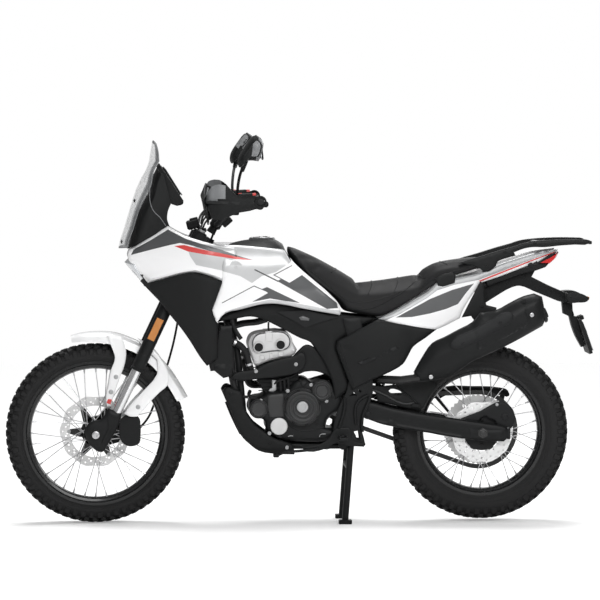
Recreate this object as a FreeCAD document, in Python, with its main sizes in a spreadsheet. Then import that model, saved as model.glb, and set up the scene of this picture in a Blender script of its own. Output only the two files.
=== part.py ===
import FreeCAD
import Part
import math
import os
from FreeCAD import Placement, Rotation, Vector

# A dual sport motorcycle on its centre stand.
# The front points along -X, the far side along +Y, up along +Z, and the floor is at Z = 0.
# Side view outlines are pixel coordinates of the reference picture, written (across, down).
# The scale comes from the wheelbase, and heights are counted from the front axle.

SIZES = {
    # Layout of the whole machine
    "wheelbase": 1400.0,
    "running_gap": 0.3,
    "seat_gap": 0.3,
    # Front wheel
    "front_tyre_radius": 326.0,
    "front_tyre_width": 100.0,
    "front_tyre_wall": 64.0,
    "front_rim_depth": 28.4,
    "front_rim_width": 74.0,
    "front_hub_radius": 26.0,
    "front_flange_radius": 42.0,
    "front_flange_spacing": 66.0,
    "front_axle_radius": 9.0,
    "front_disc_radius": 131.0,
    "front_disc_offset": 57.0,
    # Rear wheel
    "rear_tyre_radius": 320.0,
    "rear_tyre_width": 112.0,
    "rear_tyre_wall": 87.0,
    "rear_rim_depth": 25.0,
    "rear_rim_width": 84.0,
    "rear_hub_radius": 38.0,
    "rear_flange_radius": 56.0,
    "rear_flange_spacing": 74.0,
    "rear_axle_radius": 10.0,
    "rear_disc_radius": 113.0,
    "rear_disc_offset": 62.0,
    # Parts that both wheels share
    "rim_wall": 5.0,
    "lug_height": 9.0,
    "shoulder_drop": 7.0,
    "flange_thickness": 6.0,
    "spoke_size": 3.2,
    "disc_thickness": 5.0,
    "disc_slot_gap": 5.0,
    "caliper_inner": 18.0,
    "caliper_width": 40.0,
    "rear_caliper_width": 36.0,
    # Final drive
    "chain_line": 70.0,
    "chain_width": 17.0,
    "chain_height": 14.0,
    "chain_roller_width": 12.0,
    "chain_roller_height": 9.0,
    "sprocket_thickness": 6.0,
    "rear_chain_radius": 136.0,
    "front_chain_radius": 38.0,
    "tooth_gap": 3.0,
    # Fork and steering
    "fork_spacing": 190.0,
    "steering_offset": 32.0,
    "fork_outer_radius": 24.0,
    "fork_inner_radius": 18.5,
    "fork_foot_width": 48.0,
    "stem_radius": 14.0,
    "stem_gap": 0.5,
    "head_tube_radius": 27.0,
    "clamp_thickness": 28.0,
    "clamp_rim": 6.0,
    "bar_radius": 11.0,
    "bar_half_width": 392.0,
    "grip_radius": 16.5,
    "grip_length": 120.0,
    "guard_reach": 36.0,
    "guard_wall": 7.0,
    "mirror_reach": 385.0,
    "mirror_half_width": 64.0,
    "stalk_radius": 5.5,
    "hose_radius": 4.0,
    # Frame
    "backbone_radius": 23.0,
    "frame_tube_radius": 12.7,
    "rail_tube_radius": 10.2,
    "cross_tube_radius": 14.0,
    "cradle_half_width": 62.0,
    "plate_inner": 112.0,
    "plate_thickness": 12.0,
    "rail_half_width": 72.0,
    "swingarm_inner": 84.0,
    "swingarm_width": 24.0,
    "brace_clearance": 24.7,
    "pivot_radius": 20.0,
    "shock_radius": 25.0,
    # Engine
    "crankcase_half_width": 105.0,
    "gearbox_far_side": 45.0,
    "sprocket_cover_inner": 83.0,
    "cylinder_half_width": 66.0,
    "fin_depth": 8.0,
    "fin_thickness": 4.0,
    "head_half_width": 88.0,
    "cover_depth": 40.0,
    "large_cover_radius": 65.0,
    "middle_cover_radius": 42.0,
    "small_cover_radius": 31.0,
    "cover_cap_radius": 20.0,
    "cover_cap_height": 8.0,
    "radiator_width": 58.0,
    "skid_plate_half_width": 98.0,
    "skid_plate_wall": 6.0,
    "pipe_radius": 15.0,
    "muffler_inner": 132.0,
    "muffler_width": 92.0,
    "hanger_width": 24.0,
    # Bodywork widths
    "nose_half_width": 168.0,
    "nose_cavity_half_width": 136.0,
    "screen_half_width": 128.0,
    "screen_wall": 4.0,
    "screen_bracket_place": 50.0,
    "screen_bracket_width": 10.0,
    "dash_half_width": 96.0,
    "instrument_half_width": 88.0,
    "headlight_half_width": 92.0,
    "headlight_depth": 16.0,
    "shroud_inner": 136.0,
    "shroud_width": 44.0,
    "tank_half_width": 123.7,
    "tank_panel_inner": 124.0,
    "tank_panel_width": 46.0,
    "frame_cover_inner": 90.0,
    "frame_cover_width": 21.7,
    "side_cover_inner": 124.3,
    "side_cover_width": 22.0,
    "seat_half_width": 122.0,
    "tail_inner": 96.0,
    "tail_width": 30.0,
    "tail_light_half_width": 60.0,
    "rack_inner": 100.0,
    "rack_rail_width": 18.0,
    "rack_bolt_spacing_x": 120.0,
    "rack_bolt_spacing_y": 100.0,
    "rack_hole_radius": 4.25,
    "rack_hole_depth": 20.0,
    "fender_clearance": 39.0,
    "fender_drop": 26.0,
    "fender_wall": 5.0,
    "fender_leg_wall": 6.0,
    "plate_arm_half_width": 34.0,
    "plate_holder_half_width": 88.0,
    "indicator_reach": 118.0,
    "indicator_length": 46.0,
    # Stand, pegs and lid
    "stand_half_width": 96.0,
    "stand_tube_radius": 12.0,
    "stand_pin_radius": 8.0,
    "stand_boss_wall": 4.0,
    "stand_foot_length": 46.0,
    "stand_foot_height": 8.0,
    "peg_length": 78.0,
    "peg_radius": 11.0,
    "cap_radius": 36.0,
    "cap_height": 7.0,
    "neck_radius": 26.0,
    "neck_depth": 50.0,
    "overrun": 2.0,
}

# Named places in the picture
MIDDLE_PX = 298.1
FRONT_AXLE_PX = (95.5, 432.1)
REAR_AXLE_PX = (480.9, 431.8)
FORK_TOP_PX = (200.9, 231.0)
FORK_END_PX = (113.0, 417.4)
FRONT_SPROCKET_PX = (338.0, 409.5)
PIVOT_PX = (366.0, 412.0)
STAND_PX = (350.0, 435.0)
CAP_PX = (262.0, 238.6)

# Counts, shares and angles
SPOKE_COUNT = 36
FULL_TURN = 360.0
ROD_SIDES = 16
TUBE_SIDES = 8
WHEEL_SIDES = 24
WAVE_COUNT = 8
TOOTH_COUNT = 40
REAR_LINKS = 26
FRONT_LINKS = 8
WAVE_STEPS = 5
WAVE_SHARE = 0.06
FLANGE_FOOT_SHARE = 0.66
RIM_SIDES = 48
CROWN_LUG_COUNT = 26
EDGE_LUG_COUNT = 13
LUG_SHARE = 0.62
EDGE_LUG_SHARE = 0.4
SHOULDER_SHARE = 0.30
TREAD_SHARES = (0.50, 0.60, 0.98)
SPOKE_LEAN_ANGLE = 42.0
SPOKE_SEAT_SHARE = 0.08
HOSE_ARC_SHARE = 0.45
FENDER_START_ANGLE = 14.0
FENDER_SPAN_ANGLE = 82.0

SIDE_VIEW = Rotation(Vector(1, 0, 0), 90)
ACROSS = Vector(0, 1, 0)

doc = FreeCAD.newDocument("Motorcycle")
sheet = doc.addObject("Spreadsheet::Sheet", "Sizes")
for row, (alias, value) in enumerate(SIZES.items(), start=1):
    sheet.set(f"A{row}", alias)
    sheet.set(f"B{row}", str(value))
    sheet.setAlias(f"B{row}", alias)
doc.recompute()

NODES = []


def mm(alias):
    """One size from the sheet."""
    return float(sheet.get(alias))


PIXEL = mm("wheelbase") / (REAR_AXLE_PX[0] - FRONT_AXLE_PX[0])


def at(spot_px):
    """A place in the side view as (x, z)."""
    across_px, down_px = spot_px
    x = (across_px - MIDDLE_PX) * PIXEL
    z = mm("front_tyre_radius") + (FRONT_AXLE_PX[1] - down_px) * PIXEL
    return x, z


def spot(spot_px, y=0.0):
    """A place in the side view, at y across the machine."""
    x, z = at(spot_px)
    return Vector(x, y, z)


def between(first, second, share):
    """Outline points that lie a share of the way from the first outline to the second."""
    return [(a[0] + (b[0] - a[0]) * share, a[1] + (b[1] - a[1]) * share)
            for a, b in zip(first, second)]


def sketch(label, points, y=0.0):
    """A closed outline of straight lines, drawn in the side view."""
    outline = doc.addObject("Sketcher::SketchObject", label)
    corners = [Vector(x, z, 0) for x, z in points]
    for start, end in zip(corners, corners[1:] + corners[:1]):
        outline.addGeometry(Part.LineSegment(start, end), False)
    outline.Placement = Placement(Vector(0, y, 0), SIDE_VIEW)
    return outline


def slab(label, points_px, start, width):
    """A side view outline pushed out from y = start by width, both formulas of the sheet."""
    outline = sketch(label + "Outline", [at(point) for point in points_px])
    outline.setExpression("Placement.Base.y", start)
    block = doc.addObject("Part::Extrusion", label)
    block.Base = outline
    block.DirMode = "Custom"
    block.Dir = ACROSS
    block.Solid = True
    block.setExpression("LengthFwd", width)
    return block


def wide_slab(label, points_px, half_width):
    """A side view outline that reaches as far to both sides."""
    return slab(label, points_px, f"-{half_width}", f"2 * {half_width}")


def loft_across(label, middle_px, side_px, half_width, stations, centre="0"):
    """A loft over outlines that change from the middle one to the side one.

    Each station is a share of the half width with the share of the change there.
    """
    sections = []
    mirrored = [(-place, change) for place, change in reversed(stations) if place > 0]
    for number, (place, change) in enumerate(mirrored + list(stations)):
        points = [at(point) for point in between(middle_px, side_px, change)]
        section = sketch(f"{label}Section{number}", points)
        section.setExpression("Placement.Base.y", f"{centre} + {half_width} * {place}")
        sections.append(section)
    shell = doc.addObject("Part::Loft", label)
    shell.Sections = sections
    shell.Solid = True
    shell.Ruled = True
    return shell


def loft_out(label, inner_px, outer_px, start, width):
    """A panel from its inner outline at y = start to its outer outline."""
    sections = []
    for number, points_px in enumerate((inner_px, outer_px)):
        section = sketch(f"{label}Section{number}", [at(point) for point in points_px])
        section.setExpression("Placement.Base.y", f"{start} + {width} * {number}")
        sections.append(section)
    panel = doc.addObject("Part::Loft", label)
    panel.Sections = sections
    panel.Solid = True
    panel.Ruled = True
    return panel


def shrunk(points_px, share, centre_px=None):
    """An outline drawn in towards its centre by a share."""
    count = len(points_px)
    if centre_px is None:
        centre_px = (sum(p[0] for p in points_px) / count, sum(p[1] for p in points_px) / count)
    return between(points_px, [centre_px] * count, share)


def turned(label, profile, centre, angle=FULL_TURN, start_angle=0.0):
    """A solid turned about an axis across the machine, from (radius, y) points."""
    outline = doc.addObject("Sketcher::SketchObject", label + "Profile")
    corners = [Vector(radius, y, 0) for radius, y in profile]
    for begin, end in zip(corners, corners[1:] + corners[:1]):
        outline.addGeometry(Part.LineSegment(begin, end), False)
    outline.Placement = Placement(centre, Rotation(ACROSS, start_angle))
    solid = doc.addObject("Part::Revolution", label)
    solid.Source = outline
    solid.Axis = ACROSS
    solid.Base = centre
    solid.Angle = angle
    solid.Solid = True
    return solid


def rod(label, start, end, radius, sides=ROD_SIDES):
    """A bar of many flat sides between two points, its radius a formula of the sheet."""
    bar = doc.addObject("Part::Prism", label)
    direction = end - start
    bar.Polygon = sides
    bar.Height = direction.Length
    bar.setExpression("Circumradius", radius)
    bar.Placement = Placement(start, Rotation(Vector(0, 0, 1), direction))
    return bar


def round_rod(label, start, end, radius):
    """A truly round bar or bore between two points."""
    bar = doc.addObject("Part::Cylinder", label)
    direction = end - start
    bar.Height = direction.Length
    bar.setExpression("Radius", radius)
    bar.Placement = Placement(start, Rotation(Vector(0, 0, 1), direction))
    return bar


def tube_path(points, bend_radius):
    """A wire of straight runs joined by tangent arcs."""
    edges = []
    last = points[0]
    for before, corner, after in zip(points, points[1:], points[2:]):
        back = (before - corner).normalize()
        ahead = (after - corner).normalize()
        half_angle = back.getAngle(ahead) / 2
        reach = bend_radius / math.tan(half_angle)
        centre = corner + (back + ahead).normalize() * (bend_radius / math.sin(half_angle))
        middle = centre - (back + ahead).normalize() * bend_radius
        begin = corner + back * reach
        end = corner + ahead * reach
        edges.append(Part.LineSegment(last, begin).toShape())
        edges.append(Part.Arc(begin, middle, end).toShape())
        last = end
    edges.append(Part.LineSegment(last, points[-1]).toShape())
    return Part.Wire(edges)


def tube(label, points, bend_radius, radius, sides=TUBE_SIDES):
    """A tube swept along straight runs and arcs, truly round where it has no sides."""
    path = doc.addObject("Part::Feature", label + "Path")
    path.Shape = tube_path(points, bend_radius)
    if sides:
        ring = doc.addObject("Part::RegularPolygon", label + "Ring")
        ring.Polygon = sides
        ring.setExpression("Circumradius", radius)
    else:
        ring = doc.addObject("Part::Circle", label + "Ring")
        ring.setExpression("Radius", radius)
    ring.Placement = Placement(points[0], Rotation(Vector(0, 0, 1), points[1] - points[0]))
    sweep = doc.addObject("Part::Sweep", label)
    sweep.Sections = [ring]
    sweep.Spine = (path, [f"Edge{number + 1}" for number in range(len(path.Shape.Edges))])
    sweep.Solid = True
    return sweep


def cut(label, base, tool):
    """The base without the tool."""
    result = doc.addObject("Part::Cut", label)
    result.Base = base
    result.Tool = tool
    return result


def fuse(label, shapes):
    """One solid of several that meet."""
    result = doc.addObject("Part::MultiFuse", label)
    result.Shapes = shapes
    return result


def common(label, shapes):
    """What several solids share."""
    result = doc.addObject("Part::MultiCommon", label)
    result.Shapes = shapes
    return result


def mirror(label, shape):
    """The same piece on the other side of the machine."""
    result = doc.addObject("Part::Mirroring", label)
    result.Source = shape
    result.Normal = ACROSS
    return result


def group(label, shapes):
    """Pieces of one node that don't touch."""
    result = doc.addObject("Part::Compound", label)
    result.Links = shapes
    return result


def both_sides(label, shape):
    """A piece and its mirror image as one node."""
    return group(label, [shape, mirror(label + "Mirrored", shape)])


def node(name, shape):
    """The finished sub-part under its plain name."""
    shape.Label = name
    NODES.append(shape)
    return shape


# Wheels
def wheel_radii(wheel):
    """The tip of the tyre, the flange of the rim, the floor of its well and its opening."""
    tip = mm(f"{wheel}_tyre_radius")
    flange = tip - mm(f"{wheel}_tyre_wall")
    return tip, flange, flange - 3 * mm("rim_wall"), flange - mm(f"{wheel}_rim_depth")


def ring_plate(label, centre, radius, half_width):
    """A disc of many flat sides, as wide to both sides of the wheel's middle."""
    return rod(label, centre - ACROSS * half_width, centre + ACROSS * half_width, f"{radius} mm", RIM_SIDES)


def lug_band(label, centre, radii, start, width, count, lug_share, phase_share=0.0):
    """A disc with a row of tread lugs round it. The phase shifts the row by a share of its pitch."""
    points = []
    tip, root = radii
    pitch = 2 * math.pi / count
    for number in range(count):
        begin = (number + phase_share) * pitch
        end = begin + lug_share * pitch
        for radius, angle in ((root, begin), (tip, begin), (tip, end), (root, end)):
            points.append((centre.x + radius * math.cos(angle), centre.z + radius * math.sin(angle)))
    outline = sketch(label + "Outline", points, start)
    block = doc.addObject("Part::Extrusion", label)
    block.Base = outline
    block.DirMode = "Custom"
    block.Dir = ACROSS
    block.Solid = True
    block.LengthFwd = width
    return block


def tyre(wheel, centre):
    """A knobbly tyre that fills the rim well, out to the tips of its lugs."""
    label = wheel.title() + "Tyre"
    gap = mm("running_gap")
    tip, flange, well = wheel_radii(wheel)[:-1]
    half = mm(f"{wheel}_tyre_width") / 2
    bead = mm(f"{wheel}_rim_width") / 2 - mm("rim_wall") - gap
    root = tip - mm("lug_height")
    drop = mm("shoulder_drop")
    shoulder = tip - SHOULDER_SHARE * mm(f"{wheel}_tyre_wall")
    crown_half, lug_start, lug_end = [half * share for share in TREAD_SHARES]
    parts = [ring_plate(label + "Wall", centre, shoulder, half),
             ring_plate(label + "Crown", centre, root, crown_half + mm("rim_wall")),
             lug_band(label + "CrownLugs", centre, (tip, root - drop), -crown_half, 2 * crown_half,
                      CROWN_LUG_COUNT, LUG_SHARE)]
    for number, start in enumerate((-lug_end, lug_start)):
        parts.append(lug_band(f"{label}EdgeLugs{number}", centre, (tip - drop, shoulder - drop), start,
                              lug_end - lug_start, EDGE_LUG_COUNT, EDGE_LUG_SHARE, number / 2))
    bore = ring_plate(label + "Bore", centre, well + gap, half + mm("overrun"))
    lip = cut(label + "Lip", ring_plate(label + "LipDisc", centre, flange + gap, half + mm("overrun")),
              ring_plate(label + "LipRoom", centre, flange + 2 * gap, bead))
    hollow = cut(label + "Hollow", fuse(label + "Solid", parts), bore)
    return node(f"{wheel}_tyre", cut(label, hollow, lip))


def rim(wheel, centre):
    """A rim with a well between two flanges."""
    label = wheel.title() + "Rim"
    flange, well, opening = wheel_radii(wheel)[1:]
    half = mm(f"{wheel}_rim_width") / 2
    disc_solid = ring_plate(label + "Disc", centre, flange, half)
    bore = ring_plate(label + "Bore", centre, opening, half + mm("overrun"))
    groove = cut(label + "Groove",
                 ring_plate(label + "GrooveDisc", centre, flange + mm("overrun"), half - mm("rim_wall")),
                 ring_plate(label + "GrooveFloor", centre, well, half))
    return node(f"{wheel}_rim", cut(label, cut(label + "Bored", disc_solid, bore), groove))


def hub(name, centre, radius, flange_radius, spacing, half_length, axle_radius):
    """A hub with two spoke flanges and a bore for its axle."""
    label = name.title().replace("_", "")
    reach = ACROSS * half_length
    barrel = rod(label + "Barrel", centre - reach, centre + reach, radius, WHEEL_SIDES)
    flanges = []
    for number, side in enumerate((-1, 1)):
        middle = centre + ACROSS * (side * mm(spacing) / 2)
        half = ACROSS * (mm("flange_thickness") / 2)
        flanges.append(rod(f"{label}Flange{number}", middle - half, middle + half,
                           flange_radius, WHEEL_SIDES))
    bore = round_rod(label + "Bore", centre - reach * 2, centre + reach * 2,
                     f"Sizes.{axle_radius} + Sizes.running_gap")
    return node(name, cut(label, fuse(label + "Solid", [barrel] + flanges), bore))


def spokes(wheel, centre):
    """Crossed wire spokes from both flanges to the rim."""
    name = f"{wheel}_spokes"
    spacing = mm(f"{wheel}_flange_spacing")
    size = mm("spoke_size")
    gap = mm("seat_gap")
    inner = mm(f"{wheel}_flange_radius") + 4 * gap
    outer = wheel_radii(wheel)[-1] * math.cos(math.pi / RIM_SIDES) - 2 * gap
    step = 2 * math.pi / SPOKE_COUNT
    wires = []
    for number in range(SPOKE_COUNT):
        side = 1 if number % 2 else -1
        lean = 1 if number % 4 < 2 else -1
        angle = number * step
        root_angle = angle + lean * math.radians(SPOKE_LEAN_ANGLE)
        root = centre + Vector(inner * math.cos(root_angle), side * spacing / 2,
                               inner * math.sin(root_angle))
        tip = centre + Vector(outer * math.cos(angle), side * mm(f"{wheel}_rim_width") * SPOKE_SEAT_SHARE,
                              outer * math.sin(angle))
        bar = doc.addObject("Part::Box", f"{name}Wire{number}".replace("_", ""))
        direction = tip - root
        turn = Rotation(Vector(0, 0, 1), direction)
        bar.Height = direction.Length - size / 2
        bar.Length = size
        bar.Width = size
        corner = root + turn.multVec(Vector(-size / 2, -size / 2, size / 2))
        bar.Placement = Placement(corner, turn)
        wires.append(bar)
    return node(name, group(name.title().replace("_", ""), wires))


def disc(name, centre, radius, offset, hub_radius):
    """A brake disc with a wavy rim, seated on the hub. The offset is signed."""
    label = name.title().replace("_", "")
    half = mm("disc_thickness") / 2
    points = []
    for number in range(WAVE_COUNT * WAVE_STEPS):
        angle = 2 * math.pi * number / (WAVE_COUNT * WAVE_STEPS)
        reach = mm(radius) * (1 - WAVE_SHARE * (1 - math.cos(WAVE_COUNT * angle)) / 2)
        points.append((centre.x + reach * math.cos(angle), centre.z + reach * math.sin(angle)))
    outline = sketch(label + "Outline", points, centre.y + offset - half)
    plate = doc.addObject("Part::Extrusion", label + "Plate")
    plate.Base = outline
    plate.DirMode = "Custom"
    plate.Dir = ACROSS
    plate.Solid = True
    plate.setExpression("LengthFwd", "Sizes.disc_thickness")
    reach = ACROSS * (abs(offset) * 2)
    bore = rod(label + "Bore", centre - reach, centre + reach,
               f"Sizes.{hub_radius} + Sizes.seat_gap", WHEEL_SIDES)
    return node(name, cut(label, plate, bore))


front_centre = spot(FRONT_AXLE_PX)
rear_centre = spot(REAR_AXLE_PX)

for wheel, centre in (("front", front_centre), ("rear", rear_centre)):
    tyre(wheel, centre)
    rim(wheel, centre)
    spokes(wheel, centre)
front_hub_half = mm("front_disc_offset") + mm("disc_thickness")
rear_hub_half = mm("chain_line") + mm("sprocket_thickness")
hub("front_hub", front_centre, "Sizes.front_hub_radius", "Sizes.front_flange_radius",
    "front_flange_spacing", front_hub_half, "front_axle_radius")
hub("rear_hub", rear_centre, "Sizes.rear_hub_radius", "Sizes.rear_flange_radius",
    "rear_flange_spacing", rear_hub_half, "rear_axle_radius")
disc("front_disc", front_centre, "front_disc_radius", mm("front_disc_offset"), "front_hub_radius")
disc("rear_disc", rear_centre, "rear_disc_radius", -mm("rear_disc_offset"), "rear_hub_radius")


# Final drive
sprocket_half = mm("sprocket_thickness") / 2
rear_tip = mm("rear_chain_radius") - mm("chain_roller_height") / 2 - mm("tooth_gap")
front_tip = mm("front_chain_radius") - mm("chain_roller_height") / 2 - mm("tooth_gap")
chain_place = ACROSS * mm("chain_line")
sprocket_plate = rod("RearSprocketPlate", rear_centre + chain_place - ACROSS * sprocket_half,
                     rear_centre + chain_place + ACROSS * sprocket_half, f"{rear_tip} mm", TOOTH_COUNT)
sprocket_bore = rod("RearSprocketBore", rear_centre, rear_centre + chain_place * 2,
                    "Sizes.rear_hub_radius + Sizes.seat_gap", WHEEL_SIDES)
node("rear_sprocket", cut("RearSprocket", sprocket_plate, sprocket_bore))

front_sprocket_centre = spot(FRONT_SPROCKET_PX)
hub_end = mm("chain_line") + sprocket_half
node("front_sprocket", rod("FrontSprocket",
                           front_sprocket_centre + ACROSS * (mm("gearbox_far_side") + mm("seat_gap")),
                           front_sprocket_centre + ACROSS * hub_end,
                           f"{front_tip} mm"))


def belt(front_radius, rear_radius):
    """The closed line round both sprockets, straight from link to link."""
    span = rear_centre - front_sprocket_centre
    gap = math.hypot(span.x, span.z)
    tilt = math.atan2(span.z, span.x)
    swing = math.acos((front_radius - rear_radius) / gap)
    points = []
    for centre, radius, count, begin, turn in (
            (rear_centre, rear_radius, REAR_LINKS, tilt + swing, -2 * swing),
            (front_sprocket_centre, front_radius, FRONT_LINKS, tilt - swing, -2 * (math.pi - swing))):
        for number in range(count + 1):
            angle = begin + turn * number / count
            points.append(centre + Vector(radius * math.cos(angle), 0, radius * math.sin(angle)))
    return Part.makePolygon(points + points[:1])


def band(height, width):
    """A closed band round both sprockets, centred on the chain line."""
    outside = Part.Face(belt(mm("front_chain_radius") + height / 2,
                             mm("rear_chain_radius") + height / 2))
    inside = Part.Face(belt(mm("front_chain_radius") - height / 2,
                            mm("rear_chain_radius") - height / 2))
    ring = outside.cut(inside)
    ring.translate(ACROSS * (mm("chain_line") - width / 2))
    return ring.extrude(ACROSS * width)


rollers = band(mm("chain_roller_height"), mm("chain_width"))
plates = band(mm("chain_height"), mm("chain_width"))
between_plates = band(mm("chain_height") + mm("overrun"), mm("chain_roller_width"))
chain = doc.addObject("Part::Feature", "Chain")
chain.Shape = plates.cut(between_plates).fuse(rollers)
node("chain", chain)


# Fork and steering, on an axis leaned back from upright
fork_direction = (spot(FORK_TOP_PX) - spot(FORK_END_PX)).normalize()
behind_fork = Vector(fork_direction.z, 0, -fork_direction.x)
FORK_JOIN_SHARE = 0.267
LOWER_CLAMP_SHARE = 0.73
UPPER_CLAMP_SHARE = 0.969
fork_join, lower_middle, upper_middle = [
    spot(FORK_END_PX) + (spot(FORK_TOP_PX) - spot(FORK_END_PX)) * share
    for share in (FORK_JOIN_SHARE, LOWER_CLAMP_SHARE, UPPER_CLAMP_SHARE)]
half_spacing = mm("fork_spacing") / 2
fork_y = ACROSS * half_spacing
node("fork_outer_tubes", both_sides("ForkOuterTubes", rod(
    "ForkOuterTube", fork_join - fork_y, spot(FORK_TOP_PX) - fork_y,
    "Sizes.fork_outer_radius")))
node("fork_inner_tubes", both_sides("ForkInnerTubes", rod(
    "ForkInnerTube", spot(FORK_END_PX) - fork_y, fork_join - fork_y,
    "Sizes.fork_inner_radius")))

FORK_FOOT_PX = [(107, 414.6), (119, 420.2), (112.5, 437), (103, 451.5), (96.5, 450), (88, 441),
                (86.5, 430), (92, 421), (100, 419)]
foot_block = slab("ForkFootBlock", FORK_FOOT_PX, "(Sizes.fork_spacing - Sizes.fork_foot_width) / 2",
                  "Sizes.fork_foot_width")
foot_bore = round_rod("ForkFootBore", front_centre, front_centre + ACROSS * mm("fork_spacing"),
                      "Sizes.front_axle_radius")
foot_end = doc.addObject("Part::Box", "ForkFootEnd")
foot_end.setExpression("Length", "Sizes.fork_spacing")
foot_end.setExpression("Width", "Sizes.fork_spacing")
foot_end.setExpression("Height", "Sizes.fork_spacing")
foot_turn = Rotation(Vector(0, 0, 1), fork_direction)
foot_end.Placement = Placement(
    spot(FORK_END_PX) - foot_turn.multVec(Vector(half_spacing, 0, 0)), foot_turn)
foot = cut("ForkFoot", cut("ForkFootCut", foot_block, foot_bore), foot_end)
node("fork_feet", both_sides("ForkFeet", foot))
axle_half = (mm("fork_spacing") + mm("fork_foot_width")) / 2
node("front_axle", round_rod("FrontAxle", front_centre - ACROSS * axle_half,
                             front_centre + ACROSS * axle_half,
                             "Sizes.front_axle_radius - Sizes.running_gap / 3"))

steering_shift = behind_fork * mm("steering_offset")


def clamp(label, middle):
    """A yoke that holds both fork tubes and the steering stem."""
    thick = mm("clamp_thickness")
    low = middle - fork_direction * (thick / 2)
    high = middle + fork_direction * (thick / 2)
    ring_radius = "Sizes.fork_outer_radius + Sizes.clamp_rim"
    rings = [rod(f"{label}Ring{number}", low + fork_y * side, high + fork_y * side, ring_radius)
             for number, side in enumerate((-1, 1))]
    hub_rod = rod(label + "Hub", low + steering_shift, high + steering_shift,
                  "Sizes.head_tube_radius")
    bridge = doc.addObject("Part::Box", label + "Bridge")
    bridge.setExpression("Length", "Sizes.steering_offset + Sizes.clamp_rim")
    bridge.setExpression("Width", "Sizes.fork_spacing")
    bridge.setExpression("Height", "Sizes.clamp_thickness")
    bridge_turn = Rotation(Vector(0, 0, 1), fork_direction)
    bridge.Placement = Placement(low - fork_y, bridge_turn)
    holes = [rod(f"{label}Hole{number}", low + fork_y * side - fork_direction * mm("overrun"),
                 high + fork_y * side + fork_direction * mm("overrun"),
                 "Sizes.fork_outer_radius + Sizes.running_gap / 3")
             for number, side in enumerate((-1, 1))]
    return cut(label, fuse(label + "Solid", rings + [hub_rod, bridge]),
               group(label + "Holes", holes))


upper_clamp = clamp("UpperClamp", upper_middle)
lower_clamp = clamp("LowerClamp", lower_middle)
stem = round_rod("SteeringStem", lower_middle + steering_shift,
                 upper_middle + steering_shift, "Sizes.stem_radius")
node("triple_clamps", fuse("TripleClamps", [upper_clamp, lower_clamp, stem]))

# Handlebar with its risers, grips, guards and mirrors
RISER_PX = (216.0, 224.0)
RISER_FOOT_PX = (210.5, 232.6)
RISER_SHARE = 0.3
GRIP_START_PX = (238.0, 203.0)
GRIP_END_PX = (261.5, 201.5)
grip_inner = mm("bar_half_width") - mm("grip_length")
bar_points = [spot(GRIP_END_PX, -mm("bar_half_width")), spot(GRIP_START_PX, -grip_inner),
              spot(RISER_PX, -RISER_SHARE * grip_inner), spot(RISER_PX, RISER_SHARE * grip_inner),
              spot(GRIP_START_PX, grip_inner), spot(GRIP_END_PX, mm("bar_half_width"))]
bar_tube = tube("HandlebarTube", bar_points, 2 * mm("clamp_thickness"), "Sizes.bar_radius",
                sides=0)
risers = [rod(f"Riser{number}", spot(RISER_FOOT_PX, side * mm("clamp_thickness")),
              spot(RISER_PX, side * mm("clamp_thickness")), "Sizes.stem_radius")
          for number, side in enumerate((-1, 1))]
node("handlebar", fuse("Handlebar", [bar_tube] + risers))


GRIP_START_SHARE = 0.14


def grip(label, side):
    """A grip round the bar's end."""
    start = spot(GRIP_START_PX, side * grip_inner)
    end = spot(GRIP_END_PX, side * mm("bar_half_width"))
    outside = rod(label + "Outside", start + (end - start) * GRIP_START_SHARE, end, "Sizes.grip_radius")
    inside = round_rod(label + "Inside", start, end + (end - start) * GRIP_START_SHARE,
                       "Sizes.bar_radius + Sizes.running_gap / 3")
    return cut(label, outside, inside)


node("grips", group("Grips", [grip("NearGrip", -1), grip("FarGrip", 1)]))


def plan_slab(label, points, low, high):
    """A plan view outline of (pixels across, y) points, pushed up from one height to another."""
    outline = doc.addObject("Sketcher::SketchObject", label + "Outline")
    low_z = at((0, low))[1]
    high_z = at((0, high))[1]
    corners = [Vector(at((across_px, 0))[0], y, 0) for across_px, y in points]
    for start, end in zip(corners, corners[1:] + corners[:1]):
        outline.addGeometry(Part.LineSegment(start, end), False)
    outline.Placement = Placement(Vector(0, 0, low_z), Rotation())
    block = doc.addObject("Part::Extrusion", label)
    block.Base = outline
    block.DirMode = "Custom"
    block.Dir = Vector(0, 0, 1)
    block.Solid = True
    block.LengthFwd = high_z - low_z
    return block


GUARD_BOLT_PX = (259.0, 201.8)
guard = mm("bar_half_width") + mm("guard_reach")
guard_wall_px = mm("guard_wall") / PIXEL
GUARD_FRONT_PX, GUARD_CORNER_PX, GUARD_END_PX = 203.0, 209.0, 262.0
GUARD_LOW_PX, GUARD_TOP_PX = 222.0, 184.0
GUARD_INNER_SHARE, GUARD_BEND_SHARE, GUARD_CORNER_SHARE = 0.55, 0.9, 0.88
guard_inside = guard - mm("guard_wall")
guard_plan = [(GUARD_FRONT_PX, GUARD_INNER_SHARE * guard), (GUARD_FRONT_PX, GUARD_BEND_SHARE * guard),
              (GUARD_CORNER_PX, guard), (GUARD_END_PX, guard), (GUARD_END_PX, guard_inside),
              (GUARD_CORNER_PX + guard_wall_px, guard_inside),
              (GUARD_FRONT_PX + guard_wall_px, GUARD_CORNER_SHARE * guard),
              (GUARD_FRONT_PX + guard_wall_px, GUARD_INNER_SHARE * guard)]
guard_block = plan_slab("GuardBlock", guard_plan, GUARD_LOW_PX, GUARD_TOP_PX)
GUARD_SIDE_PX = [(203, 199), (207, 192), (212, 186), (217, 184.5), (224, 185), (230, 189), (236, 195),
                 (262.5, 196), (262.5, 207.5), (238, 213), (222, 220), (214, 221), (210, 217), (204, 205)]
guard_side = slab("GuardSide", GUARD_SIDE_PX, "0", "Sizes.bar_half_width + Sizes.guard_reach + Sizes.overrun")
guard_shell = common("GuardShell", [guard_block, guard_side])
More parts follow.
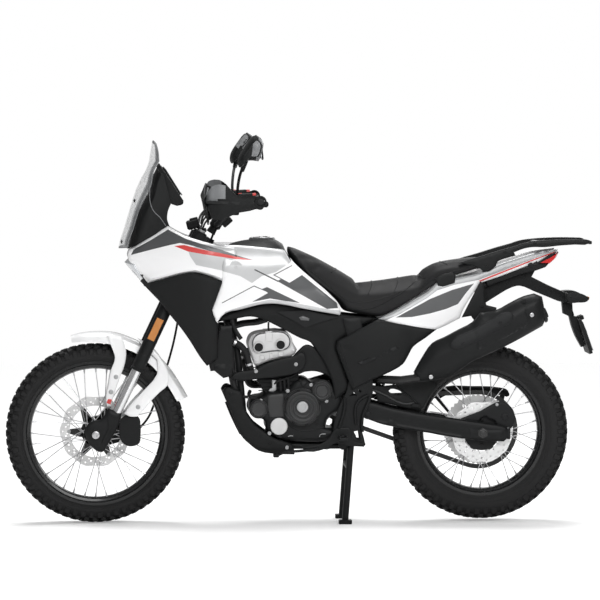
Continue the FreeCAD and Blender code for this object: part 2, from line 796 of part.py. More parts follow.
guard_bolt = rod("GuardBolt", spot(GUARD_BOLT_PX, mm("bar_half_width") - mm("guard_wall")),
                 spot(GUARD_BOLT_PX, guard - mm("guard_wall") / 2), "Sizes.guard_wall")
bar_end = spot(GRIP_END_PX, mm("bar_half_width"))
bar_run = (bar_end - spot(GRIP_START_PX, grip_inner)).normalize()
bolt_room = rod("GuardBoltRoom", bar_end - bar_run * mm("grip_length"),
                bar_end + bar_run * mm("seat_gap"), "Sizes.grip_radius + Sizes.seat_gap")
node("hand_guards", both_sides("HandGuards", fuse("HandGuard", [
    guard_shell, cut("GuardBoltTrimmed", guard_bolt, bolt_room)])))

MIRROR_MIDDLE_PX = [(238.5, 157), (243, 150), (251, 139), (256.5, 135.5), (262, 139.5), (263.2, 143),
                    (261, 155), (258, 161), (250, 160), (244, 163), (240.5, 167)]
MIRROR_SIDE_PX = [(240, 158), (245, 152), (251, 143), (255.5, 139), (259, 142), (260, 145),
                  (258, 154), (256, 159), (250, 158), (245, 160), (242, 163)]
MIRROR_STATION_SHARES = [(0.0, 0.0), (0.7, 0.25), (1.0, 1.0)]
MIRROR_CLAMP_SHARES = (0.79, 0.84, 0.89)
STALK_BEND_PX, STALK_TOP_PX = (235.5, 182.0), (240.5, 163.5)
STALK_SHARE = 0.93
mirror_head = loft_across("MirrorHead", MIRROR_MIDDLE_PX, MIRROR_SIDE_PX,
                          "Sizes.mirror_half_width", MIRROR_STATION_SHARES, centre="-Sizes.mirror_reach")
bar_slope = spot(GRIP_START_PX, -grip_inner) - spot(RISER_PX, -RISER_SHARE * grip_inner)
clamp_low, clamp_middle, clamp_high = [spot(RISER_PX, -RISER_SHARE * grip_inner) + bar_slope * share
                                       for share in MIRROR_CLAMP_SHARES]
mirror_clamp = rod("MirrorClamp", clamp_low, clamp_high, "Sizes.bar_radius + Sizes.clamp_rim")
mirror_bore = round_rod("MirrorClampBore", clamp_low - bar_slope, clamp_high + bar_slope,
                        "Sizes.bar_radius + Sizes.seat_gap")
stalk_points = [clamp_middle + Vector(0, 0, mm("bar_radius") + mm("clamp_rim") / 2),
                spot(STALK_BEND_PX, -STALK_SHARE * grip_inner),
                spot(STALK_TOP_PX, -STALK_SHARE * mm("mirror_reach"))]
stalk = tube("MirrorStalk", stalk_points, mm("clamp_thickness"), "Sizes.stalk_radius")
mirror_arm = fuse("MirrorArm", [mirror_head, stalk, mirror_clamp])
node("mirrors", both_sides("Mirrors", cut("MirrorOnBar", mirror_arm, mirror_bore)))

# Front brake and hose
FRONT_CALIPER_PX = [(119.1, 417), (128, 414), (139.5, 418), (140, 442), (137, 446), (126, 446),
                    (119.1, 441)]
caliper_block = slab("FrontCaliperBlock", FRONT_CALIPER_PX,
                     "Sizes.front_disc_offset - Sizes.caliper_inner", "Sizes.caliper_width")
slot = turned("FrontCaliperSlot",
              [(mm("front_flange_radius"), -mm("disc_thickness") / 2 - mm("disc_slot_gap")),
               (mm("front_disc_radius") + mm("disc_slot_gap"),
                -mm("disc_thickness") / 2 - mm("disc_slot_gap")),
               (mm("front_disc_radius") + mm("disc_slot_gap"),
                mm("disc_thickness") / 2 + mm("disc_slot_gap")),
               (mm("front_flange_radius"), mm("disc_thickness") / 2 + mm("disc_slot_gap"))],
              front_centre + ACROSS * mm("front_disc_offset"))
node("front_caliper", cut("FrontCaliper", caliper_block, slot))

HOSE_ROUTE_PX = [(139, 430), (149, 419), (157, 399), (167, 370), (175, 341), (180, 312), (186.3, 298),
                 (190.4, 287), (201, 263), (210.4, 243), (215.4, 230)]
HOSE_ROUTE_Y = (62.0, 72.0, 84.0, 96.0, 93.0, 86.0, 62.0, 52.0, 50.0, 50.0, 66.0)
HOSE_END_SHARE = 0.128
hose_points = [spot(place, y) for place, y in zip(HOSE_ROUTE_PX, HOSE_ROUTE_Y)]
riser_end = spot(RISER_PX, RISER_SHARE * grip_inner)
hose_points.append(riser_end + (spot(GRIP_START_PX, grip_inner) - riser_end) * HOSE_END_SHARE)


def hose_path(points):
    """Straight runs joined by arcs as large as the runs beside them allow."""
    edges = []
    last = points[0]
    for before, corner, after in zip(points, points[1:], points[2:]):
        back = before - corner
        ahead = after - corner
        reach = HOSE_ARC_SHARE * min(back.Length, ahead.Length)
        back.normalize()
        ahead.normalize()
        half_angle = back.getAngle(ahead) / 2
        radius = reach * math.tan(half_angle)
        bisector = (back + ahead).normalize()
        middle = corner + bisector * (radius / math.sin(half_angle) - radius)
        edges.append(Part.LineSegment(last, corner + back * reach).toShape())
        edges.append(Part.Arc(corner + back * reach, middle, corner + ahead * reach).toShape())
        last = corner + ahead * reach
    edges.append(Part.LineSegment(last, points[-1]).toShape())
    return Part.Wire(edges)


hose_line = doc.addObject("Part::Feature", "BrakeHosePath")
hose_line.Shape = hose_path(hose_points)
hose_ring = doc.addObject("Part::RegularPolygon", "BrakeHoseRing")
hose_ring.Polygon = TUBE_SIDES
hose_ring.setExpression("Circumradius", "Sizes.hose_radius")
hose_ring.Placement = Placement(hose_points[0],
                                Rotation(Vector(0, 0, 1), hose_points[1] - hose_points[0]))
hose = doc.addObject("Part::Sweep", "BrakeHose")
hose.Sections = [hose_ring]
hose.Spine = (hose_line, [f"Edge{number + 1}" for number in range(len(hose_line.Shape.Edges))])
hose.Solid = True
node("brake_hose", cut("BrakeHoseTrimmed", hose, group("HoseEnds", [caliper_block, bar_tube])))

# Front fender, an arched strip round the tyre with two legs on each side
fender_half = half_spacing - mm("fork_outer_radius") - mm("seat_gap")
crown = mm("front_tyre_radius") + mm("fender_clearance")
drop = mm("fender_drop")
wall = mm("fender_wall")
ARCH_SHARES = ((0.6, 1.0), (0.25, 0.78), (0.0, 0.3))
arch = [(crown - drop, fender_half)]
arch_under = [(crown - drop, fender_half - wall)]
for down_share, out_share in ARCH_SHARES:
    arch.append((crown - down_share * drop, out_share * fender_half))
    under_y = out_share * fender_half - (wall if down_share else 0)
    arch_under.append((crown - down_share * drop - wall, under_y))
arch_profile = (arch + [(r, -y) for r, y in reversed(arch)]
                + [(r, -y) for r, y in arch_under] + [(r, y) for r, y in reversed(arch_under)])
fender_crown = turned("FenderCrown", arch_profile, front_centre, FENDER_SPAN_ANGLE,
                      -FULL_TURN / 4 - FENDER_START_ANGLE)
FENDER_FRONT_LEG_PX = [(108, 337.5), (121, 339.5), (125, 363), (117, 385), (112.5, 399), (111, 405),
                       (107, 405), (105.5, 399), (110, 375), (114, 358)]
FENDER_REAR_LEG_PX = [(150, 350), (166, 368), (168, 384), (152, 400), (140, 412), (135, 416),
                      (129.5, 411.5), (131, 405), (144, 390), (157, 374), (157, 360)]
leg_start = "Sizes.fork_spacing / 2 - Sizes.fork_outer_radius - Sizes.fender_leg_wall"
leg_width = "Sizes.fender_leg_wall - 2 * Sizes.seat_gap"
FRONT_TYRE_PX = 89.74
wheel_scale = mm("front_tyre_radius") / (FRONT_TYRE_PX * PIXEL)


def about_wheel(points_px):
    """An outline near the front wheel, drawn larger or smaller as its tyre is."""
    return shrunk(points_px, 1 - wheel_scale, FRONT_AXLE_PX)


front_leg = slab("FenderFrontLeg", about_wheel(FENDER_FRONT_LEG_PX), leg_start, leg_width)
rear_leg = slab("FenderRearLeg", about_wheel(FENDER_REAR_LEG_PX), leg_start, leg_width)
node("front_fender", fuse("FrontFender", [fender_crown, front_leg, rear_leg,
                                          mirror("FenderFrontLegMirrored", front_leg),
                                          mirror("FenderRearLegMirrored", rear_leg)]))

# Frame
clamp_reach = fork_direction * (mm("clamp_thickness") / 2 + mm("running_gap"))
head_tube = rod("HeadTube", lower_middle + steering_shift + clamp_reach,
                upper_middle + steering_shift - clamp_reach, "Sizes.head_tube_radius")
head_bore = round_rod("HeadBore", lower_middle + steering_shift,
                      upper_middle + steering_shift, "Sizes.stem_radius + Sizes.stem_gap")
BACKBONE_PX = [(203, 262), (236, 302.6), (352, 325.6)]
backbone = tube("Backbone", [spot(place) for place in BACKBONE_PX], 2 * mm("backbone_radius"),
                "Sizes.backbone_radius")
cradle_y = mm("cradle_half_width")
DOWN_TUBE_PX = [(212, 282), (236, 345), (243, 418), (262, 444.5), (341, 444.5)]
DOWN_TUBE_SHARES = (0.4, 1.0, 1.0, 1.0, 1.0)
down_tube_points = [spot(place, -share * cradle_y) for place, share in zip(DOWN_TUBE_PX, DOWN_TUBE_SHARES)]
down_tube = tube("DownTube", down_tube_points, 3 * mm("frame_tube_radius"), "Sizes.frame_tube_radius")
PIVOT_PLATE_PX = [(343, 318), (360, 318), (368, 350), (374, 395), (375, 424), (364, 445), (337, 446),
                  (335, 425), (345, 395), (350, 352)]
pivot_plate = slab("PivotPlate", PIVOT_PLATE_PX, "-(Sizes.plate_inner + Sizes.plate_thickness)",
                   "Sizes.plate_thickness")
plate_outer = mm("plate_inner") + mm("plate_thickness")


UPPER_CROSS_PX = (352.0, 327.0)
LOWER_CROSS_PX = (340.5, 443.5)


def cross_tube(label, place_px, radius="Sizes.cross_tube_radius"):
    """A tube from one pivot plate to the other."""
    reach = mm("plate_inner") + mm("plate_thickness") / 2
    return rod(label, spot(place_px, -reach), spot(place_px, reach), radius)


rail_y = mm("rail_half_width")
SEAT_RAIL_PX = [(352, 322.5), (378, 319.8), (470, 290), (536, 262)]
TAIL_BARS_PX = [(430, 303.0), (529, 264.8)]
seat_rail = tube("SeatRail", [spot(place, -rail_y) for place in SEAT_RAIL_PX],
                 3 * mm("frame_tube_radius"), "Sizes.rail_tube_radius")
tail_reach = mm("tail_inner") - mm("seat_gap")
tail_bars = [rod(f"TailBar{number}", spot(place, -tail_reach), spot(place, tail_reach),
                 "Sizes.rail_tube_radius")
             for number, place in enumerate(TAIL_BARS_PX)]
SHOCK_MOUNT_PX = [(350, 322), (372, 328), (376.5, 336), (375.6, 337.3), (367.4, 338.5), (350, 333)]
shock_mount = wide_slab("ShockMount", SHOCK_MOUNT_PX, "Sizes.backbone_radius")
pin_inner = mm("stand_half_width") - mm("stand_tube_radius")
stand_pin = round_rod("StandPin", spot(STAND_PX, -plate_outer), spot(STAND_PX, -pin_inner),
                      "Sizes.stand_pin_radius - Sizes.stem_gap")
half_frame = [down_tube, pivot_plate, seat_rail, stand_pin]
frame_parts = half_frame + [mirror(part.Name + "Mirrored", part) for part in half_frame]
frame_parts += tail_bars + [shock_mount, backbone, head_tube, cross_tube("UpperCrossTube", UPPER_CROSS_PX),
                            cross_tube("LowerCrossTube", LOWER_CROSS_PX)]
frame_solid = fuse("FrameSolid", frame_parts)
node("main_frame", cut("MainFrame", frame_solid, head_bore))

# Swingarm with its pivot tube and brace
SWINGARM_PX = [(361, 403), (372, 402), (400, 409), (440, 416), (500, 425), (507, 428), (507.5, 438),
               (504, 441.5), (490, 441), (460, 438), (425, 432), (373, 423), (362, 420)]
arm = slab("SwingarmLeg", SWINGARM_PX, "-(Sizes.swingarm_inner + Sizes.swingarm_width)",
           "Sizes.swingarm_width")
pivot_reach = mm("plate_inner") - mm("seat_gap")
pivot_tube = rod("PivotTube", spot(PIVOT_PX, -pivot_reach), spot(PIVOT_PX, pivot_reach),
                 "Sizes.pivot_radius")
BRACE_PX = [(374, 405), (386, 408), (386, 421), (374, 421)]
brace_end = rear_centre.x - mm("rear_tyre_radius") - mm("brace_clearance")
brace_shift_px = (brace_end - at(BRACE_PX[1])[0]) / PIXEL
brace_px = [(across_px + brace_shift_px, down_px) for across_px, down_px in BRACE_PX]
brace = wide_slab("SwingarmBrace", brace_px, "(Sizes.swingarm_inner + Sizes.overrun)")
swing_solid = fuse("SwingarmSolid", [arm, mirror("SwingarmLegMirrored", arm), pivot_tube, brace])
swing_reach = mm("swingarm_inner") + mm("swingarm_width") + mm("overrun")
swing_bore = round_rod("SwingarmBore", rear_centre - ACROSS * swing_reach,
                       rear_centre + ACROSS * swing_reach,
                       "Sizes.rear_axle_radius + Sizes.running_gap / 3")
node("swingarm", cut("Swingarm", swing_solid, swing_bore))
NUT_SHARE = 1.6
nut_inner = mm("swingarm_inner") + mm("swingarm_width") + mm("seat_gap")
nut_outer = nut_inner + mm("flange_thickness")
axle_rod = round_rod("RearAxleRod", rear_centre - ACROSS * nut_outer,
                     rear_centre + ACROSS * nut_outer, "Sizes.rear_axle_radius")
axle_nuts = [rod(f"RearAxleNut{number}", rear_centre + ACROSS * side * nut_inner,
                 rear_centre + ACROSS * side * nut_outer, f"Sizes.rear_axle_radius * {NUT_SHARE}")
             for number, side in enumerate((-1, 1))]
node("rear_axle", fuse("RearAxle", [axle_rod] + axle_nuts))


# Rear shock with its coil
SHOCK_TOP_PX = (371.5, 338.0)
SHOCK_BOTTOM_PX = (381.9, 409.0)
COIL_SHARES = (0.22, 0.35, 0.48, 0.61, 0.74)
COIL_SHARE = 0.07
SHOCK_BODY_SHARE = 0.6
shock_low = spot((SHOCK_BOTTOM_PX[0] + brace_shift_px, SHOCK_BOTTOM_PX[1]))
shock_axis = spot(SHOCK_TOP_PX) - shock_low
shock_parts = [rod("ShockBody", shock_low, shock_low + shock_axis,
                   f"Sizes.shock_radius * {SHOCK_BODY_SHARE}")]
for number, share in enumerate(COIL_SHARES):
    shock_parts.append(rod(f"ShockCoil{number}", shock_low + shock_axis * share,
                           shock_low + shock_axis * (share + COIL_SHARE), "Sizes.shock_radius"))
node("rear_shock", cut("RearShock", fuse("ShockSolid", shock_parts), brace))

# Rear brake caliper
REAR_CALIPER_PX = [(489, 407), (498, 402), (508, 406), (514, 414), (512, 424), (508, 434), (499, 433),
                   (500, 421), (496, 414)]
rear_caliper_block = slab("RearCaliperBlock", REAR_CALIPER_PX,
                          "-(Sizes.swingarm_inner - Sizes.seat_gap)", "Sizes.rear_caliper_width")
rear_slot = turned("RearCaliperSlot",
                   [(mm("rear_flange_radius"), -mm("disc_thickness") / 2 - mm("disc_slot_gap")),
                    (mm("rear_disc_radius") + mm("disc_slot_gap"),
                     -mm("disc_thickness") / 2 - mm("disc_slot_gap")),
                    (mm("rear_disc_radius") + mm("disc_slot_gap"),
                     mm("disc_thickness") / 2 + mm("disc_slot_gap")),
                    (mm("rear_flange_radius"), mm("disc_thickness") / 2 + mm("disc_slot_gap"))],
                   rear_centre - ACROSS * mm("rear_disc_offset"))
node("rear_caliper", cut("RearCaliper", rear_caliper_block, rear_slot))

# Engine
CRANKCASE_PX = [(252, 395), (262, 393), (300, 391), (322, 391), (322, 440), (300, 441), (275, 436),
                (262, 427.5), (252, 416.5), (248, 405)]
GEARBOX_PX = [(300, 392), (312, 385), (330, 382), (340, 392), (345, 405), (346, 424), (340, 438),
              (320, 440), (300, 440)]
case_main = wide_slab("CrankcaseMain", CRANKCASE_PX, "Sizes.crankcase_half_width")
gearbox = slab("Gearbox", GEARBOX_PX, "-Sizes.crankcase_half_width",
               "Sizes.crankcase_half_width + Sizes.gearbox_far_side")
SPROCKET_COVER_PX = [(315, 396), (345, 395), (352, 403), (352, 417), (345, 425), (315, 426)]
sprocket_cover = slab("SprocketCover", SPROCKET_COVER_PX, "Sizes.sprocket_cover_inner",
                      "Sizes.crankcase_half_width - Sizes.sprocket_cover_inner")
node("crankcase", fuse("Crankcase", [case_main, gearbox, sprocket_cover]))

case_side = mm("crankcase_half_width") + mm("seat_gap")


def round_cover(label, centre_px, radius, depth, side):
    """A round cover on the side of the crankcase."""
    start = spot(centre_px, side * case_side)
    end = spot(centre_px, side * (case_side + depth))
    return rod(label, start, end, radius)


LARGE_COVER_PX, OIL_COVER_PX, PUMP_COVER_PX, FAR_COVER_PX = (302, 407), (263, 409), (279, 426), (290, 415)
OIL_COVER_SHARE, PUMP_COVER_SHARE = 0.6, 0.3
large_cover = round_cover("LargeCover", LARGE_COVER_PX, "Sizes.large_cover_radius", mm("cover_depth"), -1)
cap_start = case_side + mm("cover_depth")
cover_cap = rod("CoverCap", spot(LARGE_COVER_PX, -cap_start),
                spot(LARGE_COVER_PX, -cap_start - mm("cover_cap_height")), "Sizes.cover_cap_radius")
oil_cover = round_cover("OilCover", OIL_COVER_PX, "Sizes.middle_cover_radius",
                        OIL_COVER_SHARE * mm("cover_depth"), -1)
pump_cover = round_cover("PumpCover", PUMP_COVER_PX, "Sizes.small_cover_radius",
                         PUMP_COVER_SHARE * mm("cover_depth"), -1)
far_cover = round_cover("FarCover", FAR_COVER_PX, "Sizes.large_cover_radius", mm("cover_depth"), 1)
near_covers = fuse("NearCovers", [large_cover, cover_cap, oil_cover, pump_cover])
node("engine_covers", group("EngineCovers", [near_covers, far_cover]))

HEAD_PX = [(254, 333), (285, 331), (291, 340), (297, 350), (293, 356), (268, 361), (254, 365),
           (250, 350), (248, 345), (250, 337)]
HEAD_EDGE_SHARE = 0.06
HEAD_STATION_SHARES = [(0.0, 0.0), (0.9, 0.0), (1.0, 1.0)]
head_block = loft_across("CylinderHead", HEAD_PX, shrunk(HEAD_PX, HEAD_EDGE_SHARE),
                         "Sizes.head_half_width", HEAD_STATION_SHARES)
node("cylinder_head", head_block)
CYLINDER_PX = [(254.8, 365), (268, 361.15), (293, 356.1), (299, 376), (301, 390.8), (262, 392.8),
               (254, 378)]
cylinder_core = wide_slab("CylinderCore", CYLINDER_PX, "Sizes.cylinder_half_width")
FIN_SHARES = (0.12, 0.32, 0.52, 0.72)
FIN_TOP_PX = [(253, 364), (298, 357)]
FIN_LOW_PX = [(259, 392), (304, 389)]
fin_drop_px = mm("fin_thickness") / PIXEL
fins = []
for number, share in enumerate(FIN_SHARES):
    left_px, right_px = between(FIN_TOP_PX, FIN_LOW_PX, share)
    fin_px = [left_px, right_px, (right_px[0], right_px[1] + fin_drop_px),
              (left_px[0], left_px[1] + fin_drop_px)]
    fins.append(wide_slab(f"Fin{number}", fin_px, "(Sizes.cylinder_half_width + Sizes.fin_depth)"))
node("cylinder", fuse("Cylinder", [cylinder_core] + fins))

RADIATOR_PX = [(219, 323.4), (231, 323.4), (231, 372), (222, 376), (212, 368)]
RADIATOR_START = "-(Sizes.shroud_inner - Sizes.seat_gap)"
radiator_block = slab("Radiator", RADIATOR_PX, RADIATOR_START, "Sizes.radiator_width")
LOUVRE_COUNT = 9
LOUVRE_SHARES = (0.06, 0.90)
LOUVRE_GAP_SHARE = 0.55
LOUVRE_DEPTH_PX = 1.6
front_low_px, front_high_px = RADIATOR_PX[-1], RADIATOR_PX[0]
louvre_rooms = []
for number in range(LOUVRE_COUNT):
    pitch = (LOUVRE_SHARES[1] - LOUVRE_SHARES[0]) / LOUVRE_COUNT
    begin = LOUVRE_SHARES[0] + pitch * number
    top_px, low_px = [(front_high_px[0] + (front_low_px[0] - front_high_px[0]) * share,
                       front_high_px[1] + (front_low_px[1] - front_high_px[1]) * share)
                      for share in (begin, begin + pitch * LOUVRE_GAP_SHARE)]
    room_px = [(top_px[0] - LOUVRE_DEPTH_PX, top_px[1]), (top_px[0] + LOUVRE_DEPTH_PX, top_px[1]),
               (low_px[0] + LOUVRE_DEPTH_PX, low_px[1]), (low_px[0] - LOUVRE_DEPTH_PX, low_px[1])]
    louvre_rooms.append(slab(f"LouvreRoom{number}", room_px,
                             "-(Sizes.shroud_inner - Sizes.seat_gap - Sizes.rim_wall)",
                             "Sizes.radiator_width - 2 * Sizes.rim_wall"))
node("radiator", both_sides("Radiators", cut("RadiatorCore", radiator_block,
                                             group("LouvreRooms", louvre_rooms))))

SKID_SIDE_PX = [(223, 392), (227, 387), (237, 391), (243, 403), (251, 418), (265, 433), (285, 441),
                (292, 445), (293, 452), (275, 451.5), (258, 448.5), (248, 441), (240, 433)]
skid_side = slab("SkidSide", SKID_SIDE_PX, "Sizes.skid_plate_half_width", "Sizes.skid_plate_wall")
SKID_BELLY_PX = [(223, 392), (225.5, 390), (243, 431), (251, 439), (262, 448), (292, 448.3), (293, 452),
                 (275, 451.5), (258, 448.5), (248, 441), (240, 433)]
skid_belly = wide_slab("SkidBelly", SKID_BELLY_PX, "(Sizes.skid_plate_half_width + Sizes.overrun)")
node("skid_plate", fuse("SkidPlate", [skid_belly, skid_side, mirror("SkidSideMirrored", skid_side)]))

# Exhaust, from the front of the head round the far side to the muffler
PIPE_ROUTE_PX = [(256, 351), (245, 352.5), (245.5, 358), (250, 386), (305, 386), (330, 377.5), (352, 376),
                 (362, 376.5), (378, 378), (398, 378), (417, 375)]
PIPE_ROUTE_Y = (20.0, 20.0, 95.0, 95.0, 95.0, 50.0, 30.0, -30.0, -96.0, -150.0, -172.0)
pipe_points = [spot(place, y) for place, y in zip(PIPE_ROUTE_PX, PIPE_ROUTE_Y)]
PIPE_BEND_SHARE = 1.3
pipe = tube("PipeRun", pipe_points, PIPE_BEND_SHARE * mm("pipe_radius"), "Sizes.pipe_radius")
MUFFLER_PX = [(432, 343), (472, 322), (480, 311), (497, 309), (523, 296), (534, 293), (542, 296),
              (545, 308), (545, 320), (543, 325), (503, 347), (470, 363), (450, 377), (420, 382.5),
              (414, 371)]
MUFFLER_EDGE_SHARE = 0.22
MUFFLER_STATION_SHARES = [(0.0, 0.0), (0.45, 0.05), (1.0, 1.0)]
muffler_body = loft_across("MufflerBody", MUFFLER_PX, shrunk(MUFFLER_PX, MUFFLER_EDGE_SHARE),
                           "Sizes.muffler_width / 2", MUFFLER_STATION_SHARES,
                           centre="-(Sizes.muffler_inner + Sizes.muffler_width / 2)")
HANGER_PX = [(462, 296), (474, 283), (484, 290), (492, 312), (480, 326), (468, 320)]
muffler_hanger = slab("MufflerHanger", HANGER_PX, "-(Sizes.tail_inner + Sizes.tail_width + Sizes.seat_gap)",
                      "-Sizes.hanger_width")
muffler = fuse("Muffler", [muffler_body, muffler_hanger])
node("muffler", muffler)
node("exhaust_pipe", cut("ExhaustPipe", pipe, group("PipeEnds", [head_block, muffler])))

# Nose, lamp, screen and instruments
NOSE_PX = [(127, 256), (129, 250), (148, 238), (168, 230), (171, 240), (164, 262), (160, 281), (146, 282),
           (134, 268)]
NOSE_SIDE_PX = [(156, 254), (160, 246), (178, 236), (200, 241), (220, 246), (222, 262), (221, 281),
                (193, 273), (170, 276)]
NOSE_STATION_SHARES = [(0.0, 0.0), (0.45, 0.12), (0.78, 0.45), (1.0, 1.0)]
nose_outer = loft_across("NoseOuter", NOSE_PX, NOSE_SIDE_PX, "Sizes.nose_half_width",
                         NOSE_STATION_SHARES)
CAVITY_PX = [(141.6, 300), (159.5, 262), (173.7, 232), (179.4, 220), (240, 220), (240, 300)]
nose_cavity = wide_slab("NoseCavity", CAVITY_PX, "Sizes.nose_cavity_half_width")
SHROUD_INNER_PX = [(150, 285), (152, 285), (155, 284), (158, 283.5), (180, 276), (192, 275), (221, 282),
                   (212, 310), (216, 321), (218, 323), (218, 358), (207, 366), (200, 357), (190, 341),
                   (180, 327), (170, 315), (160, 302), (155, 295), (152, 290)]
SHROUD_MIDDLE_PX = (200, 305)
SHROUD_ROOM_SHARE = -0.004
shroud_room = slab("ShroudRoom", shrunk(SHROUD_INNER_PX, SHROUD_ROOM_SHARE, SHROUD_MIDDLE_PX),
                   "-Sizes.nose_cavity_half_width", "-Sizes.shroud_width")
nose_rooms = group("NoseRooms", [nose_cavity, shroud_room, mirror("ShroudRoomMirrored", shroud_room)])
node("nose_fairing", cut("NoseFairing", nose_outer, nose_rooms))

HEADLIGHT_PX = [(124.5, 262), (128.05, 258), (133.85, 268.15), (145.7, 282), (141, 281)]
HEADLIGHT_SIDE_PX = [(131, 263), (134.9, 258.6), (141.5, 269.5), (150, 277), (146, 278)]
HEADLIGHT_STATION_SHARES = [(0.0, 0.0), (0.6, 0.3), (1.0, 1.0)]
lamp_block = loft_across("HeadlightBlock", HEADLIGHT_PX, HEADLIGHT_SIDE_PX,
                         "Sizes.headlight_half_width", HEADLIGHT_STATION_SHARES)
node("headlight", cut("Headlight", lamp_block, nose_outer))

SCREEN_FRONT_PX = [(118, 248), (119.5, 241), (124, 228), (129, 211), (136, 189), (141, 178),
                   (146, 169), (149, 160), (151, 141)]
SCREEN_EDGE_PX = [(126, 248), (128, 241), (132, 228), (137, 211), (146, 189), (150, 180),
                  (153, 171), (157, 162), (156, 146)]
screen_wall_px = mm("screen_wall") / PIXEL
screen_middle = SCREEN_FRONT_PX + [(p[0] + screen_wall_px, p[1]) for p in reversed(SCREEN_FRONT_PX)]
screen_side = SCREEN_EDGE_PX + [(p[0] + screen_wall_px, p[1]) for p in reversed(SCREEN_EDGE_PX)]
SCREEN_STATION_SHARES = [(0.0, 0.0), (0.4, 0.2), (0.8, 0.65), (1.0, 1.0)]
screen = loft_across("Windscreen", screen_middle, screen_side, "Sizes.screen_half_width",
                     SCREEN_STATION_SHARES)
node("windscreen", screen)

DASH_PX = [(127.6, 250.7), (131, 232), (136, 214), (143, 202), (150, 190), (151, 181), (155, 172),
           (158.5, 166), (171.5, 202), (167.5, 210), (168, 219), (175, 224.6), (167.6, 225.6), (148, 237.9)]
DASH_SIDE_PX = [(138, 243), (140, 234), (144, 220), (150, 208), (154, 198), (156, 190), (158, 182),
                (161, 176), (171, 203), (167.6, 211), (168, 219), (173, 223.4), (167.8, 225), (152, 234)]
DASH_STATION_SHARES = [(0.0, 0.0), (0.6, 0.35), (1.0, 1.0)]
cowl_body = loft_across("CowlBody", DASH_PX, DASH_SIDE_PX, "Sizes.dash_half_width", DASH_STATION_SHARES)
SCREEN_BRACKET_PX = [(123.2, 236), (126.55, 226), (145, 226), (145, 236)]
screen_bracket = slab("ScreenBracket", SCREEN_BRACKET_PX, "-Sizes.screen_bracket_place",
                      "Sizes.screen_bracket_width")
brackets = group("ScreenBrackets", [screen_bracket, mirror("ScreenBracketMirrored", screen_bracket)])
node("dash_cowl", fuse("DashCowl", [cowl_body, cut("ScreenBracketsTrimmed", brackets, screen)]))
INSTRUMENT_PX = [(159.2, 164.6), (183, 201), (182, 204), (177, 205), (171.7, 201.95), (158.65, 165.95)]
node("instrument_panel", wide_slab("InstrumentPanel", INSTRUMENT_PX, "Sizes.instrument_half_width"))

# Bodywork between the nose and the seat
SHROUD_EDGE_SHARE = 0.16
SHROUD_OUTER_PX = shrunk(SHROUD_INNER_PX, SHROUD_EDGE_SHARE, SHROUD_MIDDLE_PX)
node("shrouds", both_sides("Shrouds", loft_out("Shroud", SHROUD_INNER_PX, SHROUD_OUTER_PX,
                                               "-Sizes.shroud_inner", "-Sizes.shroud_width")))

TANK_PX = [(222, 252), (236, 242.5), (250, 240), (268, 239), (281, 242.5), (284.5, 253), (291, 263),
           (300, 272), (334, 301), (337, 312.3), (300, 307.4), (272, 303.1), (250, 298.6), (232, 284)]
TANK_EDGE_SHARE = 0.14
TANK_STATION_SHARES = [(0.0, 0.0), (0.55, 0.1), (1.0, 1.0)]
tank_body = loft_across("TankBody", TANK_PX, shrunk(TANK_PX, TANK_EDGE_SHARE), "Sizes.tank_half_width",
                        TANK_STATION_SHARES)
cap_bottom = spot(CAP_PX)
neck_reach = Vector(0, 0, mm("neck_depth"))
neck = round_rod("FillerNeck", cap_bottom - neck_reach, cap_bottom + neck_reach, "Sizes.neck_radius")
cap_seat = rod("CapSeat", cap_bottom - Vector(0, 0, mm("neck_depth") / 2), cap_bottom,
               "Sizes.cap_radius - Sizes.overrun")
node("fuel_tank", cut("FuelTank", fuse("TankSolid", [tank_body, cap_seat]), neck))
node("fuel_cap", rod("FuelCap", cap_bottom + Vector(0, 0, mm("seat_gap")),
                     cap_bottom + Vector(0, 0, mm("seat_gap") + mm("cap_height")), "Sizes.cap_radius"))

TANK_PANEL_PX = [(221, 246), (236, 245), (260, 247), (283, 250.5), (285.5, 253), (291, 261), (300, 270),
                 (335, 300.5), (341, 310), (340, 313.2), (300, 308), (272, 303), (250, 306.5), (230, 311),
                 (223, 315), (216.3, 320.6), (212.3, 310), (221.4, 282.4)]
TANK_PANEL_OUTER_PX = [(228, 256), (238, 254), (256, 256), (272, 260), (277, 264), (283, 270), (292, 277),
                       (318, 297), (324, 304), (322, 306), (296, 303), (272, 298), (252, 300), (234, 303),
                       (228, 306), (223, 310), (220, 306), (226, 283)]
node("tank_side_panels", both_sides("TankSidePanels", loft_out(
    "TankSidePanel", TANK_PANEL_PX, TANK_PANEL_OUTER_PX, "-Sizes.tank_panel_inner",
    "-Sizes.tank_panel_width")))

FRAME_COVER_PX = [(218, 323.5), (223, 317), (250, 308.4), (272, 305), (340, 314.6), (372, 319), (337, 340),
                  (341, 362), (349, 388), (341, 388.5), (330, 374), (318, 352), (310, 342), (300, 338),
                  (262, 320), (250, 317.5), (235, 320)]
frame_cover = slab("FrameCoverSlab", FRAME_COVER_PX,
                   "-(Sizes.frame_cover_inner + Sizes.frame_cover_width)", "Sizes.frame_cover_width")
cross_room = cross_tube("CrossTubeRoom", UPPER_CROSS_PX, "Sizes.cross_tube_radius + Sizes.seat_gap")
node("frame_covers", both_sides("FrameCovers", cut("FrameCover", frame_cover, cross_room)))
SIDE_COVER_PX = [(378, 321), (338, 342), (338, 350), (352, 390), (390, 372), (403, 364), (413, 347),
                 (434, 331), (400, 325.6), (380, 322)]
SIDE_EDGE_SHARE = 0.12
node("side_covers", both_sides("SideCovers", loft_out(
    "SideCover", SIDE_COVER_PX, shrunk(SIDE_COVER_PX, SIDE_EDGE_SHARE), "-Sizes.side_cover_inner",
    "-Sizes.side_cover_width")))

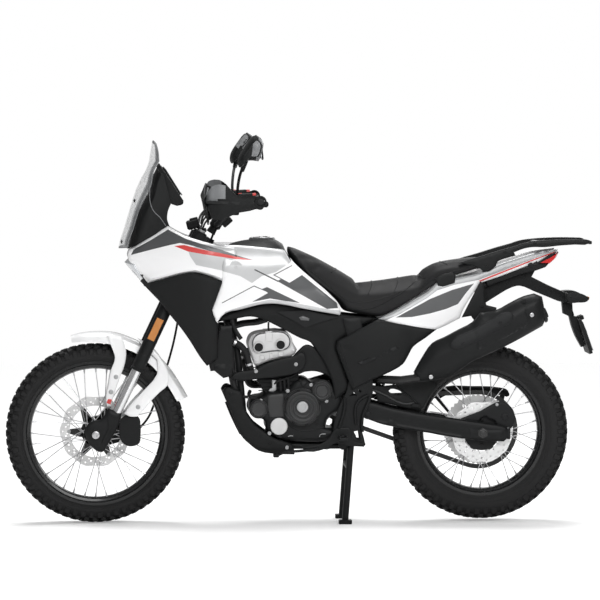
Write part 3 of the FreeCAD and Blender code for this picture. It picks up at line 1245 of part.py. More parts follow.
SEAT_PX = [(286, 246), (300, 253), (320, 266), (340, 279), (350, 285), (356, 288.5), (370, 288),
           (400, 284), (418, 280), (425, 274), (432, 266), (440, 262.5), (460, 259.5), (481, 256),
           (481, 268), (455, 275), (436, 283), (420, 293), (400, 306), (378, 317.6), (341, 311),
           (337, 302), (302, 270), (292, 260)]
SEAT_SIDE_PX = [(310, 270), (318, 274), (330, 281), (344, 289), (352, 293), (358, 295), (372, 295),
                (398, 290), (416, 286), (424, 279), (431, 271), (440, 267), (458, 264), (474, 262),
                (474, 266), (455, 273), (434, 282), (419, 291), (399, 303), (378, 313), (350, 309),
                (340, 302), (322, 288), (314, 278)]
SEAT_STATION_SHARES = [(0.0, 0.0), (0.5, 0.15), (0.85, 0.55), (1.0, 1.0)]
seat_block = loft_across("SeatBlock", SEAT_PX, SEAT_SIDE_PX, "Sizes.seat_half_width", SEAT_STATION_SHARES)
RAIL_ROOM_PX = [(457.5, 250), (490, 250), (490, 280), (457.5, 280)]
rail_room = slab("RailRoom", RAIL_ROOM_PX, "-(Sizes.rack_inner - Sizes.seat_gap)", "-Sizes.seat_half_width")
rail_rooms = group("RailRooms", [rail_room, mirror("RailRoomMirrored", rail_room)])
node("seat", cut("Seat", seat_block, rail_rooms))

TAIL_PX = [(378, 319.4), (400, 308), (428, 291), (437, 284), (455, 279), (480, 273), (500, 264),
           (535, 253), (557, 249), (550, 256), (535, 264), (483, 283), (478, 287), (462, 312),
           (460, 318), (440, 328), (435, 329.5), (400, 325)]
TAIL_EDGE_SHARE = 0.06
TAIL_MIDDLE_PX = (450, 300)
node("tail_fairing", both_sides("TailFairing", loft_out(
    "TailPanel", TAIL_PX, shrunk(TAIL_PX, TAIL_EDGE_SHARE, TAIL_MIDDLE_PX), "-Sizes.tail_inner",
    "-Sizes.tail_width")))
TAIL_LIGHT_PX = [(538, 262), (546, 257), (558, 251), (556, 257), (549, 264.1), (538, 265)]
node("tail_light", wide_slab("TailLight", TAIL_LIGHT_PX, "Sizes.tail_light_half_width"))

RACK_PX = [(458, 263), (480, 256.6), (500, 250), (515, 246), (527, 242), (540, 240), (568, 239),
           (588, 240), (590.3, 242), (588, 244.5), (560, 246), (543, 248), (530, 247.6), (514, 253),
           (515, 256), (507, 258), (499, 262), (496, 265.7), (484, 271.1), (479, 267)]
rack_rail = slab("RackRail", RACK_PX, "-(Sizes.rack_inner + Sizes.rack_rail_width)",
                 "Sizes.rack_rail_width")
RACK_PLATE_PX = [(532, 241.0), (588, 241.0), (588, 243.4), (532, 243.4)]
RACK_MIDDLE_PX = (560.0, 241.0)
rack_plate = wide_slab("RackPlate", RACK_PLATE_PX, "(Sizes.rack_inner + Sizes.overrun)")
rack_solid = fuse("RackSolid", [rack_rail, mirror("RackRailMirrored", rack_rail), rack_plate])
rack_holes = []
for number, (along, side) in enumerate(((-1, -1), (-1, 1), (1, -1), (1, 1))):
    top = spot(RACK_MIDDLE_PX, side * mm("rack_bolt_spacing_y") / 2)
    top += Vector(along * mm("rack_bolt_spacing_x") / 2, 0, mm("overrun"))
    rack_holes.append(round_rod(f"RackHole{number}", top - Vector(0, 0, mm("rack_hole_depth")), top,
                                "Sizes.rack_hole_radius"))
node("rear_rack", cut("RearRack", rack_solid, group("RackHoles", rack_holes)))

# Rear mudguard arm, number plate holder and lamps
UNDERTAIL_PX = [(484, 284), (536, 265.3), (549, 264.3), (549, 266.6), (538, 268), (532, 277), (540, 281),
                (555, 288), (566, 292.5), (570.5, 294.5), (570.5, 302), (562, 302), (534, 291.5),
                (519, 285.5), (510, 287.5), (495, 296), (486, 302), (484, 296)]
undertail = wide_slab("Undertail", UNDERTAIL_PX, "Sizes.plate_arm_half_width")
HOLDER_PX = [(562, 300), (572, 304), (573, 316), (578, 318), (582, 328), (590, 353), (581, 347),
             (571, 328), (566, 315), (562, 310)]
HOLDER_SHARE = 0.7
holder_stem = wide_slab("HolderStem", HOLDER_PX, f"(Sizes.plate_arm_half_width * {HOLDER_SHARE})")
PLATE_PX = [(575, 316), (579, 316), (590.3, 352), (587, 353.6)]
plate_back = wide_slab("PlateBack", PLATE_PX, "Sizes.plate_holder_half_width")
node("rear_mudguard", fuse("RearMudguard", [undertail, holder_stem, plate_back]))


INDICATOR_PX = [(565, 293), (582, 294), (589, 299), (586, 301.5), (566, 302)]
INDICATOR_STALK_PX = (568.0, 297.8)
lamp = slab("IndicatorLamp", INDICATOR_PX, "-Sizes.indicator_reach", "Sizes.indicator_length")
stalk_outer = mm("indicator_reach") - mm("indicator_length") / 2
lamp_stalk = rod("IndicatorStalk", spot(INDICATOR_STALK_PX, -stalk_outer),
                 spot(INDICATOR_STALK_PX, -mm("plate_arm_half_width") - mm("seat_gap")),
                 "Sizes.stalk_radius")
node("rear_indicators", both_sides("RearIndicators", fuse("RearIndicator", [lamp, lamp_stalk])))

# Footpegs and their hangers
PEG_PX = (340.5, 436.0)


def peg(label, centre_px, inner):
    """A footpeg that stands out from its plate."""
    return rod(label, spot(centre_px, -inner), spot(centre_px, -inner - mm("peg_length")),
               "Sizes.peg_radius")


rider_peg = peg("RiderPeg", PEG_PX, plate_outer + mm("seat_gap"))
node("rider_pegs", both_sides("RiderPegs", rider_peg))

# Centre stand, deployed
STAND_FOOT_PX = (343.6, 520.0)
stand_y = mm("stand_half_width")
stand_top = spot(STAND_PX, -stand_y)
floor_z = mm("stand_foot_height")
foot_x = at(STAND_FOOT_PX)[0]
leg_end = Vector(foot_x, -stand_y, floor_z)
stand_leg = rod("StandLeg", stand_top, leg_end, "Sizes.stand_tube_radius")
stand_boss = rod("StandBoss", stand_top - ACROSS * mm("stand_tube_radius"),
                 stand_top + ACROSS * mm("stand_tube_radius"),
                 "Sizes.stand_tube_radius + Sizes.stand_boss_wall")
stand_foot = doc.addObject("Part::Box", "StandFoot")
stand_foot.setExpression("Length", "Sizes.stand_foot_length")
stand_foot.setExpression("Width", "Sizes.stand_foot_length")
stand_foot.setExpression("Height", "Sizes.stand_foot_height + Sizes.stand_tube_radius / 2")
foot_corner_y = -stand_y + mm("stand_tube_radius") - mm("stand_foot_length")
stand_foot.Placement = Placement(Vector(foot_x - mm("stand_foot_length") / 2, foot_corner_y, 0), Rotation())
STAND_BRACE_SHARE = 0.36
stand_middle = stand_top + (leg_end - stand_top) * STAND_BRACE_SHARE
stand_brace = rod("StandBrace", stand_middle, Vector(stand_middle.x, 0, stand_middle.z),
                  "Sizes.stand_tube_radius")
stand_half = [stand_leg, stand_boss, stand_foot, stand_brace]
stand_solid = fuse("StandSolid", stand_half + [mirror(part.Name + "Mirrored", part) for part in stand_half])
stand_bore = round_rod("StandBore", spot(STAND_PX, -plate_outer), spot(STAND_PX, plate_outer),
                       "Sizes.stand_pin_radius")
node("centre_stand", cut("CentreStand", stand_solid, stand_bore))

# Checks and files
doc.recompute()
bad = [thing.Name for thing in doc.Objects if {"Invalid", "Error"} & set(thing.State)]
if bad:
    raise RuntimeError("objects that failed: " + ", ".join(bad))
for piece in NODES:
    if piece.Shape.isNull() or not piece.Shape.isValid():
        raise RuntimeError("no sound shape: " + piece.Label)

os.makedirs("parts", exist_ok=True)
for piece in NODES:
    piece.Shape.exportStep(f"parts/{piece.Label}.step")
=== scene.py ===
import math
import bpy
import bmesh
import numpy as np
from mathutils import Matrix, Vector
from mathutils.bvhtree import BVHTree
from mathutils.geometry import delaunay_2d_cdt


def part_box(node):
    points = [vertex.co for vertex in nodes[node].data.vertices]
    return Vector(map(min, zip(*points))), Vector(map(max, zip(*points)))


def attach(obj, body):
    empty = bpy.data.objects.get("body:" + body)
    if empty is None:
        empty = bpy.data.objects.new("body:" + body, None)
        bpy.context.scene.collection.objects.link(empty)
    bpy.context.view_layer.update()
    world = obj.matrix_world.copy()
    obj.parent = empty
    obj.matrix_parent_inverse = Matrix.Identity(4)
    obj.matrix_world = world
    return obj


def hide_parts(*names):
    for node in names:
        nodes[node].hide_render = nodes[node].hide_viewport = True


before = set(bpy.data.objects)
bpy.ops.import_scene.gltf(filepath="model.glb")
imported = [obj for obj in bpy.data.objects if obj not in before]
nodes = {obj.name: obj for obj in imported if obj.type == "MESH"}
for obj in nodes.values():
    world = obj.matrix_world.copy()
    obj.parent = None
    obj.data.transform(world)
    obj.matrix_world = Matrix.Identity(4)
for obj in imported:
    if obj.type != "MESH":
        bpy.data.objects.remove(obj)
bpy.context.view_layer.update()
scene = bpy.context.scene
scene.view_settings.view_transform = "Standard"

# Photograph and frame


def middle(node):
    """The middle of a node's box."""
    low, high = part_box(node)
    return (low + high) / 2


FRONT, REAR = middle("front_tyre"), middle("rear_tyre")
FRONT_AXLE_PX, REAR_AXLE_PX = 95.5, 480.9
ORIGIN_PX, AXLE_ROW = 298.1, 432.1
PHOTO_SIDE, PHOTO_MIDDLE = 600, 300
PX = (REAR.x - FRONT.x) / (REAR_AXLE_PX - FRONT_AXLE_PX)
AZIMUTH, ELEVATION, DISTANCE = math.radians(-3.0), math.radians(2.8), 16.0
AIM = Vector(((PHOTO_MIDDLE - ORIGIN_PX) * PX, 0, FRONT.z + (AXLE_ROW - PHOTO_MIDDLE) * PX))
LOOK = Vector((-math.sin(AZIMUTH) * math.cos(ELEVATION), math.cos(AZIMUTH) * math.cos(ELEVATION),
               -math.sin(ELEVATION)))
RIGHT = LOOK.cross(Vector((0, 0, 1))).normalized()
UP = RIGHT.cross(LOOK)
EYE = AIM - LOOK * DISTANCE
NEAR, ACROSS = (0, -1, 0), (0, 1, 0)
TURN = 2 * math.pi

eye = bpy.data.cameras.new("photo_camera")
SENSOR_MM = 36
eye.sensor_width = SENSOR_MM
eye.lens = SENSOR_MM * DISTANCE / (PHOTO_SIDE * PX)
eye.clip_end = 60
camera = bpy.data.objects.new("photo_camera", eye)
camera.location = EYE
camera.rotation_euler = LOOK.to_track_quat("-Z", "Y").to_euler()
scene.collection.objects.link(camera)
scene.camera = camera


def spot(px, py, y):
    """The point of the plane y that the photograph shows at a pixel."""
    way = LOOK + RIGHT * ((px - PHOTO_MIDDLE) * PX / DISTANCE) - UP * ((py - PHOTO_MIDDLE) * PX / DISTANCE)
    return EYE + way * ((y - EYE.y) / way.y)


def at(px, py, y=0.0):
    """The point that the CAD model has for a pixel."""
    return Vector(((px - ORIGIN_PX) * PX, y, FRONT.z + (AXLE_ROW - py) * PX))


# Materials

def material(name, colour, rough=0.5, metal=0.0, coat=0.0, grain=400.0, bump=0.15, depth=0.0004, vary=0.08,
             blotch=18.0, cells=False, alpha=1.0, brushed=None, wave=None, spec=0.5):
    """A painted, cast or moulded finish: slow noise tints it and a fine texture roughens it."""
    m = bpy.data.materials.new(name)
    m.use_nodes = True
    tree = m.node_tree
    shader = tree.nodes["Principled BSDF"]
    shader.inputs["Metallic"].default_value = metal
    shader.inputs["Coat Weight"].default_value = coat
    shader.inputs["Coat Roughness"].default_value = 0.08
    shader.inputs["Alpha"].default_value = alpha
    shader.inputs["Specular IOR Level"].default_value = spec
    place = tree.nodes.new("ShaderNodeTexCoord")
    spread = tree.nodes.new("ShaderNodeMapping")
    if brushed:
        spread.inputs["Scale"].default_value = brushed
    tree.links.new(place.outputs["Object"], spread.inputs["Vector"])
    slow = tree.nodes.new("ShaderNodeTexNoise")
    slow.inputs["Scale"].default_value = blotch
    slow.inputs["Detail"].default_value = 5
    tree.links.new(place.outputs["Object"], slow.inputs["Vector"])
    tint = tree.nodes.new("ShaderNodeMix")
    tint.data_type = "RGBA"
    low = [c * (1 - vary) for c in colour]
    high = [min(1.0, c * (1 + vary)) for c in colour]
    tint.inputs["A"].default_value = (*low, 1)
    tint.inputs["B"].default_value = (*high, 1)
    tree.links.new(slow.outputs["Fac"], tint.inputs["Factor"])
    tree.links.new(tint.outputs["Result"], shader.inputs["Base Color"])
    polish = tree.nodes.new("ShaderNodeMapRange")
    polish.inputs["To Min"].default_value = max(0.02, rough - 0.09)
    polish.inputs["To Max"].default_value = min(1.0, rough + 0.09)
    tree.links.new(slow.outputs["Fac"], polish.inputs["Value"])
    tree.links.new(polish.outputs["Result"], shader.inputs["Roughness"])
    fine = tree.nodes.new("ShaderNodeTex" + ("Voronoi" if cells else "Wave" if wave else "Noise"))
    fine.inputs["Scale"].default_value = grain
    if wave:
        fine.wave_type = "BANDS"
        fine.bands_direction = wave
    elif not cells:
        fine.inputs["Detail"].default_value = 3
    out = fine.outputs["Distance" if cells else "Fac"]
    tree.links.new(spread.outputs["Vector"], fine.inputs["Vector"])
    relief = tree.nodes.new("ShaderNodeBump")
    relief.inputs["Strength"].default_value = bump
    relief.inputs["Distance"].default_value = depth
    tree.links.new(out, relief.inputs["Height"])
    tree.links.new(relief.outputs["Normal"], shader.inputs["Normal"])
    return m


WHITE = material("white_paint", (0.88, 0.88, 0.885), 0.25, coat=0.7, grain=900, bump=0.04, vary=0.025, blotch=6)
# Silver: the tank badge's own colour. In the nose and tank decals it is painted shade: the shading of the panels'
# silver-white paint, and the shade along their lower edges.
SILVER_AND_PAINTED_SHADE = material("silver_and_painted_shade", (0.52, 0.525, 0.53), 0.32, metal=0.15, coat=0.5, grain=2500, bump=0.08, vary=0.05)
DEEP_SILVER = material("deep_silver_paint", (0.31, 0.315, 0.32), 0.34, metal=0.15, coat=0.4, grain=2500, bump=0.08,
                       vary=0.05)
GREY = material("dark_grey_paint", (0.07, 0.072, 0.075), 0.35, coat=0.3, grain=1500, bump=0.06)
RED = material("red_stripe", (0.62, 0.05, 0.045), 0.35, coat=0.4, grain=1200, bump=0.05)
PLASTIC = material("black_plastic", (0.0085, 0.009, 0.0092), 0.52, grain=1400, bump=0.35, cells=True, vary=0.12,
                   spec=0.16)
SATIN = material("satin_black", (0.009, 0.0095, 0.0098), 0.42, grain=900, bump=0.12, vary=0.12, spec=0.16)
CAST = material("cast_black", (0.013, 0.0135, 0.014), 0.46, metal=0.35, grain=600, bump=0.4, cells=True, spec=0.2)
# Cast silver: the own colour of bolts and small fittings, and a painted highlight in one small curve on the engine's
# lower case.
CAST_SILVER_AND_HIGHLIGHT = material("cast_silver_and_painted_highlight", (0.4, 0.405, 0.41), 0.42, metal=0.55, grain=700, bump=0.3, cells=True)
HEAD_SILVER = material("head_silver", (0.58, 0.58, 0.58), 0.45, metal=0.3, grain=700, bump=0.3, cells=True)
# A lighter copy of the cast black: painted sheen on the engine covers, and a painted highlight on the rod by the
# inner rear guard.
SHEEN_GREY = material("painted_sheen_grey", (0.04, 0.0405, 0.041), 0.42, metal=0.35, grain=600, bump=0.3, cells=True,
                      spec=0.3)
DISC_STEEL = material("disc_steel", (0.8, 0.8, 0.8), 0.34, metal=0.55, grain=160, bump=0.2, brushed=(1, 14, 1))
STEEL = material("brushed_steel", (0.55, 0.55, 0.56), 0.32, metal=0.9, grain=160, bump=0.2, brushed=(1, 14, 1))
CHROME = material("fork_chrome", (0.72, 0.72, 0.73), 0.16, metal=0.9, grain=700, bump=0.05)
BLACK_RIM = material("rim_black", (0.009, 0.0093, 0.0096), 0.26, coat=0.3, grain=900, bump=0.06, spec=0.3)
RUBBER = material("tyre_rubber", (0.0105, 0.0105, 0.0108), 0.72, grain=500, bump=0.45, vary=0.18, blotch=30, spec=0.3)
GRIP = material("grip_rubber", (0.01, 0.01, 0.0105), 0.68, grain=900, bump=0.4, spec=0.3)
VINYL = material("seat_vinyl", (0.0115, 0.0115, 0.012), 0.6, grain=420, bump=0.5, cells=True, depth=0.0006, spec=0.18)
SMOKE = material("clear_screen", (0.6, 0.61, 0.62), 0.12, alpha=0.2, grain=3, bump=0.004, depth=0.0001, spec=0.2)
EDGE = material("screen_edge", (0.2, 0.205, 0.21), 0.25, alpha=0.72, grain=3, bump=0.004, depth=0.0001, spec=0.3)
LENS = material("lamp_lens", (0.62, 0.64, 0.66), 0.1, metal=0.3, coat=0.8, grain=180, bump=0.5, wave="Z")
RED_LENS = material("red_lens", (0.62, 0.02, 0.02), 0.15, coat=0.8, grain=240, bump=0.4, wave="X")
AMBER = material("amber_reflector", (0.52, 0.2, 0.045), 0.2, coat=0.6, grain=700, bump=0.5, cells=True)
MIRROR = material("mirror_glass", (0.75, 0.76, 0.78), 0.05, metal=1.0, grain=200, bump=0.02)
SCREEN = material("display_glass", (0.012, 0.013, 0.016), 0.12, coat=0.8, grain=300, bump=0.02)
# Light grey: the own colour of parts such as the number plate and the display's knobs, and painted highlight on edges
# and facets of black parts.
LIGHT_GREY_AND_HIGHLIGHT = material("light_grey_and_painted_highlight", (0.16, 0.165, 0.17), 0.4, grain=1200, bump=0.2, cells=True)
DARK_STEEL = material("chain_steel", (0.04, 0.04, 0.04), 0.38, metal=0.6, grain=500, bump=0.15, vary=0.2)
BURNT = material("dark_exhaust", (0.016, 0.016, 0.016), 0.45, metal=0.3, grain=300, bump=0.2, vary=0.25)

# Mesh tools


class Kit:
    """Collects the shapes of one piece. Its first material is the plain one."""

    def __init__(self, *mats):
        self.mats = list(mats)
        self.verts, self.faces, self.index = [], [], []

    def add(self, shape, mat=0):
        """Takes in a shape: mat is a material, or a list of material numbers for its faces."""
        verts, faces = shape[0], shape[1]
        if not isinstance(mat, (int, list)):
            mat = self.numbers([mat])[0]
        base = len(self.verts)
        self.verts += [tuple(v) for v in verts]
        self.faces += [[base + i for i in f] for f in faces]
        self.index += mat if isinstance(mat, list) else [mat] * len(faces)

    def numbers(self, finishes):
        """The number of each finish in this piece, which takes up new ones."""
        for m in finishes:
            if m not in self.mats:
                self.mats.append(m)
        return [self.mats.index(m) for m in finishes]

    def mirrored(self):
        """Doubles the piece to the other side of the machine."""
        base = len(self.verts)
        faces, index = list(self.faces), list(self.index)
        self.verts += [(x, -y, z) for x, y, z in self.verts]
        self.faces += [[base + i for i in reversed(f)] for f in faces]
        self.index += index

    def make(self, name, body, *replaced, slot=None, sharp=38):
        """Makes the object, which rides on its body and stands for the replaced nodes."""
        mesh = bpy.data.meshes.new(name)
        mesh.from_pydata(self.verts, [], self.faces)
        for m in self.mats:
            mesh.materials.append(m)
        mesh.polygons.foreach_set("material_index", self.index)
        bm = bmesh.new()
        bm.from_mesh(mesh)
        bmesh.ops.recalc_face_normals(bm, faces=bm.faces)
        for face in bm.faces:
            face.smooth = True
        bm.to_mesh(mesh)
        bm.free()
        mesh.set_sharp_from_angle(angle=math.radians(sharp))
        thing = bpy.data.objects.new(name, mesh)
        scene.collection.objects.link(thing)
        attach(thing, body)
        if replaced:
            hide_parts(*replaced)
        return thing


def smooth_line(points, corners=(), steps=4, closed=True):
    """A smooth line through the points, with sharp corners at the given numbers."""
    pts = [np.array(p, float) for p in points]
    n = len(pts)
    out = []
    for i in range(n if closed else n - 1):
        p1, p2 = pts[i], pts[(i + 1) % n]
        p0 = pts[i - 1] if (closed or i > 0) else p1
        p3 = pts[(i + 2) % n] if (closed or i + 2 < n) else p2
        span = np.linalg.norm(p2 - p1)

        def slope(a, b, c, at_corner):
            if at_corner:
                return None
            da, dc = max(np.linalg.norm(b - a), 1e-9), max(np.linalg.norm(c - b), 1e-9)
            t = (b - a) / da + (c - b) / dc
            size = np.linalg.norm(t)
            return t / size * span if size > 1e-9 else None

        m1 = slope(p0, p1, p2, i in corners)
        m2 = slope(p1, p2, p3, (i + 1) % n in corners)
        m1 = p2 - p1 if m1 is None else m1
        m2 = p2 - p1 if m2 is None else m2
        count = steps if span > 1e-6 else 1
        for k in range(count):
            t = k / count
            h = (2 * t**3 - 3 * t**2 + 1, t**3 - 2 * t**2 + t, -2 * t**3 + 3 * t**2, t**3 - t**2)
            out.append(h[0] * p1 + h[1] * m1 + h[2] * p2 + h[3] * m2)
    if not closed:
        out.append(pts[-1])
    return out


def inside(points, outline):
    """Which of the points lie inside the closed outline."""
    points, outline = np.asarray(points, float), np.asarray(outline, float)
    x, y = points[:, 0], points[:, 1]
    hit = np.zeros(len(points), bool)
    ax, ay = outline[-1]
    for bx, by in outline:
        if ay != by:
            cross = ((ay > y) != (by > y)) & (x < (bx - ax) * (y - ay) / (by - ay) + ax)
            hit ^= cross
        ax, ay = bx, by
    return hit


def reach(points, outline):
    """Distance of each point from the closed outline."""
    points, outline = np.asarray(points, float), np.asarray(outline, float)
    a, b = outline, np.roll(outline, -1, axis=0)
    ab = b - a
    size = np.maximum((ab**2).sum(1), 1e-12)
    rel = points[:, None, :] - a[None]
    t = np.clip((rel * ab[None]).sum(2) / size[None], 0, 1)
    near = rel - t[..., None] * ab[None]
    return np.sqrt((near**2).sum(2)).min(1)


def dense(outline, gap):
    """The closed outline with further points, about a gap apart."""
    out = []
    n = len(outline)
    for i in range(n):
        a, b = np.array(outline[i], float), np.array(outline[(i + 1) % n], float)
        count = max(1, int(round(np.linalg.norm(b - a) / gap)))
        out += [a + (b - a) * k / count for k in range(count)]
    return out


def fill(outline, gap, lines=(), holes=(), rings=()):
    """Triangles of a closed outline in the plane, with the lines as edges and the holes left open."""
    outline = np.array(outline, float)
    box_low, box_high = outline.min(0), outline.max(0)
    grid = []
    rows = int((box_high[1] - box_low[1]) / (gap * 0.87)) + 1
    for r in range(1, rows):
        y = box_low[1] + r * gap * 0.87
        xs = np.arange(box_low[0] + (r % 2) * gap / 2, box_high[0], gap)
        grid += [(x, y) for x in xs]
    grid = np.array(grid if grid else [outline.mean(0)])
    limit = (rings[-1] if rings else 0) + gap * 0.55
    keep = inside(grid, outline) & (reach(grid, outline) > limit)
    for line in list(lines) + list(holes):
        keep &= reach(grid, line) > gap * 0.35
    verts = [tuple(p) for p in outline]
    edges = [(i, (i + 1) % len(outline)) for i in range(len(outline))]
    for line in list(lines) + list(holes):
        base = len(verts)
        verts += [tuple(p) for p in line]
        edges += [(base + i, base + (i + 1) % len(line)) for i in range(len(line))]
    extra = [tuple(p) for p in grid[keep]]
    if rings:
        ahead = np.roll(outline, -1, axis=0) - np.roll(outline, 1, axis=0)
        turn = np.stack([-ahead[:, 1], ahead[:, 0]], 1)
        turn /= np.maximum(np.linalg.norm(turn, axis=1)[:, None], 1e-9)
        area = (outline[:, 0] * np.roll(outline[:, 1], -1) - np.roll(outline[:, 0], -1) * outline[:, 1]).sum()
        turn *= 1 if area > 0 else -1
        for d in rings:
            ring = outline + turn * d
            good = inside(ring, outline) & (reach(ring, outline) > d * 0.93)
            for line in list(lines) + list(holes):
                good &= reach(ring, line) > gap * 0.2
            extra += [tuple(p) for p in ring[good]]
    points = [Vector(p) for p in verts + extra]
    got = delaunay_2d_cdt(points, edges, [], 0, 1e-5)
    flat = np.array([tuple(v) for v in got[0]])
    faces = [list(f) for f in got[2]]
    centres = np.array([flat[f].mean(0) for f in faces])
    good = inside(centres, outline)
    for hole in holes:
        good &= ~inside(centres, hole)
    return flat, [f for f, g in zip(faces, good) if g]


def extruded(flat, faces, front, back):
    """A closed solid from a filled outline: front and back map a flat point to a place."""
    count = {}
    for f in faces:
        for i in range(len(f)):
            e = (f[i], f[(i + 1) % len(f)])
            count[e] = count.get(e, 0) + 1
    rim = [e for e in count if (e[1], e[0]) not in count]
    used = sorted({i for f in faces for i in f})
    place = {i: k for k, i in enumerate(used)}
    n = len(used)
    verts = [front(*flat[i]) for i in used] + [back(*flat[i]) for i in used]
    out = [[place[i] for i in f] for f in faces]
    out += [[n + place[i] for i in reversed(f)] for f in faces]
    out += [[place[a], n + place[a], n + place[b], place[b]] for a, b in rim]
    return verts, out


def pillow(outline, y_out, y_in, crown=0.008, soft=7.0, gap=3.2, decals=(), shape=None, corners=(), steps=3,
           holes=(), side=-1):
    """A body panel: a photo outline with a rounded rim and a crown: verts, faces and each face's decal."""
    line = dense(smooth_line(outline, corners, steps), gap)
    marks = [dense(smooth_line(d[1], d[2] if len(d) > 2 else range(len(d[1])), 3), gap) for d in decals]
    gaps = [dense(smooth_line(h, (), 4), gap * 0.6) for h in holes]
    flat, faces = fill(line, gap, marks, gaps, (soft * 0.12, soft * 0.35, soft * 0.7))
    edge = reach(flat, line)
    for g in gaps:
        edge = np.minimum(edge, reach(flat, g))
    t = np.clip(edge / soft, 0, 1)
    rise = crown * np.sqrt(np.clip(1 - (1 - t) ** 2, 0, 1))
    level = {tuple(p): y_out - crown + r for p, r in zip(flat, rise)}

    def front(px, py):
        out = level[(px, py)]
        if shape:
            out += shape(px, py)
        return spot(px, py, side * out)

    def back(px, py):
        return spot(px, py, side * y_in)

    verts, out = extruded(flat, faces, front, back)
    centres = np.array([flat[f].mean(0) for f in faces])
    marked = np.zeros(len(faces), int)
    for k, mark in enumerate(marks):
        marked[inside(centres, mark)] = k + 1
    index = list(marked) + [0] * (len(out) - len(faces))
    return verts, out, [int(i) for i in index]


def add_panel(kit, outline, mats, y_out, y_in, decals=(), **more):
    """Adds a panel in its material, with each decal in its own: (material, points, corners)."""
    verts, faces, index = pillow(outline, y_out, y_in, decals=decals, **more)
    numbers = kit.numbers([mats] + [d[0] for d in decals])
    kit.add((verts, faces), [numbers[i] for i in index])


def slab(points, y0, y1, bevel=0.002, corners=None, steps=3, gap=8.0, exact=True, holes=()):
    """A plate between two y planes with a chamfered rim, from photo pixels."""
    corners = range(len(points)) if corners is None else corners
    line = dense(smooth_line(points, corners, steps), gap)
    inset = max(bevel / PX, 0.05)
    flat, faces = fill(line, gap, (), [dense(h, gap) for h in holes], (inset,))
    edge = reach(flat, line)
    rimmed = {tuple(p): e < inset * 0.5 for p, e in zip(flat, edge)}
    where = spot if exact else at
    toward = 1 if y1 > y0 else -1
    sink = lambda px, py: bevel if rimmed[(px, py)] else 0.0
    return extruded(flat, faces, lambda px, py: where(px, py, y0 + toward * sink(px, py)),
                    lambda px, py: where(px, py, y1 - toward * sink(px, py)))


def frame_of(direction):
    """The direction and two directions across it, all of unit length."""
    d = Vector(direction).normalized()
    side = d.cross(Vector(ACROSS) if abs(d.y) < 0.9 else Vector((1, 0, 0))).normalized()
    return d, side, d.cross(side)


def lathe(profile, origin, direction, steps=40):
    """A turned solid: the profile is (along, radius) pairs from end to end."""
    d, u, v = frame_of(direction)
    origin = Vector(origin)
    verts, faces = [], []
    for a, r in profile:
        for k in range(steps):
            t = TURN * k / steps
            verts.append(origin + d * a + (u * math.cos(t) + v * math.sin(t)) * r)
    for i in range(len(profile) - 1):
        for k in range(steps):
            j = (k + 1) % steps
            faces.append([i * steps + k, i * steps + j, (i + 1) * steps + j, (i + 1) * steps + k])
    faces.append([k for k in range(steps)][::-1])
    faces.append([(len(profile) - 1) * steps + k for k in range(steps)])
    return verts, faces


def crossbar(middle_point, end, end_radius, half, radius, steps):
    """A round bar across the machine, chamfered from half to its end on both sides."""
    return lathe([(-end, end_radius), (-half, radius), (half, radius), (end, end_radius)], middle_point, ACROSS,
                 steps)


def turned_ring(profile, origin, direction, steps=96):
    """A closed ring: the profile is a closed loop of (along, radius) pairs."""
    d, u, v = frame_of(direction)
    origin = Vector(origin)
    verts, faces = [], []
    n = len(profile)
    for k in range(steps):
        t = TURN * k / steps
        w = u * math.cos(t) + v * math.sin(t)
        verts += [origin + d * a + w * r for a, r in profile]
    for k in range(steps):
        j = (k + 1) % steps
        for i in range(n):
            m = (i + 1) % n
            faces.append([k * n + i, j * n + i, j * n + m, k * n + m])
    return verts, faces


def tube(points, radius, steps=12, rounds=5, closed=False, flat=1.0):
    """A round or oval tube along a smooth path. The radius may be one number or one for each point."""
    many = isinstance(radius, (list, tuple))
    if rounds > 1:
        path = smooth_line([(*p, (radius[i] if many else radius)) for i, p in enumerate(points)], (), rounds, closed)
    else:
        path = [np.array((*p, (radius[i] if many else radius))) for i, p in enumerate(points)]
    spots = [Vector(p[:3]) for p in path]
    sizes = [p[3] for p in path]
    verts, faces = [], []
    n = len(spots)
    side = None
    for i in range(n):
        a = spots[i - 1] if (closed or i > 0) else spots[0]
        b = spots[(i + 1) % n] if (closed or i + 1 < n) else spots[-1]
        d = (b - a).normalized()
        if side is None:
            side = frame_of(d)[1]
        side = (side - d * side.dot(d)).normalized()
        other = d.cross(side)
        for k in range(steps):
            t = TURN * k / steps
            verts.append(spots[i] + (side * math.cos(t) + other * math.sin(t) * flat) * sizes[i])
    for i in range(n if closed else n - 1):
        for k in range(steps):
            j, m = (k + 1) % steps, (i + 1) % n
            faces.append([i * steps + k, i * steps + j, m * steps + j, m * steps + k])
    if not closed:
        faces.append([k for k in range(steps)][::-1])
        faces.append([(n - 1) * steps + k for k in range(steps)])
    return verts, faces


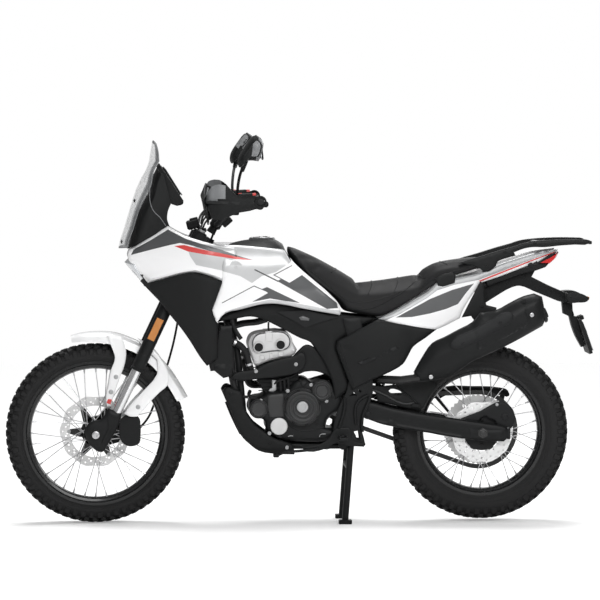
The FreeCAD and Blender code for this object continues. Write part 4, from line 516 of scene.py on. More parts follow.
def block(centre, size, direction=(1, 0, 0), up=(0, 0, 1), bevel=0.15):
    """A block with chamfered edges. Size runs along the direction, across it and up."""
    d = Vector(direction).normalized()
    s = Vector(up).cross(d).normalized()
    u = d.cross(s)
    h = [v / 2 for v in size]
    b = min(h) * bevel
    verts, faces = [], []
    place = {}
    for sx in (-1, 1):
        for sy in (-1, 1):
            for sz in (-1, 1):
                for axis in range(3):
                    c = [sx * (h[0] - b), sy * (h[1] - b), sz * (h[2] - b)]
                    c[axis] = (sx, sy, sz)[axis] * h[axis]
                    place[(sx, sy, sz, axis)] = len(verts)
                    verts.append(Vector(centre) + d * c[0] + s * c[1] + u * c[2])
    for axis in range(3):
        o = [i for i in range(3) if i != axis]
        for sign in (-1, 1):
            loop = []
            for p, q in ((-1, -1), (1, -1), (1, 1), (-1, 1)):
                key = [0, 0, 0]
                key[axis], key[o[0]], key[o[1]] = sign, p, q
                loop.append(place[(*key, axis)])
            faces.append(loop)
    for axis in range(3):
        o = [i for i in range(3) if i != axis]
        for p in (-1, 1):
            for q in (-1, 1):
                key = [0, 0, 0]
                key[o[0]], key[o[1]] = p, q
                loop = []
                for sign, which in ((-1, o[0]), (1, o[0]), (1, o[1]), (-1, o[1])):
                    key[axis] = sign
                    loop.append(place[(*key, which)])
                faces.append(loop)
    for sx in (-1, 1):
        for sy in (-1, 1):
            for sz in (-1, 1):
                faces.append([place[(sx, sy, sz, a)] for a in range(3)])
    return verts, faces


def bolt(kit, place, direction, radius=0.006, height=0.004, mat=None):
    """A hexagon socket bolt head with a washer."""
    d = Vector(direction).normalized()
    low = Vector(place) - d * 0.002
    r, h = radius, height
    kit.add(lathe([(0, r * 1.3), (0.0028, r * 1.3), (0.003, r), (0.002 + h * 0.8, r), (0.002 + h, r * 0.85),
                   (0.002 + h, r * 0.5), (0.002 + h * 0.4, r * 0.45)], low, d, 18), mat if mat else SATIN)


def bolts(kit, pixels, y, radius, height, mat=None):
    """Bolts in the plane y that face the photograph."""
    for px, py in pixels:
        bolt(kit, spot(px, py, y), NEAR, radius, height, mat)


def loft(loops):
    """A closed skin over loops with the same number of points."""
    n = len(loops[0])
    verts = [p for loop in loops for p in loop]
    faces = []
    for i in range(len(loops) - 1):
        for k in range(n):
            j = (k + 1) % n
            faces.append([i * n + k, i * n + j, (i + 1) * n + j, (i + 1) * n + k])
    faces.append([k for k in range(n)][::-1])
    faces.append([(len(loops) - 1) * n + k for k in range(n)])
    return verts, faces


# Stage and light

def area_light(name, place, target, size, power):
    """A rectangular light at a place, turned to the target."""
    lamp = bpy.data.lights.new(name, "AREA")
    lamp.shape = "RECTANGLE"
    lamp.size, lamp.size_y = size
    lamp.energy = power
    thing = bpy.data.objects.new(name, lamp)
    thing.location = place
    thing.rotation_euler = (Vector(target) - Vector(place)).to_track_quat("-Z", "Y").to_euler()
    scene.collection.objects.link(thing)


area_light("key_light", (0.6, -3.8, 2.3), (0, 0, 0.6), (3.0, 1.6), 96)
area_light("top_light", (0.3, 0.2, 4.0), (0, 0, 0.5), (3.6, 1.0), 45)
area_light("back_light", (1.8, 3.6, 2.4), (0, 0, 0.7), (3.0, 1.4), 40)
sun = bpy.data.lights.new("studio_sun", "SUN")
sun.energy = 2.05
sun.angle = math.radians(28)
sun_lamp = bpy.data.objects.new("studio_sun", sun)
sun_lamp.rotation_euler = Vector((0.06, -0.34, -1.3)).to_track_quat("-Z", "Y").to_euler()
scene.collection.objects.link(sun_lamp)

world = bpy.data.worlds.new("studio")
scene.world = world
world.use_nodes = True
sky = world.node_tree
sky.nodes.clear()
soft = sky.nodes.new("ShaderNodeBackground")
soft.inputs["Color"].default_value = (1, 1, 1, 1)
soft.inputs["Strength"].default_value = 0.28
plain = sky.nodes.new("ShaderNodeBackground")
plain.inputs["Color"].default_value = (1, 1, 1, 1)
plain.inputs["Strength"].default_value = 1.0
choose = sky.nodes.new("ShaderNodeMixShader")
ray = sky.nodes.new("ShaderNodeLightPath")
seen = sky.nodes.new("ShaderNodeMath")
seen.operation = "MAXIMUM"
sky.links.new(ray.outputs["Is Camera Ray"], seen.inputs[0])
sky.links.new(ray.outputs["Is Transmission Ray"], seen.inputs[1])
sky.links.new(seen.outputs[0], choose.inputs["Fac"])
sky.links.new(soft.outputs[0], choose.inputs[1])
sky.links.new(plain.outputs[0], choose.inputs[2])
sky.links.new(choose.outputs[0], sky.nodes.new("ShaderNodeOutputWorld").inputs["Surface"])

floor_mesh = bpy.data.meshes.new("floor")
floor_mesh.from_pydata([(-9, -7, 0), (9, -7, 0), (9, 9, 0), (-9, 9, 0)], [], [(0, 1, 2, 3)])
floor = bpy.data.objects.new("floor", floor_mesh)
scene.collection.objects.link(floor)
floor_finish = bpy.data.materials.new("floor_paint")
floor_finish.use_nodes = True
tree = floor_finish.node_tree
shader = tree.nodes["Principled BSDF"]
shader.inputs["Base Color"].default_value = (0.82, 0.82, 0.82, 1)
shader.inputs["Roughness"].default_value = 0.9
shader.inputs["Specular IOR Level"].default_value = 0.0
shader.inputs["Emission Color"].default_value = (1, 1, 1, 1)
ray = tree.nodes.new("ShaderNodeLightPath")
glow = tree.nodes.new("ShaderNodeMath")
glow.operation = "MULTIPLY"
glow.inputs[1].default_value = 0.235
tree.links.new(ray.outputs["Is Camera Ray"], glow.inputs[0])
tree.links.new(glow.outputs[0], shader.inputs["Emission Strength"])
floor_mesh.materials.append(floor_finish)

# Wheels


def tyre(name, node, centre, width, outer, bead, body, lugs):
    """A hollow tyre with its tread lugs."""
    half = width / 2
    base = [(0.0, -0.0095), (0.3, -0.0105), (0.56, -0.0145), (0.78, -0.0215), (0.9, -0.03), (0.955, -0.041)]
    side = [(0.95, 0.62), (0.9, 0.4), (0.8, 0.16), (0.74, 0.0)]
    deep = outer - 0.041
    half_line = [(half * s, outer + d) for s, d in base]
    half_line += [(half * s, bead + (deep - bead) * t) for s, t in side]
    inner = [(half * 0.6, bead - 0.004), (half * 0.45, bead + 0.004)]
    profile = [(-y, r) for y, r in reversed(half_line)] + half_line[1:] + inner
    profile += [(-y, r) for y, r in reversed(inner)]
    kit = Kit(RUBBER)
    kit.add(turned_ring([(-y, r) for y, r in profile], centre, ACROSS, 128))
    crown = np.array(half_line[:6])
    length = np.concatenate([[0], np.cumsum(np.linalg.norm(np.diff(crown, axis=0), axis=1))])

    def skin(s, height):
        """The point across the tread at share s from -1 to 1 of its half arc, raised by the height."""
        here = abs(s) * length[-1]
        y, r = np.interp(here, length, crown[:, 0]), np.interp(here, length, crown[:, 1])
        ya, ra = np.interp(here + 0.002, length, crown[:, 0]), np.interp(here + 0.002, length, crown[:, 1])
        if here + 0.002 > length[-1]:
            yb, rb = np.interp(here - 0.002, length, crown[:, 0]), np.interp(here - 0.002, length, crown[:, 1])
            ya, ra = 2 * y - yb, 2 * r - rb
        t = np.array([ya - y, ra - r])
        t = t / max(np.linalg.norm(t), 1e-9)
        y, r = y - t[1] * height, r + t[0] * height
        sign = 1 if s >= 0 else -1
        return sign * min(y, half), min(r, outer)

    def lug(s0, s1, angle, span, height, lean=0.0):
        loops = []
        for lift, pinch in ((-0.002, 1.0), (height * 0.8, 0.9), (height, 0.82)):
            loop = []
            for side_end in (0, 1):
                order = (0, 1) if side_end == 0 else (1, 0)
                for k in order:
                    s = (s0, s1)[side_end]
                    mid = (s0 + s1) / 2
                    s = mid + (s - mid) * pinch
                    a = angle + (k - 0.5) * span * pinch + lean * (s - s0)
                    y, r = skin(s, lift)
                    loop.append(Vector(centre) + Vector((r * math.cos(a), y, r * math.sin(a))))
            loops.append(loop)
        return loft(loops)

    for k in range(lugs):
        a = TURN * k / lugs
        step = TURN / lugs
        for sign in (-1, 1):
            kit.add(lug(0.05 * sign, 0.3 * sign, a + step * 0.1 * sign, step * 0.6, 0.0092, 0.05 * sign))
            kit.add(lug(0.38 * sign, 0.62 * sign, a + step * 0.5, step * 0.62, 0.0095, -0.05 * sign))
            kit.add(lug(0.7 * sign, 1.02 * sign, a, step * (0.66 if k % 2 else 0.52), 0.0085))
    for sign in (-1, 1):
        for share in (0.25, 0.52):
            y = sign * half * np.interp(share, [0, 0.16, 0.4, 0.62], [0.74, 0.8, 0.9, 0.95])
            r = bead + (deep - bead) * share
            kit.add(turned_ring([(y - 0.0012, r - 0.0012), (y + 0.0012, r - 0.0012), (y + 0.0012, r + 0.0012),
                                 (y - 0.0012, r + 0.0012)], centre, ACROSS, 128))
    kit.make(name, body, node, slot="tyre_rubber", sharp=30)


tyre("front_tyre_tread", "front_tyre", FRONT, 0.1, 0.326, 0.2615, "front_wheel", 62)
tyre("rear_tyre_tread", "rear_tyre", REAR, 0.112, 0.32, 0.232, "rear_wheel", 58)


def rim(name, node, centre, half, inner, outer, body):
    """A hollow rim for the tyre's beads."""
    kit = Kit(BLACK_RIM)
    loop = [(-half, outer), (-half, outer - 0.01), (-half + 0.004, outer - 0.0135), (-half * 0.72, outer - 0.0145),
            (-half * 0.66, inner + 0.006), (-half * 0.45, inner + 0.001), (0, inner - 0.001)]
    loop += [(-a, r) for a, r in reversed(loop[:-1])]
    loop += [(half - 0.003, outer + 0.002), (half * 0.75, outer - 0.003), (half * 0.5, inner + 0.011),
             (-half * 0.5, inner + 0.011), (-half * 0.75, outer - 0.003), (-half + 0.003, outer + 0.002)]
    kit.add(turned_ring(loop, centre, ACROSS, 128))
    kit.make(name, body, node, slot="rim_black", sharp=28)


rim("front_rim_profile", "front_rim", FRONT, 0.037, 0.2336, 0.262, "front_wheel")
rim("rear_rim_profile", "rear_rim", REAR, 0.042, 0.2078, 0.233, "rear_wheel")


def wheel_spokes(name, node, centre, flange, flange_y, rim_radius, rim_y, body, count=36):
    """Crossed wire spokes from the hub's flanges to the rim, with their nipples."""
    kit = Kit(STEEL)
    for k in range(count):
        side = 1 if k % 2 else -1
        lead = 1 if (k // 2) % 2 else -1
        a = TURN * k / count
        b = a + lead * math.radians(46)
        hub_end = Vector(centre) + Vector((flange * math.cos(b), side * flange_y, flange * math.sin(b)))
        rim_end = Vector(centre) + Vector((rim_radius * math.cos(a), side * rim_y, rim_radius * math.sin(a)))
        way = (rim_end - hub_end).normalized()
        bend = hub_end + Vector((0, side * -0.006, 0))
        kit.add(tube([bend, hub_end, hub_end + way * 0.006, rim_end], 0.0016, 8, 1))
        kit.add(tube([rim_end - way * 0.016, rim_end - way * 0.004, rim_end + way * 0.003], [0.0022, 0.0034, 0.0036],
                     8, 1))
        kit.add(lathe([(0, 0.0032), (0.002, 0.0032), (0.003, 0.002)], hub_end, (0, side, 0), 8))
    kit.make(name, body, node, slot="steel")


wheel_spokes("front_spoke_set", "front_spokes", FRONT, 0.036, 0.033, 0.2345, 0.01, "front_wheel")
wheel_spokes("rear_spoke_set", "rear_spokes", REAR, 0.05, 0.036, 0.2085, 0.012, "rear_wheel")


def circle(cx, cy, r, n=24, wave=0.0, waves=8):
    """Points of a circle, with waves on it where asked."""
    return [(cx + (r + wave * math.cos(waves * t)) * math.cos(t), cy + (r + wave * math.cos(waves * t)) * math.sin(t))
            for t in (TURN * k / n for k in range(n))]


def plate(outline, holes, centre, y0, y1, gap=0.02):
    """A flat plate in the X-Z plane about a centre, between two y values."""
    flat, faces = fill(outline, gap, (), holes)
    c = Vector(centre)
    return extruded(flat, faces, lambda x, z: Vector((c.x + x, y0, c.z + z)),
                    lambda x, z: Vector((c.x + x, y1, c.z + z)))


def wave_disc(kit, centre, radius, inner, y, thick, holes, mat):
    """A brake disc with a wavy rim and its drilled holes."""
    cuts = []
    for k in range(holes):
        t = TURN * k / holes
        for r, size, turn in ((radius * 0.93, 0.0032, 0), (radius * 0.85, 0.0036, 0.5), (inner * 1.09, 0.0028, 0.25)):
            b = t + turn * TURN / holes
            cuts.append(circle(r * math.cos(b), r * math.sin(b), size, 10))
    kit.add(plate(circle(0, 0, radius, 144, radius * 0.022, 10), [circle(0, 0, inner, 48)] + cuts, centre, y,
                  y + thick), mat)


def carrier_arm(kit, centre, start, arm, y0, y1):
    """One arm of a disc's carrier: (radius, angle) corners about the start angle."""
    corners = [(r * math.cos(start + t), r * math.sin(start + t)) for r, t in arm]
    kit.add(plate(corners, [], centre, y0, y1), BLACK_RIM)


kit = Kit(STEEL)
wave_disc(kit, FRONT, 0.128, 0.094, 0.0545, 0.004, 20, DISC_STEEL)
FRONT_ARM = [(0.05, -0.3), (0.06, -0.22), (0.092, -0.1), (0.099, -0.05), (0.099, 0.05), (0.092, 0.1), (0.06, 0.34),
             (0.05, 0.42)]
REAR_ARM = [(0.045, -0.3), (0.074, -0.12), (0.08, -0.06), (0.08, 0.06), (0.074, 0.12), (0.045, 0.3)]
for k in range(6):
    a0 = TURN * k / 6
    carrier_arm(kit, FRONT, a0, FRONT_ARM, 0.0548, 0.0582)
    kit.add(lathe([(0, 0.0065), (0.0055, 0.0065), (0.0055, 0.003), (0.004, 0.003)],
                  FRONT + Vector((0.0965 * math.cos(a0), 0.054, 0.0965 * math.sin(a0))), ACROSS, 16), CAST_SILVER_AND_HIGHLIGHT)
kit.add(turned_ring([(0.0548, 0.04), (0.0548, 0.053), (0.0584, 0.053), (0.0584, 0.04)], (FRONT.x, 0, FRONT.z), ACROSS,
                    48), BLACK_RIM)
kit.make("front_wave_disc", "front_wheel", "front_disc", slot="steel")

kit = Kit(STEEL)
wave_disc(kit, REAR, 0.11, 0.07, -0.0645, 0.005, 18, DISC_STEEL)
for k in range(6):
    carrier_arm(kit, REAR, TURN * k / 6, REAR_ARM, -0.064, -0.0602)
kit.add(turned_ring([(-0.0642, 0.04), (-0.0642, 0.052), (-0.06, 0.052), (-0.06, 0.04)], (REAR.x, 0, REAR.z), ACROSS,
                    48), BLACK_RIM)
kit.add(turned_ring([(-0.0652, 0.018), (-0.0652, 0.06), (-0.0646, 0.066), (-0.0604, 0.066), (-0.0604, 0.018)],
                    (REAR.x, 0, REAR.z), ACROSS, 72), CAST)
for k in range(6):
    t = TURN * (k + 0.5) / 6
    bolt(kit, Vector((REAR.x + math.cos(t) * 0.044, -0.065, REAR.z + math.sin(t) * 0.044)), NEAR, 0.0055, 0.003,
         SATIN)
kit.make("rear_wave_disc", "rear_wheel", "rear_disc", slot="steel")


def hub(name, node, centre, half, core, flange, flange_y, body):
    """A wheel hub with its flanges."""
    kit = Kit(CAST)
    loop = [(-half, 0.011), (-half, core * 1.35), (-half + 0.006, core * 1.5), (-flange_y - 0.004, core * 1.4),
            (-flange_y - 0.004, flange), (-flange_y + 0.002, flange), (-flange_y + 0.006, core * 1.15), (0, core)]
    loop = loop + [(-a, r) for a, r in reversed(loop[:-1])]
    loop += [(half * 0.9, 0.0105), (-half * 0.9, 0.0105)]
    kit.add(turned_ring(loop, centre, ACROSS, 56))
    kit.make(name, body, node, slot="engine_black")


hub("front_hub_body", "front_hub", FRONT, 0.0535, 0.022, 0.042, 0.036, "front_wheel")
hub("rear_hub_body", "rear_hub", REAR, 0.059, 0.03, 0.056, 0.04, "rear_wheel")

# Rear sprocket
kit = Kit(STEEL)
teeth = 42
line = []
for k in range(teeth):
    for share, r in ((0.0, 0.1225), (0.18, 0.124), (0.4, 0.128), (0.6, 0.128), (0.82, 0.124)):
        t = TURN * (k + share) / teeth
        line.append((r * math.cos(t), r * math.sin(t)))
cuts = [circle(0, 0, 0.047, 32)]
for k in range(6):
    t = TURN * k / 6
    cuts.append(circle(0.1 * math.cos(t), 0.1 * math.sin(t), 0.0085, 14))
    a = t + math.pi / 6
    cuts.append([(r * math.cos(b), r * math.sin(b)) for r, b in ((0.064, a - 0.3), (0.088, a - 0.33), (0.091, a),
                                                                 (0.088, a + 0.33), (0.064, a + 0.3))])
kit.add(plate(line, cuts, REAR, 0.067, 0.073), DISC_STEEL)
kit.make("rear_sprocket_teeth", "rear_wheel", "rear_sprocket", slot="steel")

# Body panels
NOSE_WHITE = [(129, 250), (140, 242.8), (152, 235.5), (168, 226), (176, 231), (186, 236), (200, 240.5), (212, 243.8),
              (222, 246), (236, 247.5), (240, 262), (238, 281), (222, 281), (210, 276.5), (195, 272.5), (180, 274.5),
              (165, 278.5), (148, 283), (143, 277), (135.5, 268.5), (128.5, 260), (127.5, 256)]
kit = Kit(WHITE)
# The first silver field is partly the silver-white paint of the tank panel and partly painted shade: that paint's
# shading is painted in as a darker field. The second silver field is painted shade along the lower edge, where the
# panel turns under.
nose_graphics_and_shade = [(SILVER_AND_PAINTED_SHADE, [(188, 250), (190, 256), (196, 265), (210, 268), (224, 271), (241, 277), (243, 246),
                         (200, 244)]), (SILVER_AND_PAINTED_SHADE, [(143, 285), (150, 281.5), (165, 276.8), (180, 272.6), (195, 270),
                                                 (210, 274), (224, 279), (240, 283), (240, 287), (195, 280),
                                                 (150, 290)]), (GREY,
                                                                [(131, 255), (133.5, 249.5), (150, 240.5),
                                                                 (168, 229.5), (185, 238.5), (200, 243.5), (222, 250),
                                                                 (239, 256), (239, 258.5), (215, 252.5), (190, 245),
                                                                 (180, 243), (170, 245), (150, 250)]),
               (RED, [(174, 246), (184, 245), (200, 249), (220, 253), (240, 257.5), (240, 260), (235, 259),
                      (205, 254.5), (188, 251.5)]), ]


def nose_shape(px, py):
    """Relief of the nose's side panel at a pixel."""
    front = max(0.0, min(1.0, (212 - px) / 84))
    top = max(0.0, min(1.0, (262 - py) / 30))
    return -0.07 * front ** 1.6 - 0.045 * top ** 1.5 * (0.25 + 0.75 * front)


add_panel(kit, NOSE_WHITE, WHITE, 0.168, 0.045, nose_graphics_and_shade, crown=0.01, soft=6, shape=nose_shape,
          corners=(0, 3, 9, 11, 17, 20), gap=3.0)
kit.mirrored()
kit.make("nose_panels", "chassis", "nose_fairing", slot="white_panel", sharp=40)

SHROUD = [(148, 283), (165, 278.5), (180, 274.5), (193, 273), (208, 276.5), (222, 281), (222, 284), (217, 297),
          (212, 310), (216, 321), (218, 323), (218, 358), (215, 360), (207, 366), (200, 357), (190, 341), (180, 327),
          (170, 315), (160, 302), (150, 291.5), (140, 281), (143, 278)]


def shroud_shape(px, py):
    """Relief of the shroud at a pixel."""
    front = max(0.0, min(1.0, (205 - px) / 75))
    crease = max(0.0, (px - (212 - (py - 283) * 0.1)) / 14)
    low = max(0.0, (py - 300) / 66)
    return -0.055 * front ** 1.3 - 0.01 * min(1.0, crease) - 0.012 * low


kit = Kit(PLASTIC)
add_panel(kit, SHROUD, PLASTIC, 0.176, 0.138, crown=0.007, soft=5, shape=shroud_shape,
          corners=(0, 5, 6, 8, 10, 11, 13, 20, 21), gap=3.4)
kit.mirrored()
kit.make("shroud_panels", "chassis", "shrouds", slot="black_plastic", sharp=40)

TANK = [(218, 245), (236, 245), (260, 247), (283, 249.5), (285, 251), (290, 260), (300, 269), (318, 285), (335, 300),
        (339, 306), (341, 312), (340, 315), (322, 312), (300, 308), (286, 305), (272, 303.5), (260, 304.5),
        (250, 307), (238, 310), (230, 311.5), (223, 315), (217, 322), (214, 316), (212, 310), (217, 297), (222, 283),
        (221, 262)]
# The first silver field is partly the panel's silver-white paint and partly painted shade: that paint's shading is
# painted in as a darker field at the top. The second silver field is painted shade along the lower edge, where the
# panel turns under.
tank_graphics_and_shade = [
    (SILVER_AND_PAINTED_SHADE, [(215, 243), (240, 243), (283, 247), (287, 252), (291, 262), (276, 272), (262, 276), (252, 283),
              (240, 276), (222, 271), (214, 268)]),
    (SILVER_AND_PAINTED_SHADE, [(222, 319), (225, 312), (238, 307.5), (250, 304), (270, 299.5), (285, 301), (300, 304), (327, 309),
              (344, 311), (344, 318), (300, 312), (272, 308), (240, 314)]),
    (GREY, [(277, 281), (281, 279), (289, 283), (302, 275), (337, 303), (338, 308), (327, 309), (300, 294)]),
    (GREY, [(252, 302), (268, 293), (262, 289), (267, 287), (290, 298), (300, 303), (285, 301), (270, 298.5)]),
    (GREY, [(222, 303.5), (254, 286.5), (268, 292.5), (268, 291.6), (254, 285.5), (222, 302.5)]),
    (GREY, [(254, 270), (278, 282), (279, 281), (255, 269)]),
    (GREY, [(292, 265), (273, 275), (289, 283.5), (289, 282.5), (275, 275), (292, 266)]),
    (GREY, [(215, 246), (222, 249.5), (240, 256.3), (253, 260), (240, 258.5), (215, 251.5)]),
    (RED, [(215, 251.8), (232, 255.5), (252, 260), (235, 259.2), (215, 255)]),
]


def tank_shape(px, py):
    """Relief of the tank's side panel at a pixel."""
    front = max(0.0, min(1.0, (232 - px) / 20))
    back = max(0.0, (px - 270) / 70)
    top = max(0.0, min(1.0, (268 - py) / 24))
    knee = max(0.0, 1 - abs((px - 300) / 34)) * max(0.0, 1 - abs((py - 288) / 24))
    return 0.002 * front - 0.038 * back ** 1.4 - 0.024 * top ** 1.6 - 0.01 * knee


kit = Kit(WHITE)
add_panel(kit, TANK, WHITE, 0.172, 0.1245, tank_graphics_and_shade, crown=0.009, soft=5.5, shape=tank_shape,
          corners=(0, 3, 4, 10, 11, 21, 23, 25), gap=3.0)
kit.add(lathe([(0, 0.0235), (0.0025, 0.0235), (0.0035, 0.021), (0.0028, 0.0185), (0.0028, 0.0075), (0.0038, 0.0065),
               (0.0038, 0.002)], spot(236, 267, -0.1685), NEAR, 40), SILVER_AND_PAINTED_SHADE)
kit.mirrored()
kit.make("tank_panels", "chassis", "tank_side_panels", slot="white_panel", sharp=40)

COVER = [(217, 322), (223, 316), (236, 311), (250, 307), (261, 304.3), (272, 303.5), (286, 305), (306, 308.5),
         (340, 314), (378, 318), (372, 320), (350, 333), (337, 341), (336, 348), (344, 370), (350, 388), (340, 396),
         (335, 400), (330, 375), (318, 352), (310, 342), (300, 338), (281, 328), (262, 319), (250, 316.5), (235, 319)]


def cover_shape(px, py):
    """Relief of the frame cover at a pixel."""
    deep = max(0.0, min(1.0, (py - (316 + (px - 272) * 0.28)) / 5)) if 268 < px < 336 else 0.0
    return -0.006 * deep * max(0.0, min(1.0, (330 - px) / 10))


kit = Kit(PLASTIC)
add_panel(kit, COVER, PLASTIC, 0.1115, 0.0905, crown=0.006, soft=3.6, shape=cover_shape,
          corners=(0, 9, 12, 13, 15, 17), gap=3.0)
kit.add(slab([(276, 311.5), (306, 309.8), (338, 317.5), (305, 327.5)], -0.1188, -0.108, 0.0016), CAST)
kit.add(slab([(299, 317.4), (303, 315.8), (309.5, 318.4), (309, 320.6), (301, 320.2)], -0.1204, -0.117, 0.001), GREY)
kit.mirrored()
kit.make("frame_cover_panels", "chassis", "frame_covers", slot="black_plastic", sharp=40)

SIDE = [(378, 319.5), (400, 324), (437, 329), (426, 337.5), (413, 347), (408, 356), (403, 364), (390, 372),
        (372, 380), (352, 390), (344, 369), (336, 348), (337, 341)]


def side_shape(px, py):
    """Relief of the side cover at a pixel."""
    line = abs((px - 337) * 0.36 - (py - 345)) if px < 352 else 9
    swell = max(0.0, 1 - ((px - 378) / 34) ** 2) * max(0.0, 1 - ((py - 350) / 30) ** 2)
    return 0.01 * swell - 0.01 * max(0.0, (px - 400) / 37) - (0.002 if line < 1.2 else 0.0)


kit = Kit(PLASTIC)
add_panel(kit, SIDE, PLASTIC, 0.1375, 0.1245, crown=0.007, soft=4, shape=side_shape, corners=(0, 2, 9, 11, 12),
          gap=3.0)
kit.add(slab([(338, 343.5), (339.5, 343), (354, 385.5), (353, 386.5)], -0.14, -0.13, 0.0008), SATIN)
kit.add(slab([(379, 341.5), (382.5, 342), (383.5, 346), (380, 346)], -0.1415, -0.139, 0.0008), SATIN)
kit.add(slab([(357, 363), (396, 346.2), (399.5, 348.6), (363, 365.4)], -0.1478, -0.134, 0.002), CAST)
kit.mirrored()
kit.make("side_cover_panels", "chassis", "side_covers", slot="black_plastic", sharp=40)

TAIL = [(378, 319), (400, 308), (414, 299.5), (428, 291), (436, 283), (455, 278), (480, 272), (500, 263.5),
        (518, 257.5), (535, 252.5), (558, 249), (556, 254), (548, 258), (535, 264), (515, 271), (498, 277),
        (483, 282), (478, 287), (470, 298), (462, 312), (460, 318), (440, 328), (435, 329.5), (415, 327.5),
        (400, 325)]
tail_decals = [(DEEP_SILVER, [(376, 318), (400, 306), (428, 289), (436, 281), (480, 270), (500, 261), (535, 250),
                              (560, 247), (558, 250.6), (535, 258.2), (518, 264.8), (500, 271.8), (479, 279.8),
                              (455, 284.6), (437, 290.5), (428, 297.4), (400, 314), (380, 323)]),
               (GREY, [(396, 317.5), (430, 299), (452, 290), (474, 283.5), (466, 293), (458, 304), (446, 309),
                       (430, 313.5), (412, 317)]), (RED, [(479, 280.6), (500, 272.2), (518, 265.2), (535, 258.6),
                                                          (555, 251.4), (555, 252.6), (535, 259.9), (518, 266.8),
                                                          (500, 274.0), (480, 281.8)]), ]


def tail_shape(px, py):
    """Relief of the tail fairing at a pixel."""
    return -0.048 * max(0.0, min(1.2, (px - 445) / 110)) ** 1.1 - 0.012 * max(0.0, (320 - py) / 60)


kit = Kit(WHITE)
add_panel(kit, TAIL, WHITE, 0.1325, 0.062, tail_decals, crown=0.008, soft=5, shape=tail_shape,
          corners=(0, 4, 10, 11, 16, 20, 22), gap=3.0)
kit.mirrored()
kit.make("tail_panels", "chassis", "tail_fairing", slot="white_panel", sharp=40)

def across(mid, side, half, stations, corners=(), steps=3, centre=0.0, ref=0.0):
    """A closed form over side view outlines that change from the middle one to the side one."""
    first, last = smooth_line(mid, corners, steps), smooth_line(side, corners, steps)
    loops = []
    for place, change in [(-a, b) for a, b in reversed(stations) if a > 0] + list(stations):
        loop = []
        for a, b in zip(first, last):
            p = spot(*(a + (b - a) * change), ref)
            loop.append(Vector((p.x, centre + half * place, p.z)))
        loops.append(loop)
    return loft(loops)


SOFT = [(0, 0), (0.25, 0.02), (0.5, 0.1), (0.7, 0.25), (0.85, 0.48), (0.95, 0.75), (1.0, 1.0)]
FIRM = [(0, 0), (0.7, 0.02), (0.88, 0.12), (0.96, 0.4), (1.0, 1.0)]


def drawn_in(points, share, centre=None):
    """An outline drawn in towards its centre by a share."""
    c = centre or (sum(p[0] for p in points) / len(points), sum(p[1] for p in points) / len(points))
    return [(x + (c[0] - x) * share, y + (c[1] - y) * share) for x, y in points]


def sheet(rows, offset):
    """A closed sheet from a grid of points and the same grid moved by the offset."""
    n, m = len(rows), len(rows[0])
    move = offset if callable(offset) else (lambda i, j: Vector(offset))
    verts = [p for row in rows for p in row]
    verts += [p + move(i, j) for i, row in enumerate(rows) for j, p in enumerate(row)]
    faces = []
    half = n * m
    for i in range(n - 1):
        for j in range(m - 1):
            a = i * m + j
            faces.append([a, a + 1, a + m + 1, a + m])
            faces.append([half + a, half + a + m, half + a + m + 1, half + a + 1])
    for i in range(n - 1):
        for j in (0, m - 1):
            a = i * m + j
            faces.append([a, a + m, half + a + m, half + a])
    for j in range(m - 1):
        for i in (0, n - 1):
            a = i * m + j
            faces.append([a, a + 1, half + a + 1, half + a])
    return verts, faces


def add_painted(kit, shape, rule):
    """Adds a shape with a material for each face, chosen by the rule from its centre and normal."""
    verts, faces = shape
    finishes = []
    for f in faces:
        p = [Vector(verts[i]) for i in f]
        centre = sum(p, Vector()) / len(p)
        normal = (p[1] - p[0]).cross(p[2] - p[1])
        finishes.append(rule(centre, normal.normalized() if normal.length > 1e-12 else Vector((0, 0, 1))))
    kit.add(shape, kit.numbers(finishes))


def pixel(place):
    """The CAD pixel of a place in the side view."""
    return place.x / PX + ORIGIN_PX, AXLE_ROW - (place.z - FRONT.z) / PX


# Windscreen, cowl, instruments and lamp
SCREEN_FRONT = [(118.5, 248), (119.5, 242), (124, 228), (129, 211), (136, 189), (141, 178), (146, 169), (149, 160),
                (150.5, 150), (152.5, 140.5)]
SCREEN_EDGE = [(127, 248), (128.5, 241), (133, 228), (138.5, 210), (145, 197), (150, 187), (153, 172), (158.5, 161.5),
               (157.5, 151), (155.5, 143.5)]
SCREEN_HALF = [0.112, 0.116, 0.121, 0.122, 0.114, 0.104, 0.092, 0.078, 0.06, 0.034]
front_line = smooth_line(SCREEN_FRONT, (), 4, False)
edge_line = smooth_line([(a, b, c) for (a, b), c in zip(SCREEN_EDGE, SCREEN_HALF)], (7,), 4, False)
rows = []
for f, e in zip(front_line, edge_line):
    low, high = spot(*f, 0.0), spot(e[0], e[1], -e[2])
    row = []
    for j in range(-12, 13):
        t = j / 12
        row.append(Vector((low.x + (high.x - low.x) * t * t, e[2] * t, low.z + (high.z - low.z) * t * t)))
    rows.append(row)
screen_shape = sheet(rows, (0.0035, 0, 0.001))
count, columns = len(rows), 25
kit = Kit(SMOKE, EDGE)
cells = []
for i in range(count - 1):
    for j in range(columns - 1):
        cells += [1 if (j in (0, 1, 22, 23) or i in (0, count - 2)) else 0] * 2
cells += [1] * (len(screen_shape[1]) - len(cells))
kit.add(screen_shape, cells)
for i in (4, 14):
    for j in (6, 18):
        bolt(kit, rows[i][j], (-1, 0, 0.3), 0.0045, 0.003)
kit.make("screen_sheet", "chassis", "windscreen", slot="clear_screen", sharp=30)

